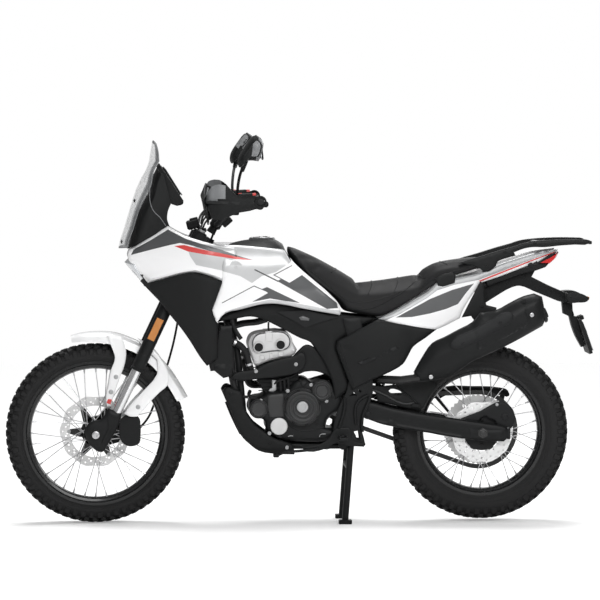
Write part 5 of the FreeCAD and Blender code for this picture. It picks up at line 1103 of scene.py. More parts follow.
COWL = [(127, 249), (131, 232), (135.5, 214), (143, 202), (150, 190), (151, 181), (155, 172), (158.5, 165),
        (162, 166), (171, 201), (168, 209), (167, 218), (169.5, 226), (165, 229), (148, 238)]
COWL_SIDE = [(136, 245), (139, 234), (143, 220), (149, 207), (154, 197), (156, 189), (158, 181), (161, 175),
             (164, 177), (171, 203), (168, 210), (167, 219), (169, 226), (165, 229), (150, 237)]
kit = Kit(PLASTIC)
kit.add(across(COWL, COWL_SIDE, 0.096, SOFT, (0, 7, 8, 9, 12, 13), 3, ref=-0.06))
for side in (-1, 1):
    # Thin light grey line along each side of the cowl: a painted highlight on its edge.
    line = [(149.5, 187), (150.5, 204), (154, 211.5), (160, 217.5), (166, 226)]
    kit.add(tube([Vector((p.x, side * 0.0958, p.z)) for p in [spot(x, y, -0.0958) for x, y in line]], 0.0016, 8),
            LIGHT_GREY_AND_HIGHLIGHT)
    a = spot(137, 237, -0.06)
    kit.add(block((a.x, side * 0.055, a.z), (0.045, 0.01, 0.02), (1, 0, 0.2)))
kit.make("cowl_shell", "chassis", "dash_cowl", slot="black_plastic", sharp=35)

PANEL = [(159.5, 163.5), (183.5, 200.5), (183, 204), (177, 206), (170, 203), (157, 167)]
kit = Kit(PLASTIC)
kit.add(across(PANEL, drawn_in(PANEL, 0.1), 0.088, FIRM, (0, 1, 3, 5), 3, ref=-0.06))
a, b = spot(163, 167.5, -0.03), spot(180, 194.5, -0.03)
way = (b - a).normalized()
face_out = Vector((-way.z, 0, way.x))
face_mid = Vector(((a.x + b.x) / 2, 0, (a.z + b.z) / 2)) + face_out * 0.001
kit.add(block(face_mid, ((b - a).length, 0.14, 0.006), way, face_out, 0.3))
kit.add(block(face_mid + face_out * 0.0015, ((b - a).length * 0.86, 0.118, 0.006), way, face_out, 0.2), SCREEN)
for k in range(3):
    knob = face_mid + way * 0.058 + face_out * 0.002 + Vector((0, (k - 1) * 0.03, 0))
    kit.add(lathe([(0, 0.006), (0.003, 0.006), (0.004, 0.004)], knob, face_out, 20), LIGHT_GREY_AND_HIGHLIGHT)
kit.make("instrument_display", "chassis", "instrument_panel", slot="black_plastic", sharp=35)

BEAK = [(128.6, 257), (130.5, 251.5), (148, 241.5), (167, 230.5), (174, 235), (176, 250), (170, 262), (158, 273),
        (147, 279), (136, 268)]
BEAK_SIDE = [(134, 258), (137, 251), (151, 243.5), (169, 234), (176, 238), (178, 252), (173, 263), (165, 271),
             (156, 276), (145, 268)]
kit = Kit(WHITE)


def beak_paint(centre, normal):
    """The beak's finish at a place."""
    px, py = pixel(centre)
    return GREY if normal.z > 0.25 and px > 134 else WHITE


add_painted(kit, across(BEAK, BEAK_SIDE, 0.066, SOFT, (1, 3, 8, 0), 3), beak_paint)
for side in (-1, 1):
    kit.add(slab([(135.5, 247), (140, 237.5), (152, 228.5), (156, 227.3), (158.5, 229), (146, 236), (137, 246.8)],
                 side * 0.052, side * 0.056, 0.0006), LIGHT_GREY_AND_HIGHLIGHT)
kit.add(across([(139, 274), (150, 268), (178, 264), (180, 280), (150, 287)],
               [(146, 272), (154, 268), (176, 266), (178, 278), (156, 283)], 0.118, FIRM, (0, 1, 2, 3, 4), 2),
        PLASTIC)
kit.make("nose_beak", "chassis", "nose_fairing", slot="white_panel", sharp=30)

LAMP = [(124.5, 262), (128, 258.5), (135, 268), (145.5, 278.5), (146, 282), (141, 280.5), (131, 270)]
LAMP_SIDE = [(133, 264), (135.5, 261), (141, 269), (149, 277.5), (149.5, 280), (146, 279), (138, 271)]
kit = Kit(LENS)
kit.add(across(LAMP, LAMP_SIDE, 0.104, SOFT, (0, 1, 3, 5), 3))
kit.add(across([(141, 279), (146, 278), (149, 284), (144, 286)], [(146, 278), (149, 277.5), (152, 282), (148, 283)],
               0.108, SOFT, (0, 1, 2, 3), 2), PLASTIC)
lamp_way = (at(124.5, 262) - at(141, 281)).normalized()
lamp_out = Vector((-lamp_way.z, 0, lamp_way.x))
lamp_out = lamp_out if lamp_out.x < 0 else -lamp_out
for side in (-1, 1):
    c = at(135.5, 270.5) + Vector((0, side * 0.048, 0))
    kit.add(lathe([(0, 0.021), (0.004, 0.0215), (0.007, 0.018), (0.0095, 0.01), (0.0105, 0.003)], c, lamp_out, 32),
            MIRROR)
    kit.add(turned_ring([(0.001, 0.0215), (0.006, 0.022), (0.006, 0.0255), (0.001, 0.026)], c, lamp_out, 40), PLASTIC)
kit.add(block(at(136, 271) + lamp_out * 0.004, (0.07, 0.01, 0.01), lamp_way, lamp_out, 0.3), PLASTIC)
kit.make("headlight_lens", "chassis", "headlight", slot="lamp_lens", sharp=35)

# Front fender
FENDER_TOP = [(70.5, 335.3), (80, 332.7), (95, 331), (110, 331.3), (120, 333.2), (130, 337), (141, 342), (150, 348.5),
              (160, 357), (170, 368), (180, 383), (187.5, 396)]
FENDER_HALF = [0.028, 0.046, 0.058, 0.064, 0.066, 0.067, 0.067, 0.067, 0.066, 0.064, 0.058, 0.05]
kit = Kit(WHITE)
top = smooth_line([(a, b, h) for (a, b), h in zip(FENDER_TOP, FENDER_HALF)], (), 4, False)
loops = []
for i, (px, py, half) in enumerate(top):
    p = spot(px, py, 0.0)
    centre = Vector((FRONT.x, 0, FRONT.z))
    out = Vector((p.x - centre.x, 0, p.z - centre.z)).normalized()
    out = (out + Vector((0, 0, 0.35)) * max(0.0, 1 - i / 10)).normalized()
    drop = 0.022 * min(1.0, 0.25 + i / 16)
    shape = [(0.0, 0.0), (0.3, -0.001), (0.55, -0.004), (0.78, -0.009), (0.93, -0.016), (1.0, -0.02 - drop)]
    outer = [p + Vector((0, s * half, 0)) + out * d for s, d in shape]
    under = [p + Vector((0, s * half - 0.003 * (s > 0.9), 0)) + out * (d - 0.003 * (s < 0.97)) for s, d in shape]
    near = [Vector((v.x, -v.y, v.z)) for v in outer[1:]][::-1] + outer
    back = under[::-1] + [Vector((v.x, -v.y, v.z)) for v in under[1:]]
    loops.append(near + back)
kit.add(loft(loops))
FRONT_LEG = [(107, 335), (121, 336), (126, 350), (125, 363), (120.5, 376), (117, 386), (113, 398), (111, 406),
             (107, 406.5), (106, 398), (108.5, 384), (111, 370), (115, 358), (112, 348)]
REAR_LEG = [(138, 340), (152, 348), (163, 362), (168, 372), (167.5, 385), (160, 392), (152, 400), (144, 409),
            (137, 416.5), (130, 416.5), (124, 413.5), (131, 404), (144, 390), (157, 374), (157, 360), (149, 352)]
legs = Kit(WHITE)
add_panel(legs, FRONT_LEG, WHITE, 0.0735, 0.064, crown=0.004, soft=3.5, corners=(0, 1, 7, 8), gap=2.6)
add_panel(legs, REAR_LEG, WHITE, 0.0735, 0.064, crown=0.004, soft=3.5, corners=(0, 8, 10, 14), gap=2.6)
legs.add(slab([(108, 399), (112, 399.5), (110.5, 404.5), (106.5, 403)], -0.0755, -0.07, 0.0008), RED)
bolts(legs, ((116, 377), (111, 392), (138, 407)), -0.0735, 0.0065, 0.003, CAST_SILVER_AND_HIGHLIGHT)
legs.mirrored()
leg_numbers = kit.numbers(legs.mats)
kit.add((legs.verts, legs.faces), [leg_numbers[i] for i in legs.index])
kit.make("fender_shell", "steering", "front_fender", slot="white_panel", sharp=35)

# Fork
fork_top, fork_end = at(200.9, 231.0), at(113.0, 417.4)
fork_way = (fork_top - fork_end).normalized()
fork_long = (fork_top - fork_end).length
fork_back = Vector((fork_way.z, 0, -fork_way.x))
FORK_Y = 0.095
kit = Kit(SATIN)
for side in (-1, 1):
    base = fork_end + Vector((0, side * FORK_Y, 0))
    start = fork_long * 0.262
    length = fork_long - start
    profile = [(0, 0.019), (0.001, 0.0236), (0.004, 0.0248), (0.01, 0.0248), (0.012, 0.0226), (0.016, 0.0226),
               (0.018, 0.0238), (0.03, 0.024), (length * 0.7, 0.024), (length * 0.705, 0.0232),
               (length * 0.96, 0.0232), (length * 0.965, 0.024), (length - 0.01, 0.024), (length - 0.006, 0.022),
               (length - 0.002, 0.0215), (length, 0.014)]
    kit.add(lathe(profile, base + fork_way * start, fork_way, 40))
    top_end = base + fork_way * (fork_long + 0.0005)
    kit.add(lathe([(0, 0.0125), (0.006, 0.0125), (0.007, 0.0105)], top_end, fork_way, 6), CAST_SILVER_AND_HIGHLIGHT)
    for share in (0.34, 0.42):
        kit.add(turned_ring([(0, 0.0236), (0.002, 0.0246), (0.006, 0.0246), (0.008, 0.0236)],
                            base + fork_way * (fork_long * share), fork_way, 32), CAST)
kit.make("fork_tube_pair", "steering", "fork_outer_tubes", slot="frame_black", sharp=35)

kit = Kit(CHROME)
for side in (-1, 1):
    base = fork_end + Vector((0, side * FORK_Y, 0))
    length = fork_long * 0.27
    kit.add(lathe([(-0.004, 0.016), (-0.003, 0.0182), (length * 0.5, 0.0184), (length + 0.01, 0.0184),
                   (length + 0.012, 0.016)], base, fork_way, 40))
    kit.add(lathe([(0, 0.0215), (0.01, 0.0225), (0.016, 0.0222), (0.018, 0.019)], base - fork_way * 0.001, fork_way,
                  32), CAST)
kit.make("fork_slider_pair", "steering", "fork_inner_tubes", slot="engine_silver", sharp=35)

FOOT = [(108.5, 408), (121.5, 413.5), (119, 424), (113, 436), (107, 446), (102.5, 452), (97, 451), (90, 445),
        (86, 437), (85.5, 430), (88, 424), (94, 420.5), (101, 419)]
kit = Kit(CAST)
add_panel(kit, FOOT, CAST, 0.1175, 0.073, crown=0.01, soft=6, corners=(0, 1), gap=2.4)
kit.add(slab([(108, 414), (117, 418), (113, 429), (104, 444), (101, 443), (108, 429)], -0.1205, -0.114, 0.001), SATIN)
axle = Vector((FRONT.x, -0.1165, FRONT.z))
kit.add(lathe([(0, 0.019), (0.003, 0.019), (0.004, 0.017)], axle, NEAR, 32))
kit.mirrored()
kit.make("fork_foot_pair", "steering", "fork_feet", slot="frame_black", sharp=35)

kit = Kit(STEEL)
kit.add(crossbar((FRONT.x, 0, FRONT.z), 0.1205, 0.006, 0.12, 0.0085, 32))
for side in (-1, 1):
    end = Vector((FRONT.x, side * 0.119, FRONT.z))
    kit.add(lathe([(0, 0.0135), (0.0015, 0.0135), (0.002, 0.011), (0.006, 0.011), (0.007, 0.0095), (0.007, 0.005),
                   (0.004, 0.004)], end, (0, side, 0), 6 if side > 0 else 24))
kit.make("front_axle_bolt", "steering", "front_axle", slot="steel", sharp=30)

kit = Kit(AMBER)
c = spot(155.5, 329.5, -0.119)
kit.add(block(c + Vector((0, 0.0005, 0)), (0.084, 0.006, 0.026), fork_way, fork_back, 0.3))
kit.add(block(c + Vector((0, 0.005, 0)), (0.092, 0.01, 0.032), fork_way, fork_back, 0.2), SATIN)
kit.mirrored()
kit.make("fork_reflectors", "steering")

# Handlebar, guards, grips and mirrors
BAR = [(261.5, 201.5, -0.392), (238, 203, -0.272), (228, 211, -0.19), (217, 223, -0.085), (216, 224, 0.0)]
kit = Kit(SATIN)
half_bar = [Vector((spot(x, y, 0).x, w, spot(x, y, 0).z)) for x, y, w in BAR]
kit.add(tube(half_bar + [Vector((p.x, -p.y, p.z)) for p in reversed(half_bar[:-1])], 0.0108, 16, 5))
for side in (-1, 1):
    foot, head = at(210.5, 232.6), at(216.5, 223)
    c = Vector((0, side * 0.028, 0))
    kit.add(tube([foot + c, foot + (head - foot) * 0.5 + c, head + c], [0.016, 0.0135, 0.0145], 16, 3), CAST)
    kit.add(block(head + c, (0.036, 0.03, 0.04), (head - foot), (1, 0, 0.4), 0.3), CAST)
    for dx in (-1, 1):
        bolt(kit, head + c + Vector((dx * 0.01, 0, 0.019)), (0.1, 0, 1), 0.0045, 0.004)
    for px, py, y, size in ((236, 201.5, 0.262, (0.044, 0.034, 0.04)), (228, 209, 0.208, (0.028, 0.03, 0.034))):
        p = at(px, py)
        kit.add(block((p.x, side * y, p.z), size, (1, 0, 0.1), bevel=0.25), PLASTIC)
    p = at(244, 194.5)
    kit.add(block((p.x - 0.006, side * 0.262, p.z + 0.002), (0.052, 0.04, 0.018), (1, 0, 0.05), bevel=0.35), PLASTIC)
    for px in (237, 251):
        p = at(px, 193.2)
        kit.add(block((p.x, side * 0.27, p.z + 0.003), (0.013, 0.016, 0.009), (1, 0, 0.05), bevel=0.3), RED)
    pivot, mid, tip = at(226, 206), at(216, 204), at(219, 201.5)
    line = [Vector((pivot.x, side * 0.235, pivot.z)), Vector((mid.x, side * 0.29, mid.z)),
            Vector((mid.x + 0.003, side * 0.345, mid.z + 0.004)), Vector((tip.x, side * 0.395, tip.z))]
    kit.add(tube(line, [0.008, 0.0062, 0.0055, 0.0068], 10, 4, flat=0.7), CAST_SILVER_AND_HIGHLIGHT)
    a = at(222, 200)
    kit.add(tube([Vector((a.x + 0.03, side * 0.235, a.z - 0.01)), Vector((a.x + 0.002, side * 0.2, a.z - 0.035)),
                  at(206, 219) + Vector((0, side * 0.13, 0)), at(201, 231) + Vector((0, side * 0.07, 0))], 0.0035, 8,
                 5), GRIP)
for dy, dx in ((0.1, 0), (0.125, 3)):
    kit.add(tube([at(199 + dx, 224) + Vector((0, dy - 0.03, 0)), at(201 + dx, 217) + Vector((0, dy, 0)),
                  at(206 + dx, 211) + Vector((0, dy + 0.03, 0)), at(213 + dx, 208) + Vector((0, dy + 0.08, 0))],
                 0.0042, 8, 5), GRIP)
p = at(193, 224.5)
kit.add(block((p.x, 0.046, p.z), (0.044, 0.046, 0.034), (1, 0, 0.25), bevel=0.3), CAST)
kit.add(block((p.x + 0.004, 0.046, p.z + 0.018), (0.03, 0.038, 0.012), (1, 0, 0.25), bevel=0.3), PLASTIC)
kit.add(tube([(p.x + 0.016, 0.046, p.z + 0.0), (p.x + 0.034, 0.034, p.z - 0.02),
              (at(206, 230).x, 0.028, at(206, 230).z)], 0.008, 10, 4), CAST)
p = at(226, 221)
kit.add(block((p.x, -0.1, p.z), (0.04, 0.03, 0.022), (0.8, 0, 0.7), bevel=0.3), CAST)
kit.make("handlebar_bend", "steering", "handlebar", slot="frame_black", sharp=35)

kit = Kit(GRIP)
for side in (-1, 1):
    a, b = at(238, 203), at(261.5, 201.5)
    start, end = Vector((a.x, side * 0.272, a.z)), Vector((b.x, side * 0.392, b.z))
    way = (end - start).normalized()
    profile = [(0.014, 0.0115), (0.0145, 0.021), (0.019, 0.021), (0.02, 0.015)]
    d = 0.022
    while d < 0.104:
        profile += [(d, 0.0152), (d + 0.0012, 0.0163), (d + 0.0032, 0.0163), (d + 0.0044, 0.0152)]
        d += 0.0058
    profile += [(0.108, 0.0155), (0.109, 0.0185), (0.113, 0.0185), (0.114, 0.0115)]
    kit.add(lathe(profile, start, way, 28))
kit.make("grip_pair", "steering", "grips", slot="grip_rubber", sharp=30)

GUARD_PATH = [(214, 0.205, 193, 210), (207, 0.255, 188, 217), (203.6, 0.31, 185.5, 221), (203.4, 0.365, 185, 221.5),
              (206.5, 0.402, 186, 220.5), (215, 0.419, 185.3, 220.5), (228, 0.425, 188, 216.5),
              (241, 0.427, 195.5, 213), (252, 0.427, 196.5, 210.5), (264, 0.4255, 197, 207.5)]
SIDE_TOP = [(203, 199.5), (207, 192), (212, 186), (217, 184.5), (224, 185), (230, 189), (235, 195), (240, 196.3),
            (252, 196.5), (264, 197)]
SIDE_LOW = [(203, 204), (206, 207), (209, 213), (213, 220), (222, 220.3), (230, 216.5), (238, 213), (250, 211),
            (262, 207.5), (264, 207)]
guard = Kit(PLASTIC)
path = smooth_line(GUARD_PATH, (), 5, False)
rows = []
for i, (px, y, top_px, low_px) in enumerate(path):
    c = at(px, 200)
    before, after = path[max(i - 1, 0)], path[min(i + 1, len(path) - 1)]
    run = Vector(((after[0] - before[0]) * PX, -(after[1] - before[1]), 0)).normalized()
    out = Vector((run.y, -run.x, 0))
    out = -out if out.dot(Vector((-0.5, -1, 0))) < 0 else out
    side_share = max(0.0, min(1.0, (y - 0.375) / 0.03))
    if side_share > 0:
        tops, lows = np.array(SIDE_TOP), np.array(SIDE_LOW)
        top_px = top_px + (np.interp(px, tops[:, 0], tops[:, 1]) - top_px) * side_share
        low_px = low_px + (np.interp(px, lows[:, 0], lows[:, 1]) - low_px) * side_share
    row = []
    for k in range(11):
        t = k / 10
        py = low_px + (top_px - low_px) * t
        z = at(0, py).z if side_share < 0.5 else spot(px, py, -y).z
        swell = 0.006 * math.sin(math.pi * t) ** 0.7
        x = c.x if side_share < 0.5 else spot(px, py, -y).x
        row.append(Vector((x, -y, z)) + out * (swell - 0.004))
    rows.append(row)
shape = sheet(rows, lambda i, j: Vector((0.005, 0.0008, 0)) if path[i][1] < 0.4 else Vector((0.0008, 0.005, 0)))


def guard_paint(centre, normal):
    """The hand guard's finish at a place: light grey on a facet at the upper front of its outer part, a painted
    highlight; black plastic elsewhere.
    """
    px, py = pixel(centre)
    highlight_facet = 203 < px < 221 and py < 198.5 - (px - 208) * 0.18 and abs(centre.y) > 0.3
    return LIGHT_GREY_AND_HIGHLIGHT if highlight_facet else PLASTIC


add_painted(guard, shape, guard_paint)
p = spot(260.5, 202, -0.4285)
guard.add(turned_ring([(0, 0.0145), (0.003, 0.015), (0.0045, 0.0185), (0.003, 0.0215), (0, 0.022)], p, NEAR, 36),
          PLASTIC)
guard.add(lathe([(-0.034, 0.009), (0, 0.0125), (0.001, 0.0125), (0.0018, 0.01), (0.0018, 0.004)], p, NEAR, 28), CAST)
guard.add(slab([(206, 200.5), (240, 202), (258, 201.5), (258, 204), (238, 205.5), (206, 203.5)], -0.4295, -0.424,
               0.0008), SATIN)
a = at(222, 205)
guard.add(block((a.x, -0.225, a.z), (0.05, 0.016, 0.012), (1, 0, -0.2), bevel=0.3), PLASTIC)
far = Kit(*guard.mats)
far.verts = [(x + 0.014, -y, z) for x, y, z in guard.verts]
far.faces = [list(reversed(f)) for f in guard.faces]
guard.add((far.verts, far.faces), list(guard.index))
guard.make("hand_guard_shells", "steering", "hand_guards", slot="black_plastic", sharp=35)

MIRROR_MID = [(238.2, 158), (241, 152), (246.5, 144), (252, 137), (256, 134.8), (261, 138.5), (263.4, 143.5),
              (261.5, 155), (258.3, 161.3), (250, 160.5), (246, 161.5), (240, 167.5), (238, 165)]
MIRROR_RIM = [(243, 157), (246, 151.5), (250, 146), (254, 141.5), (257, 139.5), (260, 142), (261.5, 146),
              (259.5, 153.5), (257.5, 157), (251, 157), (248.5, 157.5), (245, 161), (243.5, 160)]
kit = Kit(PLASTIC)


def mirror_paint(centre, normal):
    """The mirror's finish at a place: light grey on the rear part of the flank that faces outward, a painted
    highlight; black plastic elsewhere.
    """
    px, py = pixel(centre)
    return LIGHT_GREY_AND_HIGHLIGHT if normal.y < -0.15 and px > 252.5 + (150 - py) * 0.12 else PLASTIC


add_painted(kit, across(MIRROR_MID, MIRROR_RIM, 0.064, SOFT, (4, 6, 8), 3, centre=-0.385, ref=-0.385), mirror_paint)
# Light grey slabs on the mirror: painted highlights on its facets.
HIGHLIGHT_FACET = [(253, 143.8), (256.5, 140.6), (259.5, 142.4), (260.9, 146.2), (259.1, 153.2), (257.2, 156.4), (251.6, 156.4)]
kit.add(slab(HIGHLIGHT_FACET, -0.451, -0.444, 0.0008), LIGHT_GREY_AND_HIGHLIGHT)
kit.add(slab([(242, 148), (253, 135.5), (256.5, 140), (255, 143), (246, 152)], -0.321, -0.34, 0.0012), LIGHT_GREY_AND_HIGHLIGHT)
g = spot(259.5, 149, -0.385)
glass = []
for k in range(40):
    t = TURN * k / 40
    sx, sz = math.cos(t), math.sin(t)
    k1 = abs(sx) ** 4 + abs(sz) ** 4
    r = 1 / k1 ** 0.25
    glass.append((sx * r * 0.052, sz * r * 0.036))
gn = Vector((1, 0, 0.12)).normalized()
gu = Vector((-gn.z, 0, gn.x))
flat, faces = fill(glass, 0.012)
kit.add(extruded(flat, faces, lambda u, v: Vector(g) + Vector((0, u, 0)) + gu * v + gn * 0.0072,
                 lambda u, v: Vector(g) + Vector((0, u, 0)) + gu * v + gn * 0.001), MIRROR)
rim_line = [Vector(g) + Vector((0, u * 1.03, 0)) + gu * v * 1.03 + gn * 0.006 for u, v in glass]
kit.add(tube(rim_line, 0.0028, 8, 1, closed=True))
clamp_at = Vector((at(232, 207.5).x, -0.222, at(232, 207.5).z))
stalk_line = [clamp_at, Vector((at(234.5, 200).x, -0.232, at(234.5, 200).z)),
              Vector((at(235, 186).x, -0.262, at(235, 186).z)), Vector((at(236.6, 174).x, -0.305, at(236.6, 174).z)),
              Vector((at(239.5, 163.5).x, -0.36, at(239.5, 163.5).z))]
kit.add(tube(stalk_line, 0.0052, 12, 5), SATIN)
kit.add(tube([stalk_line[0], stalk_line[0] + (stalk_line[1] - stalk_line[0]) * 0.8], 0.01, 12, 1), SATIN)
kit.add(tube([stalk_line[-1] - Vector((0.004, -0.01, 0.02)), stalk_line[-1] + Vector((0.006, -0.01, 0.016))],
             [0.0075, 0.011], 14, 1))
kit.add(block(clamp_at + Vector((0, 0, -0.004)), (0.034, 0.03, 0.034), bevel=0.25), CAST)
kit.mirrored()
kit.make("mirror_pair", "steering", "mirrors", slot="black_plastic", sharp=35)

# Tank top and cap
TANK_TOP = [(222, 249), (230, 244), (238, 241.5), (250, 239.5), (268, 238.3), (276, 240), (282, 243.5), (285, 250),
            (291, 261), (290, 266), (300, 278), (330, 300), (338, 310), (300, 307), (272, 303), (250, 298),
            (232, 284), (222, 266)]
TANK_TOP_SIDE = [(226, 258), (233, 252), (240, 249), (252, 247), (266, 246.5), (274, 248), (280, 252), (284, 258),
                 (289, 266), (291, 270), (299, 281), (322, 297), (330, 304), (298, 301), (272, 297), (251, 291),
                 (236, 280), (227, 269)]
kit = Kit(PLASTIC)
tank_stations = [(0, 0), (0.2, 0.0), (0.4, 0.06), (0.6, 0.2), (0.78, 0.45), (0.9, 0.72), (1.0, 1.0)]
kit.add(across(TANK_TOP, TANK_TOP_SIDE, 0.1235, tank_stations, (0, 6, 7, 12), 3))
# A thin light grey line along each top edge of the tank cover: a painted highlight.
for side in (-1, 1):
    line = [(240, 244), (248, 242.2), (262, 240.8), (272, 241.5), (279, 244.5)]
    pts = [spot(x, y, 0) for x, y in line]
    kit.add(tube([Vector((p.x, side * 0.066, p.z - 0.002)) for p in pts], 0.0028, 8, 4), LIGHT_GREY_AND_HIGHLIGHT)
cl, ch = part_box("fuel_cap")
cap_c = Vector(((cl.x + ch.x) / 2, 0, cl.z))
kit.add(turned_ring([(-0.006, 0.037), (0.0035, 0.0375), (0.0045, 0.041), (0.0035, 0.046), (-0.006, 0.05)], cap_c,
                    (0, 0, 1), 56), GREY)
for k in range(6):
    t = TURN * (k + 0.5) / 6
    bolt(kit, cap_c + Vector((0.0425 * math.cos(t), 0.0425 * math.sin(t), 0.0035)), (0, 0, 1), 0.0026, 0.002, STEEL)
kit.make("tank_top_shell", "chassis", "fuel_tank", slot="black_plastic", sharp=35)

kit = Kit(STEEL)
kit.add(lathe([(0.0003, 0.03), (0.0003, 0.0355), (0.004, 0.036), (0.0062, 0.0345), (0.007, 0.031), (0.0062, 0.0295),
               (0.0062, 0.014), (0.007, 0.013), (0.007, 0.004)], cap_c, (0, 0, 1), 48))
kit.add(block(cap_c + Vector((0.004, 0, 0.0072)), (0.03, 0.012, 0.003), bevel=0.3), PLASTIC)
kit.make("fuel_cap_lid", "cap", "fuel_cap", slot="steel", sharp=30)

# Rear rack, tail light, mudguard, plate holder and indicators
RACK = [(458, 263), (470, 259), (480, 256.2), (492, 252.5), (504, 248.8), (515, 245.8), (524, 242.8), (530, 241.5),
        (545, 240), (568, 239.2), (587, 239.6), (590.2, 241), (589, 243.6), (575, 244.6), (560, 245.6), (545, 247.2),
        (532, 247.2), (524, 248.6), (514, 252.4), (515.5, 255.6), (507, 258), (498, 261.6), (496, 265.8),
        (490, 270.8), (483, 271.8), (479, 268)]
kit = Kit(SATIN)
add_panel(kit, RACK, SATIN, 0.118, 0.1005, crown=0.005, soft=2.2, corners=(0, 10, 18, 19, 22, 24), gap=2.6)
add_panel(kit, [(435.5, 279), (441, 275), (454.5, 272.2), (455.5, 277.5), (454.6, 283), (443, 286.8), (438, 286)],
          SATIN, 0.127, 0.1135, crown=0.002, soft=1.5, corners=(0, 2, 4, 5, 6), gap=2.4)
bolts(kit, ((487, 266), (505, 252.5), (535, 243.8)), -0.1178, 0.0052, 0.003)
kit.mirrored()
deck = at(0, 241.0).z
for i, x_px in enumerate((536, 545, 557, 569, 581)):
    x = at(x_px, 0).x
    kit.add(block((x, 0, deck - 0.0042), (0.016 if i else 0.024, 0.214, 0.0076), bevel=0.25))
for y in (-0.052, 0, 0.052):
    kit.add(block((at(559, 0).x, y, deck - 0.0046), (0.178, 0.02, 0.0066), bevel=0.25))
kit.add(block((at(588.2, 0).x, 0, deck - 0.004), (0.012, 0.205, 0.012), bevel=0.35))
for sx in (-1, 1):
    for sy in (-1, 1):
        c = Vector((at(560, 0).x + sx * 0.06, sy * 0.05, deck))
        kit.add(turned_ring([(-0.0085, 0.0044), (0.0, 0.0044), (0.0006, 0.0052), (0.0004, 0.0085), (-0.001, 0.0105),
                             (-0.0085, 0.0105)], c, (0, 0, 1), 24), CAST)
kit.make("rack_frame", "chassis", "rear_rack", slot="frame_black", sharp=35)

LIGHT = [(534, 264.5), (540, 260), (546, 256.5), (553, 253.5), (559, 251.8), (556.5, 257), (550, 263.5), (542, 265.6)]
LIGHT_SIDE = [(536, 264), (540, 261), (545, 258), (550.5, 255.8), (555, 254.8), (553, 258.5), (548, 263),
              (541, 264.8)]
kit = Kit(RED_LENS)
kit.add(across(LIGHT, LIGHT_SIDE, 0.088, SOFT, (0, 4, 6), 3, ref=-0.05))
kit.add(across([(532, 266), (540, 259), (550, 253), (557, 250.5), (556, 253), (546, 258)],
               [(534, 265), (540, 260.5), (548, 255.5), (552, 253.5), (551, 256), (545, 259)], 0.092, SOFT, (0, 3), 2,
               ref=-0.05), PLASTIC)
kit.make("tail_lamp", "chassis", "tail_light", slot="red_lens", sharp=35)

UNDER = [(482, 284), (500, 277.5), (520, 270.5), (537, 265), (533.5, 272), (531, 276.5), (540, 281), (548, 285),
         (556, 288.5), (566, 293), (571, 295), (571.2, 301.5), (562, 302), (548, 297), (534, 291.3), (519, 285.5),
         (510, 287.5), (495, 296), (484, 303), (481, 296)]
kit = Kit(PLASTIC)
kit.add(across(UNDER, drawn_in(UNDER, 0.03, (520, 282)), 0.055, FIRM, (0, 3, 5, 9, 11, 18), 3, ref=-0.03))
kit.add(across([(484, 281), (535, 262), (549, 262), (545, 267), (520, 274), (486, 286)],
               [(486, 281), (535, 264), (546, 264), (543, 266.5), (520, 273), (487, 285)], 0.094, FIRM, (0, 1, 2, 5),
               2, ref=-0.06))
bolts(kit, ((507, 283), (524, 277), (552, 291)), -0.0545, 0.0045, 0.003)
HOLD = [(562, 300), (572, 300), (572.6, 313), (571.5, 315.8), (577, 316.6), (579.2, 322), (580, 330), (584.8, 345.8),
        (581.5, 347.2), (575.5, 336), (571.5, 325), (569.5, 316.4), (563.4, 313.5)]
kit.add(across(HOLD, drawn_in(HOLD, 0.06), 0.026, FIRM, (0, 1, 2, 3, 4, 7, 8, 11, 12), 3, ref=-0.02))
PLATE = [(577.6, 319), (580.2, 318.6), (585.4, 330), (591.8, 352.8), (588.9, 353.8), (582.4, 333.5)]
kit.add(across(PLATE, drawn_in(PLATE, 0.03), 0.088, FIRM, (0, 1, 3, 4), 2, ref=-0.05))
a, b = spot(580.6, 321.0, -0.03), spot(591.2, 350.0, -0.03)
way = (b - a).normalized()
out = Vector((-way.z, 0, way.x))
out = out if out.x > 0 else -out
mid = (a + b) / 2 + out * 0.001
kit.add(block((mid.x, 0, mid.z), ((b - a).length * 0.97, 0.168, 0.003), way, out, 0.2), LIGHT_GREY_AND_HIGHLIGHT)
for y in (-0.05, 0.05):
    bolt(kit, Vector((mid.x, y, mid.z)) - way * 0.045 + out * 0.001, out, 0.004, 0.002, STEEL)
kit.add(block(Vector((a.x, 0, a.z)) + out * 0.006 - way * 0.01, (0.016, 0.06, 0.02), way, out, 0.3))
kit.add(lathe([(0, 0.02), (0.002, 0.022), (0.005, 0.021), (0.0065, 0.018)],
              Vector((mid.x, 0, mid.z)) - out * 0.02 - way * 0.1, out, 32))
kit.make("rear_arm_and_plate_holder", "chassis", "rear_mudguard", slot="black_plastic", sharp=35)

kit = Kit(PLASTIC)
BODY = [(565, 294), (573, 292.8), (582, 293.8), (589.5, 298), (587, 301.5), (578, 302.6), (567, 302)]
add_panel(kit, BODY, PLASTIC, 0.1275, 0.083, crown=0.006, soft=3.2, corners=(0, 3), gap=2.0)
bolt(kit, spot(571.5, 297.8, -0.127), NEAR, 0.0045, 0.003)
rear = spot(588, 298.2, -0.105)
kit.add(block(rear + Vector((-0.003, 0, 0)), (0.012, 0.03, 0.013), (1, 0, -0.2), bevel=0.35), AMBER)
p = at(568, 297.8)
kit.add(tube([(p.x, -0.022, p.z), (p.x, -0.06, p.z), (p.x + 0.004, -0.1, p.z)], [0.0075, 0.0058, 0.0085], 14, 4),
        GRIP)
kit.mirrored()
kit.make("rear_indicator_pair", "chassis", "rear_indicators", slot="lamp_lens", sharp=35)

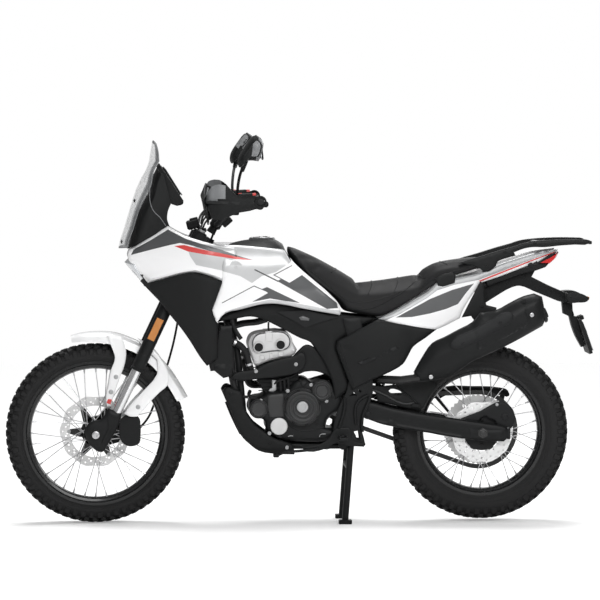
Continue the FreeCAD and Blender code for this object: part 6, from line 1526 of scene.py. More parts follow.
# Muffler and exhaust
MUFFLER = [(432, 343), (445, 336.5), (458, 329.5), (472, 322), (480, 312.5), (497, 309.5), (510, 302.5), (523, 296.2),
           (534, 293.3), (542, 296.5), (544.2, 308), (545, 320), (542.5, 326), (523, 337), (503, 347.5), (486, 355.5),
           (470, 363), (459, 371), (450, 376.5), (434, 380.5), (420, 382.3), (413.5, 372), (422, 357)]
kit = Kit(SATIN)


def muffler_shape(px, py):
    """Relief of the muffler at a pixel."""
    along = (px - 430) * 0.905 - (py - 352) * 0.425
    above = -((px - 490) * 0.42 + (py - 335) * 0.905)
    groove = 0.0035 * max(0.0, 1 - abs(along - 48) / 2.0) + 0.0035 * max(0.0, 1 - abs(along - 104) / 1.6)
    ridge = 2.0 + 7.0 * max(0.0, min(1.0, (along - 40) / 70))
    upper = 0.013 * max(0.0, min(1.0, (above - ridge) / 11))
    low = 0.014 * max(0.0, min(1.0, (-above - 9) / 10))
    fold = 0.004 * max(0.0, 1 - abs(above + 6) / 1.5) if 44 < along < 104 else 0.0
    return -groove - upper - low - fold - 0.016 * max(0.0, 1 - along / 30)


MUFFLER_CORNERS = (4, 8, 9, 12, 20, 21)
kit.add(pillow(MUFFLER, 0.223, 0.1775, crown=0.022, soft=11, gap=2.6, shape=muffler_shape, corners=MUFFLER_CORNERS))
kit.add(pillow(MUFFLER, -0.133, -0.1772, crown=0.018, soft=9, gap=3.2, corners=MUFFLER_CORNERS, side=1))
SHIELD = [(452, 340), (470, 331), (492, 319), (506, 312), (513, 314), (512, 321), (496, 331), (474, 343), (458, 349),
          (450, 347)]
add_panel(kit, SHIELD, CAST, 0.2262, 0.205, crown=0.003, soft=2.5, gap=2.4,
          shape=lambda px, py: muffler_shape(px, py) * 0.4)
for px, py in ((524, 301), (532, 315), (431, 377), (463, 343.5), (500, 323)):
    bolt(kit, spot(px, py, -0.2235 if px > 440 else -0.206), NEAR, 0.0058, 0.004, STEEL if px in (431, 532) else CAST)
end_way = Vector((at(545, 308) - at(500, 327))).normalized()
tail = at(541, 311) + Vector((0, -0.178, 0))
kit.add(turned_ring([(-0.03, 0.015), (0.004, 0.015), (0.006, 0.0165), (0.004, 0.0185), (-0.03, 0.019)], tail, end_way,
                    36), CAST)
kit.add(turned_ring([(-0.012, 0.02), (-0.004, 0.02), (0.0, 0.026), (-0.004, 0.032), (-0.012, 0.034)], tail, end_way,
                    40), CAST)
HANG = [(480, 281.5), (484, 282.5), (485, 300), (486.5, 305), (496.5, 307.5), (496.5, 311.3), (487.5, 317.5),
        (480, 322), (474, 320), (471, 316), (461.5, 317.5)]
add_panel(kit, HANG, SATIN, 0.125, 0.11, crown=0.003, soft=1.8, corners=(0, 1, 3, 4, 5, 6, 9, 10), gap=2.4)
bolt(kit, spot(482, 306, -0.1245), NEAR, 0.006, 0.004, CAST)
kit.make("muffler_can", "chassis", "muffler", slot="frame_black", sharp=32)

# Seat: a foam pad under vinyl that swells against its cover, with piping and sewn channels
SEAT = [(285.5, 245.5), (292, 248.5), (300, 253.5), (320, 266.5), (340, 279.5), (350, 285.5), (357, 289),
        (372, 288.3), (400, 284.3), (414, 281.5), (421, 278), (428, 270.5), (434, 265.3), (444, 262.2), (460, 260),
        (480, 256.8), (481, 267), (455, 274.5), (436, 282.5), (420, 292.5), (400, 305.5), (378, 316.5), (360, 314.5),
        (342, 310.5), (336, 301), (301, 270), (291, 260), (286, 252)]
SEAT_SIDE = [(302, 266), (306, 267), (312, 270), (324, 277), (340, 286), (350, 291), (357, 294), (372, 294),
             (399, 290), (412, 287.5), (420, 284), (427, 277.5), (434, 272), (444, 268.5), (458, 266), (472, 263),
             (472, 266.5), (455, 273), (436, 281), (420, 291), (400, 303), (379, 312), (362, 310), (346, 306),
             (340, 299), (320, 286), (312, 279), (305, 272)]


def swollen(shape, voxel, pressure, cap, steps=20):
    """The mesh of a pad after its cover swells: the underside is held and no point moves past the cap."""
    mesh = bpy.data.meshes.new("pad_start")
    mesh.from_pydata([tuple(v) for v in shape[0]], [], shape[1])
    bm = bmesh.new()
    bm.from_mesh(mesh)
    bmesh.ops.recalc_face_normals(bm, faces=bm.faces)
    bm.to_mesh(mesh)
    bm.free()
    pad = bpy.data.objects.new("pad_start", mesh)
    scene.collection.objects.link(pad)
    voxels = pad.modifiers.new("voxels", "REMESH")
    voxels.mode = "VOXEL"
    voxels.voxel_size = voxel
    sheet_mesh = bpy.data.meshes.new_from_object(pad.evaluated_get(bpy.context.evaluated_depsgraph_get()))
    pad.modifiers.clear()
    pad.data = sheet_mesh
    start = [v.co.copy() for v in sheet_mesh.vertices]
    faces = [list(p.vertices) for p in sheet_mesh.polygons]
    held = pad.vertex_groups.new(name="held")
    held.add([v.index for v in sheet_mesh.vertices if v.normal.z < -0.45], 1.0, "REPLACE")
    cloth = pad.modifiers.new("cover", "CLOTH")
    cloth.settings.quality = 4
    cloth.settings.mass = 0.35
    cloth.settings.tension_stiffness = 30
    cloth.settings.bending_stiffness = 6
    cloth.settings.use_pressure = True
    cloth.settings.uniform_pressure_force = pressure
    cloth.settings.vertex_group_mass = "held"
    cloth.settings.effector_weights.gravity = 0
    cloth.collision_settings.use_collision = False
    for step in range(1, steps + 1):
        scene.frame_set(step)
    puffed = bpy.data.meshes.new_from_object(pad.evaluated_get(bpy.context.evaluated_depsgraph_get()))
    ends = [v.co.copy() for v in puffed.vertices]
    pad.modifiers.clear()
    scene.frame_set(1)
    out = []
    for a, b in zip(start, ends):
        way = b - a
        out.append(a + way * (cap / way.length) if way.length > cap else b)
    bpy.data.objects.remove(pad)
    return out, faces


def relaxed(verts, faces, rounds=3):
    """Evens out the small steps that voxels leave."""
    near = {}
    for f in faces:
        for i, a in enumerate(f):
            b = f[(i + 1) % len(f)]
            near.setdefault(a, set()).add(b)
            near.setdefault(b, set()).add(a)
    for _ in range(rounds):
        verts = [v * 0.4 + sum((verts[j] for j in near[i]), Vector()) * (0.6 / len(near[i])) if i in near else v
                 for i, v in enumerate(verts)]
    return verts


kit = Kit(VINYL)
seat_base = across(drawn_in(SEAT, 0.012), drawn_in(SEAT_SIDE, 0.012), 0.118, SOFT, (0, 15, 16, 23), 3)
verts, faces = swollen(seat_base, 0.0065, 4.0, 0.026)
verts = relaxed(verts, faces, 4)
kit.add((verts, faces))
tree = BVHTree.FromPolygons(verts, faces)


def on_seat_side(px, py, side):
    """The seat's side at a pixel."""
    p = spot(px, py, -0.11)
    hit = tree.ray_cast(Vector((p.x, side * 1.0, p.z)), Vector((0, -side, 0)))
    return hit[0]


def on_seat_top(px, y):
    """The seat's top above a pixel column, at y."""
    hit = tree.ray_cast(Vector((at(px, 0).x, y, 2.0)), Vector((0, 0, -1)))
    return hit[0]


for line, thick in (([(337, 303.5), (343, 306.5), (350, 308.6), (358, 309.5), (366, 309.3), (374, 307.5), (382, 304),
                      (392, 298.5), (402, 292.5), (410, 286.5), (417, 281)], 0.002),
                    ([(304, 266.5), (312, 272), (322, 280), (330, 287), (338, 294), (344, 299), (352, 302),
                      (362, 302.5), (374, 300.5), (388, 296.5), (402, 291)], 0.0015),
                    ([(420, 289), (430, 281.5), (440, 276.5), (452, 272), (464, 268.5), (474, 265.5)], 0.0018)):
    for side in (-1, 1):
        pts = [on_seat_side(x, y, side) for x, y in line]
        pts = [p + Vector((0, side * 0.0002, 0)) for p in pts if p is not None]
        if len(pts) > 3:
            kit.add(tube(pts, thick, 8, 4), SATIN)
for px, reach_y in ((330, 0.075), (366, 0.105), (392, 0.108), (424, 0.095), (446, 0.092)):
    pts = [on_seat_top(px + bend * 6 * (1 - (y / reach_y) ** 2), y)
           for bend in ((-1 if px > 400 else 1),) for y in np.linspace(-reach_y, reach_y, 15)]
    pts = [p + Vector((0, 0, 0.0003)) for p in pts if p is not None]
    if len(pts) > 4:
        kit.add(tube(pts, 0.0018, 8, 3), SATIN)
seat = kit.make("seat_pad", "chassis", "seat", slot="seat_vinyl", sharp=60)
smoother = seat.modifiers.new("fine", "SUBSURF")
smoother.levels = smoother.render_levels = 1
fine_mesh = bpy.data.meshes.new_from_object(seat.evaluated_get(bpy.context.evaluated_depsgraph_get()))
seat.modifiers.clear()
seat.data = fine_mesh

# Engine
kit = Kit(CAST)
CASE = [(250.5, 400), (254, 397.5), (262, 396), (267, 392.5), (284, 391), (290, 387), (293, 382.5), (299, 378.8),
        (306, 378.5), (312, 382), (318, 380), (325, 380), (331, 383), (335, 390), (341, 396), (343, 404), (339, 411),
        (334, 413.5), (330.5, 416), (327, 420), (325, 427.5), (334, 429), (335, 437), (326, 441), (300, 441.5),
        (286, 440), (276, 437), (269.5, 433), (266, 428), (265, 421.5), (262, 418.8), (255, 418), (251.5, 415),
        (249.8, 409)]
add_panel(kit, CASE, CAST, 0.1065, 0.0, crown=0.02, soft=5, corners=(18, 19, 20, 21, 22), gap=2.8)
# The block and the cover rings below are in the lighter grey: painted sheen on the cast.
BLOCK = [(267.5, 395), (284, 393), (285, 417), (270, 418), (267, 408)]
add_panel(kit, BLOCK, SHEEN_GREY, 0.1115, 0.1, crown=0.004, soft=2.0, corners=(0, 1, 2, 3, 4), gap=2.6)
for (px, py), r, depth, rings in (((302, 407), 0.065, 0.041, 3), ((321.5, 390.5), 0.038, 0.024, 2),
                                  ((258.5, 408.7), 0.0335, 0.024, 1), ((279, 426.3), 0.0315, 0.01, 0)):
    c = spot(px, py, -0.1)
    profile = [(0, r * 1.04), (depth * 0.45, r * 1.04), (depth * 0.5, r * 0.99), (depth * 0.85, r * 0.97),
               (depth, r * 0.9)]
    share = 0.86
    for k in range(rings):
        profile += [(depth + 0.0005, r * share), (depth - 0.003, r * (share - 0.03)),
                    (depth - 0.003, r * (share - 0.1)), (depth + 0.0015, r * (share - 0.13))]
        share -= 0.22
    profile += [(depth + 0.001, max(r * share, 0.006)), (depth + 0.001, 0.004)]
    kit.add(lathe(profile, c, NEAR, 48), SHEEN_GREY)
    for k in range(8 if rings > 2 else 0):
        t = TURN * (k + 0.3) / 8
        bolt(kit, c + Vector((math.cos(t) * r * 0.96, -depth * 0.82, math.sin(t) * r * 0.96)), NEAR, 0.0042, 0.004,
             SATIN)
c = spot(302.5, 407, -0.1415)
kit.add(lathe([(0, 0.0205), (0.004, 0.0205), (0.006, 0.0185), (0.0065, 0.013), (0.0045, 0.012), (0.0045, 0.004)], c,
              NEAR, 32), CAST_SILVER_AND_HIGHLIGHT)
c = spot(279, 426.3, -0.1105)
kit.add(lathe([(0, 0.0305), (0.003, 0.0308), (0.005, 0.029), (0.0058, 0.024), (0.0062, 0.012), (0.006, 0.004)], c,
              NEAR, 40), HEAD_SILVER)
bolts(kit, ((263.5, 400.5), (262.5, 417), (287, 417), (317, 424), (289, 394), (332, 397)), -0.106, 0.004, 0.004,
      SATIN)
bolts(kit, ((287.8, 391), (311.2, 385), (326.5, 401), (269.5, 433.3), (261, 400.8)), -0.1075, 0.0052, 0.005,
      CAST_SILVER_AND_HIGHLIGHT)
# The second of these small silver curves is a painted highlight on the lower case.
for line in ([(288, 436.5), (290, 435.8), (293, 436)], [(319.5, 437), (320.5, 434.5), (325.5, 434)]):
    kit.add(tube([spot(x, y, -0.1085) for x, y in line], 0.0013, 8, 3), CAST_SILVER_AND_HIGHLIGHT)
for line in ([(268, 419), (272, 431), (281, 437.5)], [(288, 425), (297, 430), (312, 430.5), (324, 427)],
             [(291, 398), (296, 392.5)], [(300, 379.5), (303, 386), (308, 382)]):
    kit.add(tube([spot(x, y, -0.1045) for x, y in line], 0.004, 8, 4))
sump = [(266, 430), (275, 437), (290, 441), (322, 441), (336, 438), (334, 446), (310, 447), (280, 446.5), (264, 441)]
kit.add(across(sump, drawn_in(sump, 0.08), 0.06, FIRM, (), 3))
kit.mirrored()
kit.make("engine_case", "chassis", "crankcase", "engine_covers", slot="engine_black", sharp=35)

kit = Kit(HEAD_SILVER)
HEAD = [(253.5, 334), (262, 331.8), (285, 330.6), (289, 335), (292, 341), (297, 349.5), (293.5, 355), (280, 358),
        (268, 361.5), (255.5, 366.5), (252, 358), (249, 350), (247.7, 344), (250, 337)]
add_panel(kit, HEAD, HEAD_SILVER, 0.086, 0.0, crown=0.01, soft=3, corners=(2, 5, 9), gap=2.4)
CAM_COVER = [(250.5, 346), (251.5, 338.5), (256, 333.8), (262, 332.2), (284, 331.2), (289.5, 334.5), (292.3, 341),
             (290.5, 347.5), (285, 350.5), (272, 352), (260, 353.5), (253, 352)]
add_panel(kit, CAM_COVER, HEAD_SILVER, 0.0905, 0.08, crown=0.006, soft=2.2, gap=2.2)
groove = smooth_line(drawn_in(CAM_COVER, 0.11), (), 4)
kit.add(tube([spot(x, y, -0.09) for x, y in groove], 0.0026, 8, 1, closed=True), GREY)
for cx, cy in ((258.7, 347.3), (280.6, 344.8)):
    c = spot(cx, cy, -0.095)
    kit.add(turned_ring([(-0.002, 0.0155), (0.0028, 0.0155), (0.0038, 0.0172), (0.0028, 0.0195), (-0.002, 0.02)], c,
                        NEAR, 36))
    kit.add(lathe([(-0.002, 0.0155), (0.0016, 0.0155), (0.0016, 0.0085), (0.0022, 0.008), (0.0022, 0.003)], c, NEAR,
                  28), PLASTIC)
kit.add(slab([(265, 331.4), (272.5, 331), (273, 341.5), (266, 342)], -0.0925, -0.086, 0.0012))
for px, py, w in ((262, 357.5, 0.018), (271, 355.8, 0.014), (281, 354, 0.02)):
    kit.add(block(spot(px, py, -0.083), (w, 0.012, 0.018), (1, 0, 0.12), bevel=0.3))
bolts(kit, ((254.5, 336), (286.5, 333.5), (293, 351), (255.5, 361.5)), -0.085, 0.0042, 0.004, STEEL)
kit.mirrored()
kit.make("cylinder_head_cover", "chassis", "cylinder_head", slot="engine_silver", sharp=32)

kit = Kit(CAST)
for k in range(8):
    t = k / 7
    l, r_ = (253.5 + 5 * t, 367 + 23 * t), (298 + 5.5 * t, 359.5 + 28 * t)
    kit.add(slab([l, r_, (r_[0], r_[1] + 1.0), (l[0], l[1] + 1.0)], -0.0735, 0.0735, 0.0016, gap=12))
core = [(256, 364), (268, 361.2), (293, 356.5), (298, 374), (300, 390.5), (264, 392.5), (256, 378)]
kit.add(across(core, drawn_in(core, 0.05), 0.0655, FIRM, (0, 2, 4, 5), 3))
c = spot(273, 385, -0.072)
SENSOR = [(272, 380), (276, 380), (276.4, 390), (273, 392), (268.5, 391.2), (269.5, 389), (272, 387.5)]
kit.add(slab(SENSOR, -0.09, -0.072, 0.002), CAST_SILVER_AND_HIGHLIGHT)
kit.add(tube([c + Vector((0, -0.012, 0)), c + Vector((0.012, -0.02, 0.012)), spot(288, 378, -0.08),
              spot(297, 374, -0.078)], 0.0035, 8, 4), GRIP)
for px in (280, 284, 288):
    kit.add(tube([spot(px, 378, -0.081), spot(px + 0.5, 385, -0.084), spot(px + 1, 391, -0.088)], 0.0042, 8, 3), GRIP)
BAR_MOUNT = [(231, 377), (234, 373.2), (256, 369), (266, 363.5), (280, 359), (293.5, 356), (303, 352), (306, 360),
             (303, 369), (297, 373), (280, 376.5), (262, 378.5), (234, 379.5)]
MOUNT_PLATE = [(292, 357), (298, 350.5), (306, 344.5), (314, 347), (330, 363), (342, 385), (342, 394), (337, 394),
               (334, 386), (330, 378), (324, 374), (315, 371.2), (305, 371.8), (297, 374)]
for side in (-1, 1):
    for line, y_out, y_in in ((BAR_MOUNT, 0.108, 0.096), (MOUNT_PLATE, 0.0885, 0.078)):
        kit.add(pillow(line, side * -y_out, side * -y_in, crown=-0.004 * side, soft=2.4, gap=2.6, corners=(0, 5)),
                SATIN)
bolts(kit, ((256, 371.3), (296, 364.3)), -0.1075, 0.0052, 0.005, CAST_SILVER_AND_HIGHLIGHT)
HOSE_LINE = [(227, 338, -0.09), (234, 342, -0.094), (241, 346, -0.094), (246, 353, -0.09), (249, 363, -0.086),
             (252, 373, -0.08)]
kit.add(tube([spot(*p) for p in HOSE_LINE], 0.0115, 14, 4), GRIP)
for i in (1, 4):
    a, b = spot(*HOSE_LINE[i]), spot(*HOSE_LINE[i + 1])
    kit.add(turned_ring([(0, 0.0118), (0, 0.0135), (0.008, 0.0135), (0.008, 0.0118)], a, b - a, 24), STEEL)
for pts, r in (([(246, 378, -0.07), (243, 380, -0.085), (238, 378.5, -0.092), (233, 370, -0.095),
                 (232.5, 358, -0.095)], 0.006), ([(250, 391, -0.07), (249, 395, -0.085), (253, 398, -0.092),
                                                  (258, 399, -0.095)], 0.0065),
               ([(232, 380, -0.08), (236, 390, -0.088), (240, 396, -0.09), (248, 397, -0.09)], 0.0055)):
    kit.add(tube([spot(*p) for p in pts], r, 10, 4), GRIP)
kit.add(block(spot(302, 363, -0.055), (0.044, 0.06, 0.046), (1, 0, 0.2), bevel=0.25), PLASTIC)
kit.add(block(spot(236.5, 392, -0.07), (0.018, 0.04, 0.04), (1, 0, 0.2), bevel=0.25), PLASTIC)
for side in (-1, 1):
    for line, y, r, rounds, mat in (([(234, 325.5), (244, 323), (256, 321.8), (266, 319)], 0.095, 0.0064, 3, SATIN),
                                    ([(231, 318), (233, 326), (240, 337.5)], 0.0955, 0.0078, 3, GRIP),
                                    ([(227.5, 330), (230.5, 352), (232, 378), (236, 392), (242, 401)], 0.083, 0.0098,
                                     4, GRIP)):
        kit.add(tube([at(px, py, side * y) for px, py in line], r, 12, rounds), mat)
kit.add(tube([spot(268.6, 322, -0.086), spot(268.4, 326, -0.087), spot(268.8, 332, -0.086)], 0.0034, 8, 3), GRIP)
kit.make("cylinder_barrel_and_hoses", "chassis", "cylinder", slot="engine_black", sharp=35)

# Skid plate
SKID = [(222.5, 392), (224.5, 388.5), (228, 386.6), (233, 388.5), (238, 390), (241.5, 392), (243.5, 400),
        (244.5, 406), (246.5, 411.5), (250.5, 418), (255, 424), (261, 428.8), (267, 433.2), (275, 438), (285, 441.3),
        (293, 445.2), (294, 449), (292.5, 452.2), (275, 451.8), (258, 448.6), (248, 441.3), (240, 433), (231, 412)]
kit = Kit(PLASTIC)
add_panel(kit, SKID, PLASTIC, 0.1045, 0.092, crown=0.008, soft=4, corners=(0, 17, 19), gap=2.8,
          shape=lambda px, py: -0.0015 * (abs((px - 240) * 0.62 - (py - 408)) < 1.4))
for px, py in ((231, 394), (270, 443), (287, 447.5)):
    bolt(kit, spot(px, py, -0.1035), NEAR, 0.0055, 0.003, CAST_SILVER_AND_HIGHLIGHT if px > 280 else SATIN)
kit.mirrored()
BELLY = [(222.8, 391.5), (226, 388.5), (229, 391), (244, 428), (252, 438), (263, 445), (293, 447.5), (293.5, 452.5),
         (275, 452), (258, 449), (248, 441.8), (240, 433.5), (231, 412)]
kit.add(across(BELLY, drawn_in(BELLY, 0.01), 0.0945, FIRM, (0, 1, 6, 7), 3))
for k in range(5):
    y = (k - 2) * 0.035
    kit.add(tube([at(228, 403) + Vector((-0.006, y, 0)), at(235, 420) + Vector((-0.006, y, 0)),
                  at(241, 432) + Vector((-0.005, y, -0.002))], 0.004, 8, 3))
kit.make("skid_shell", "chassis", "skid_plate", slot="black_plastic", sharp=35)

# Swingarm, chain, guard and shock
ARM = [(360.5, 405), (366, 401.5), (374, 402.5), (386, 406), (400, 409.2), (420, 413), (440, 416), (470, 420.5),
       (500, 425), (506, 427), (508.5, 432), (507.5, 438), (503.5, 441.5), (490, 441.2), (475, 440), (460, 438.3),
       (440, 435), (425, 432.2), (398, 427.5), (383, 424.5), (374, 421.5), (366, 418), (360.5, 412)]
ARM_PIVOT = (366, 412)
kit = Kit(SATIN)
add_panel(kit, ARM, SATIN, 0.109, 0.0845, crown=0.008, soft=4.5, corners=(8, 12), gap=3.0,
          shape=lambda px, py: -0.004 * (378 < px < 462 and abs((py - 405) - (px - 360) * 0.19 - 9.5) < 2.6))
kit.add(slab([(470, 428.5), (502, 430.5), (503.5, 434), (502, 439), (470, 437.5)], -0.1112, -0.106, 0.0012), CAST)
kit.add(slab([(474, 431.5), (497, 433), (497, 436.5), (474, 435.2)], -0.112, -0.11, 0.0006))
kit.add(block(spot(508.5, 433.5, -0.097), (0.012, 0.018, 0.04), bevel=0.25), CAST)
bolt(kit, spot(510, 433.5, -0.097), (1, 0, 0), 0.005, 0.008, STEEL)
kit.mirrored()
kit.add(tube([at(*ARM_PIVOT) + Vector((0, y, 0)) for y in (-0.1115, -0.05, 0.05, 0.1115)], 0.0198, 24, 1))
for side in (-1, 1):
    kit.add(lathe([(-0.004, 0.012), (0.006, 0.012), (0.0075, 0.01), (0.0075, 0.004)],
                  at(*ARM_PIVOT) + Vector((0, side * 0.1085, 0)), (0, side, 0), 6), CAST)
brace_end = REAR.x - 0.32 - 0.0247
brace_low, brace_high = at(0, 421).z, at(0, 405).z
kit.add(block(((brace_end - 0.0218), 0, (brace_low + brace_high) / 2 - 0.003),
              (0.0425, 0.172, brace_high - brace_low - 0.008), bevel=0.3))
kit.make("swingarm_beams", "chassis", "swingarm", slot="frame_black", sharp=35)

front_sprocket = at(338.0, 409.5)


def chain_loop(small, large, pitch):
    """Points at an even pitch round both sprockets."""
    span = Vector((REAR.x - front_sprocket.x, 0, REAR.z - front_sprocket.z))
    tilt = math.atan2(span.z, span.x)
    swing = math.acos((small - large) / span.length)
    line = []
    for c, r, begin, turn, count in ((REAR, large, tilt + swing, -2 * swing, 60),
                                     (front_sprocket, small, tilt - swing, -2 * (math.pi - swing), 30)):
        for k in range(count + 1):
            t = begin + turn * k / count
            line.append(Vector((c.x + r * math.cos(t), 0, c.z + r * math.sin(t))))
    steps = [0.0]
    closed = line + [line[0]]
    for a, b in zip(closed, closed[1:]):
        steps.append(steps[-1] + (b - a).length)
    count = 2 * round(steps[-1] / pitch / 2)
    places = []
    for k in range(count):
        d = steps[-1] * k / count
        i = max(j for j in range(len(closed) - 1) if steps[j] <= d)
        share = (d - steps[i]) / max(steps[i + 1] - steps[i], 1e-9)
        places.append(closed[i].lerp(closed[i + 1], share))
    return places


def link(a, b, y0, y1, r):
    """One link of the chain between two rollers."""
    way = (b - a).normalized()
    up = Vector((-way.z, 0, way.x))
    loop = []
    for c, turn in ((b, 0), (a, math.pi)):
        for k in range(5):
            t = turn + math.pi * (k / 4 - 0.5)
            loop.append(c + way * (r * math.cos(t)) + up * (r * math.sin(t)))
    return loft([[p + Vector((0, y, 0)) for p in loop] for y in (y0, y1)])


kit = Kit(DARK_STEEL)
CHAIN_Y = 0.07
places = chain_loop(0.038, 0.136, 0.0155)
for k, p in enumerate(places):
    q = places[(k + 1) % len(places)]
    y = 0.0072 if k % 2 else 0.0052
    for side in (-1, 1):
        kit.add(link(p, q, CHAIN_Y + side * y, CHAIN_Y + side * (y + 0.0016), 0.0078))
    kit.add(lathe([(-0.0086, 0.0026), (-0.005, 0.0027), (-0.0049, 0.0046), (0.0049, 0.0046), (0.005, 0.0027),
                   (0.0086, 0.0026)], p + Vector((0, CHAIN_Y, 0)), ACROSS, 10))
kit.make("chain_links", "chassis", "chain", slot="steel", sharp=40)

kit = Kit(PLASTIC)
GUARD = [(436, 392), (445, 387), (470, 386.5), (500, 388), (508, 391), (509, 396), (500, 395), (470, 394), (447, 395),
         (438, 400)]
kit.add(slab(GUARD, 0.082, 0.086, 0.0012, corners=(0, 9), gap=6))
kit.add(slab([(436, 391.5), (445, 386.5), (470, 386), (500, 387.5), (508, 390.5), (508, 392), (500, 389.5),
              (470, 388), (446, 388.5), (437, 393.5)], 0.058, 0.0865, 0.001, corners=(0, 9), gap=6))
kit.add(slab([(434.5, 397.5), (437.5, 396.5), (454, 414.5), (450, 415.5)], 0.0835, 0.089, 0.001, gap=8))
kit.add(slab([(436, 391.5), (440, 394), (438, 399), (433.5, 398)], 0.082, 0.087, 0.001, gap=8))
kit.add(slab([(500, 392), (505, 394), (501, 418), (497, 417)], 0.0835, 0.089, 0.001, gap=8))
kit.make("chain_guard", "chassis")

shift = (brace_end - at(386, 0).x) / PX
low, high = at(381.9 + shift, 409), at(371.5, 338)
axis = high - low
d, u, v = frame_of(axis)
kit = Kit(SATIN)
kit.add(lathe([(0.016, 0.01), (0.05, 0.0105), (axis.length * 0.45, 0.0105), (axis.length * 0.46, 0.019),
               (axis.length * 0.8, 0.019), (axis.length * 0.82, 0.023), (axis.length * 0.88, 0.023),
               (axis.length * 0.885, 0.0145), (axis.length - 0.016, 0.0145)], low, axis, 28))
kit.add(lathe([(0.034, 0.0145), (0.038, 0.0235), (0.046, 0.0235), (0.048, 0.014)], low, axis, 28), CAST)
helix = []
turns, first, last = 6.5, 0.05, axis.length * 0.81
for k in range(int(turns * 14) + 1):
    t = k / (turns * 14)
    a = TURN * turns * t
    helix.append(low + d * (first + (last - first) * t) + (u * math.cos(a) + v * math.sin(a)) * 0.0215)
kit.add(tube(helix, 0.0042, 8, 1), CAST)
for end in (low + d * 0.012, high - d * 0.012):
    kit.add(crossbar(end, 0.016, 0.008, 0.015, 0.0125, 24), CAST)
kit.make("shock_and_spring", "chassis", "rear_shock", slot="frame_black", sharp=40)

# Frame
def bent(points, radius, turns=6):
    """A line with its inner corners rounded."""
    out = [points[0]]
    for a, b, c in zip(points, points[1:], points[2:]):
        back, ahead = a - b, c - b
        cut = min(radius, back.length * 0.45, ahead.length * 0.45)
        p, q = b + back.normalized() * cut, b + ahead.normalized() * cut
        for k in range(turns + 1):
            t = k / turns
            out.append(p * (1 - t) ** 2 + b * (2 * t * (1 - t)) + q * t * t)
    return out + [points[-1]]


def weld(kit, place, direction, radius):
    """The ring of weld beads where a tube meets another part."""
    d, u, v = frame_of(direction)
    for k in range(14):
        t = TURN * k / 14
        c = Vector(place) + (u * math.cos(t) + v * math.sin(t)) * radius
        kit.add(lathe([(-0.0032, 0.0012), (-0.002, 0.003), (0.002, 0.003), (0.0032, 0.0012)], c, d, 7), SATIN)


kit = Kit(SATIN)
lower = fork_end + (fork_top - fork_end) * 0.73 + fork_back * 0.032 + fork_way * 0.0145
upper = fork_end + (fork_top - fork_end) * 0.969 + fork_back * 0.032 - fork_way * 0.0145
reach_up = (upper - lower).length
kit.add(turned_ring([(0, 0.0146), (0, 0.0268), (0.004, 0.027), (0.018, 0.027), (0.02, 0.025),
                     (reach_up - 0.02, 0.025), (reach_up - 0.018, 0.027), (reach_up - 0.002, 0.027),
                     (reach_up, 0.0262), (reach_up, 0.0146)], lower, fork_way, 40))
backbone = [at(203, 262), at(236, 302.6), at(352, 325.6)]
kit.add(tube(bent(backbone, 0.046), 0.0228, 20, 1))
weld(kit, at(208, 268), backbone[1] - backbone[0], 0.0232)
for px, py in ((352, 327), (340.5, 443.5)):
    kit.add(crossbar(at(px, py), 0.1235, 0.01, 0.1235, 0.0138, 28))
RAIL_ENDS = ((430, 303.0), (529, 264.8))
for px, py in RAIL_ENDS:
    kit.add(crossbar(at(px, py), 0.0955, 0.007, 0.095, 0.01, 20))
mount = [(350, 322), (372, 328), (376.5, 336), (375.6, 337.3), (367.4, 338.5), (350, 333)]
for side in (-1, 1):
    kit.add(slab(mount, side * 0.017, side * 0.023, 0.001, exact=False))
    bolt(kit, at(371.5, 337.0) + Vector((0, side * 0.0225, 0.004)), (0, side, 0), 0.0065, 0.005, CAST)
kit.add(slab([(350, 322.5), (366, 327), (366, 331), (350, 332)], -0.0225, 0.0225, 0.001, exact=False))
PLATE_EDGE = [(343, 318), (360, 318), (368, 350), (373, 391), (371.5, 398), (368, 408), (363.5, 419), (362, 430),
              (364, 438), (365.5, 445), (363, 446.5), (341, 445), (336, 442.5), (333.8, 434), (333.5, 428),
              (336, 415), (343, 398), (347, 390), (350, 352)]
PLATE_HOLES = [[(354, 431.5), (358, 430.7), (360, 434), (361, 441.3), (356.8, 439.8)],
               [(348.8, 396.4), (352, 393.8), (354.5, 392), (357.5, 396.5), (354.5, 395.2)],
               [(358, 389.5), (361.8, 391), (360.3, 393)], [(354, 330), (359, 330), (362, 346), (357, 346)]]
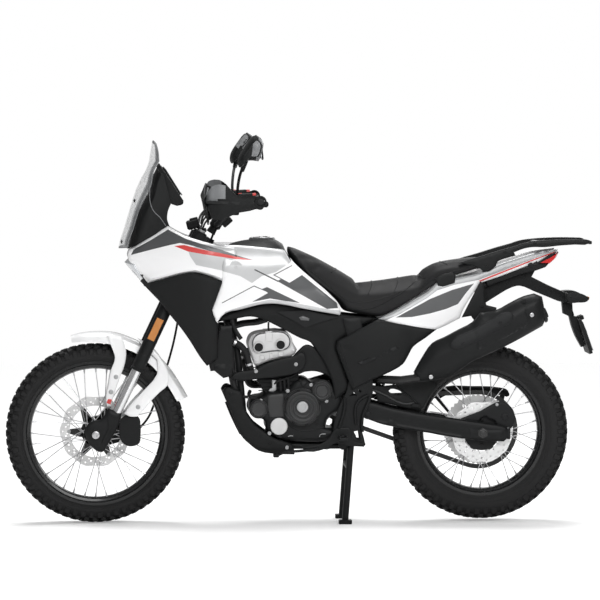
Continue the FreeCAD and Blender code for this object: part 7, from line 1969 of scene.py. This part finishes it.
for side in (-1, 1):
    flat, faces = fill(dense(smooth_line(PLATE_EDGE, (0, 1, 9, 10), 3), 4), 5, (),
                       [dense(h, 2.5) for h in PLATE_HOLES], (0.5,))
    edge = reach(flat, dense(smooth_line(PLATE_EDGE, (0, 1, 9, 10), 3), 4))
    sunk = {tuple(p): 0.0012 if e < 0.25 else 0.0 for p, e in zip(flat, edge)}
    place_of = spot if side < 0 else at
    kit.add(extruded(flat, faces, lambda x, y: place_of(x, y, side * (0.1238 - sunk[(x, y)])),
                     lambda x, y: place_of(x, y, side * (0.1122 + sunk[(x, y)]))))
    shares = (0.4, 1.0, 1.0, 1.0, 1.0)
    down = [at(x, y, side * 0.062 * k) for (x, y), k in zip([(212, 282), (236, 345), (243, 418), (262, 444.5),
                                                             (341, 444.5)], shares)]
    kit.add(tube(bent(down, 0.04), 0.0126, 18, 1))
    weld(kit, down[0] + (down[1] - down[0]) * 0.1, down[1] - down[0], 0.013)
    kit.add(tube([down[-1], at(341, 444.5, side * 0.112)], 0.0125, 18, 1))
    rail = [at(x, y, side * 0.072) for x, y in ((352, 322.5), (378, 319.8), (470, 290), (536, 262))]
    kit.add(tube(bent(rail, 0.036), 0.0101, 16, 1))
    for px, py in RAIL_ENDS:
        weld(kit, at(px, py, side * 0.061), ACROSS, 0.0103)
    kit.add(slab([(224, 292), (238, 304), (236, 330), (231, 326)], side * 0.03, side * 0.034, 0.0008, exact=False))
    kit.add(lathe([(-0.0195, 0.005), (-0.019, 0.0076), (0.0195, 0.0076), (0.02, 0.005)], at(350, 435, side * 0.104),
                  (0, side, 0), 20))
kit.make("frame_tubes_and_plates", "chassis", "main_frame", slot="frame_black", sharp=35)

kit = Kit(PLASTIC)
INNER_GUARD = [(362, 386), (380, 386), (400, 383.5), (415, 379), (430, 380), (437, 384), (431, 394), (425, 404),
               (421.5, 409), (410, 408.5), (396, 405.5), (384, 403), (378, 402), (376.8, 398.5), (376.3, 394.5),
               (373.5, 391.5), (368, 390.8), (363, 389.5)]
OPENING = [(388.8, 390.6), (400.3, 391.2), (401.5, 393), (398.5, 394.8), (394, 393.8)]
add_panel(kit, INNER_GUARD, PLASTIC, 0.079, 0.0735, crown=0.003, soft=2.4, gap=2.8, holes=(OPENING,))
# This rod is in the lighter grey: a painted highlight along it.
kit.add(tube([spot(x, y, -0.0815) for x, y in ((362, 390.5), (372, 390), (384, 394.5), (396, 401), (405, 403.8),
                                               (414, 403))], 0.0038, 10, 4), SHEEN_GREY)
kit.add(tube([spot(x, y, -0.081) for x, y in ((392, 383), (402, 391), (412, 398.5), (418, 404))], 0.003, 8, 4), SATIN)
kit.add(block(spot(416, 405.5, -0.083), (0.03, 0.01, 0.014), (1, 0, -0.1), bevel=0.3), SATIN)
kit.make("inner_rear_guard", "chassis")

# Radiators
kit = Kit(PLASTIC)
for side in (-1, 1):
    y0, y1 = side * 0.079, side * 0.1355
    kit.add(slab([(219.4, 323.6), (230.8, 323.6), (230.8, 330), (218.2, 330)], y0, y1, 0.002, exact=False), SATIN)
    kit.add(slab([(213.5, 361), (230.8, 361), (230.8, 371.5), (222, 375.5), (212.4, 367.8)], y0, y1, 0.002,
                 exact=False), SATIN)
    for k in range(26):
        py = 331 + k * 1.16
        left = 218.2 - (py - 330) * 0.155
        kit.add(slab([(left + 0.8, py), (230, py), (230, py + 0.32), (left + 0.8, py + 0.32)], y0 + side * 0.003,
                     y1 - side * 0.003, 0.0002, exact=False), CAST)
    for y in (y0 + side * 0.0015, y1 - side * 0.0015):
        kit.add(slab([(218.2, 329), (230.8, 329), (230.8, 362), (213.4, 362)], y - 0.0014, y + 0.0014, 0.0004,
                     exact=False), SATIN)
    kit.add(block(at(224, 345, side * 0.1072), (0.03, 0.046, 0.118), bevel=0.05), CAST)
kit.make("radiator_cores", "chassis", "radiator", slot="black_plastic", sharp=35)
kit = Kit(PLASTIC)
add_panel(kit, [(208, 361), (220, 360), (222, 370), (210.5, 371.2)], PLASTIC, 0.134, 0.108, crown=0.004, soft=2,
          gap=2.2, corners=(0, 1, 2, 3))
add_panel(kit, [(221, 368.5), (230.5, 367.5), (231, 376.2), (223, 378.2)], PLASTIC, 0.13, 0.106, crown=0.004, soft=2,
          gap=2.2, corners=(0, 1, 2, 3))
bolt(kit, spot(226.5, 369.2, -0.129), NEAR, 0.0045, 0.003, CAST)
kit.make("horn_and_bracket", "chassis")

# Brake calipers
CALIPER = [(121, 418.5), (126, 415), (133, 414.3), (139, 417.5), (140.5, 424), (140.6, 436), (139.5, 443), (134, 446),
           (127, 445.8), (121.5, 441.5), (119.6, 436), (119.4, 424)]
kit = Kit(CAST)
for y_far, y_near in ((0.052, 0.04), (0.079, 0.0615), (-0.0395, -0.05)):
    kit.add(pillow(CALIPER, y_far, y_near, crown=0.004, soft=3, gap=2.4, side=1))
kit.add(slab([(136.5, 419), (140.4, 421), (140.6, 439), (136.5, 441)], 0.048, 0.064, 0.001))
for py in (424, 436):
    c = spot(128.5, py, 0.0395)
    kit.add(lathe([(0, 0.0125), (0.003, 0.012), (0.004, 0.009), (0.003, 0.008), (0.003, 0.003)], c, NEAR, 28))
bolts(kit, ((137, 419), (137, 441)), 0.0395, 0.005, 0.004, CAST_SILVER_AND_HIGHLIGHT)
kit.add(slab([(105, 417), (121, 420), (123, 441), (106, 446), (100, 440), (101, 424)], 0.063, 0.074, 0.001, gap=6))
kit.make("front_caliper_body", "steering", "front_caliper", slot="frame_black", sharp=35)

REAR_CAL = [(484, 410), (490, 405.5), (497, 402), (503, 401.5), (509, 405), (514.3, 412.5), (514, 424), (508.5, 430),
            (502, 431), (497.5, 427), (494.5, 420.5), (488, 418)]
kit = Kit(CAST)
for y_out, y_in in ((0.084, 0.069), (0.056, 0.048)):
    add_panel(kit, REAR_CAL, CAST, y_out, y_in, crown=0.004, soft=2.4, gap=2.2)
kit.add(slab([(503.5, 403.5), (508, 405), (513.5, 413), (513.8, 421), (511, 422), (509.5, 415), (505.5, 409),
              (501, 406)], -0.07, -0.055, 0.001, gap=5))
c = spot(505, 417.5, -0.083)
kit.add(lathe([(0, 0.014), (0.003, 0.0135), (0.004, 0.01), (0.003, 0.009), (0.003, 0.003)], c, NEAR, 28))
bolts(kit, ((497, 404.5), (508, 429)), -0.0835, 0.0045, 0.004, CAST_SILVER_AND_HIGHLIGHT)
BRACKET = [(460, 420), (466, 416.5), (480, 411), (490, 406.5), (494, 409), (490, 414), (481, 418), (476, 424),
           (463, 422)]
add_panel(kit, BRACKET, CAST, 0.0838, 0.072, crown=0.003, soft=2, gap=2.4)
kit.make("rear_caliper_body", "chassis", "rear_caliper", slot="frame_black", sharp=35)

kit = Kit(STEEL)
kit.add(crossbar((REAR.x, 0, REAR.z), 0.114, 0.006, 0.1135, 0.0095, 28))
for side in (-1, 1):
    end = Vector((REAR.x, side * 0.1118, REAR.z))
    kit.add(lathe([(0, 0.0195), (0.002, 0.0195), (0.0025, 0.0155), (0.009, 0.015), (0.01, 0.0125), (0.01, 0.0085),
                   (0.0125, 0.008), (0.013, 0.006)], end, (0, side, 0), 6 if side < 0 else 24), DARK_STEEL)
kit.make("rear_axle_bolt", "chassis", "rear_axle", slot="steel", sharp=30)

# Footpegs and their brackets
kit = Kit(STEEL)
peg_at = at(340.5, 436.0)
for side in (-1, 1):
    base = peg_at + Vector((0, side * 0.1245, 0))
    kit.add(block(base + Vector((0, side * 0.046, 0.001)), (0.03, 0.074, 0.012), bevel=0.25), CAST)
    for k in range(5):
        for sx in (-1, 1):
            kit.add(block(base + Vector((sx * 0.012, side * (0.018 + k * 0.014), 0.0085)), (0.005, 0.008, 0.006),
                          bevel=0.3), CAST)
    kit.add(lathe([(0.0005, 0.011), (0.01, 0.011), (0.012, 0.008)], base, (0, side, 0), 20), CAST)
kit.make("footpeg_pair", "chassis", "rider_pegs", slot="steel", sharp=35)

kit = Kit(SATIN)
HANGER = [(300, 445), (306, 446.5), (320, 444), (329, 438), (335, 429), (343, 427.5), (350, 428.5), (351.5, 433),
          (352.5, 440), (362, 443), (365.8, 443.5), (364, 446.8), (345, 445.3), (338, 442.6), (325, 449),
          (308, 451.8), (303, 449)]
add_panel(kit, HANGER, SATIN, 0.129, 0.1245, crown=0.002, soft=2, gap=2.8, corners=(0, 10, 11))
bolts(kit, ((307, 448.8), (346.5, 436)), -0.1285, 0.0055, 0.003, CAST)
for line, r, y in (([(344.5, 398.5), (344.8, 405), (343, 415), (340, 424), (338.8, 428)], 0.006, 0.13),
                   ([(368, 395), (361, 399), (356.5, 404), (355, 412), (356, 424)], 0.0052, 0.13),
                   ([(370, 397), (367, 405), (363.5, 413), (362, 424), (362.5, 432)], 0.0052, 0.131)):
    kit.add(tube([spot(x, py, -y) for x, py in line], r, 10, 4))
PEDAL = [(318, 449), (300, 451), (284, 452.5), (276, 456)]
kit.add(tube([spot(x, y, -0.134) for x, y in PEDAL], 0.0052, 10, 4), CAST)
kit.add(block(spot(276, 455.5, -0.146), (0.02, 0.036, 0.012), bevel=0.3), CAST)
kit.mirrored()
kit.make("peg_brackets_and_levers", "chassis")

# Materials of the nodes that stay
FINISH = {
    "triple_clamps": CAST, "brake_hose": GRIP,
    "exhaust_pipe": BURNT, "centre_stand": SATIN, "front_sprocket": STEEL,
}
for name, finish in FINISH.items():
    for s in nodes[name].material_slots:
        s.material = finish
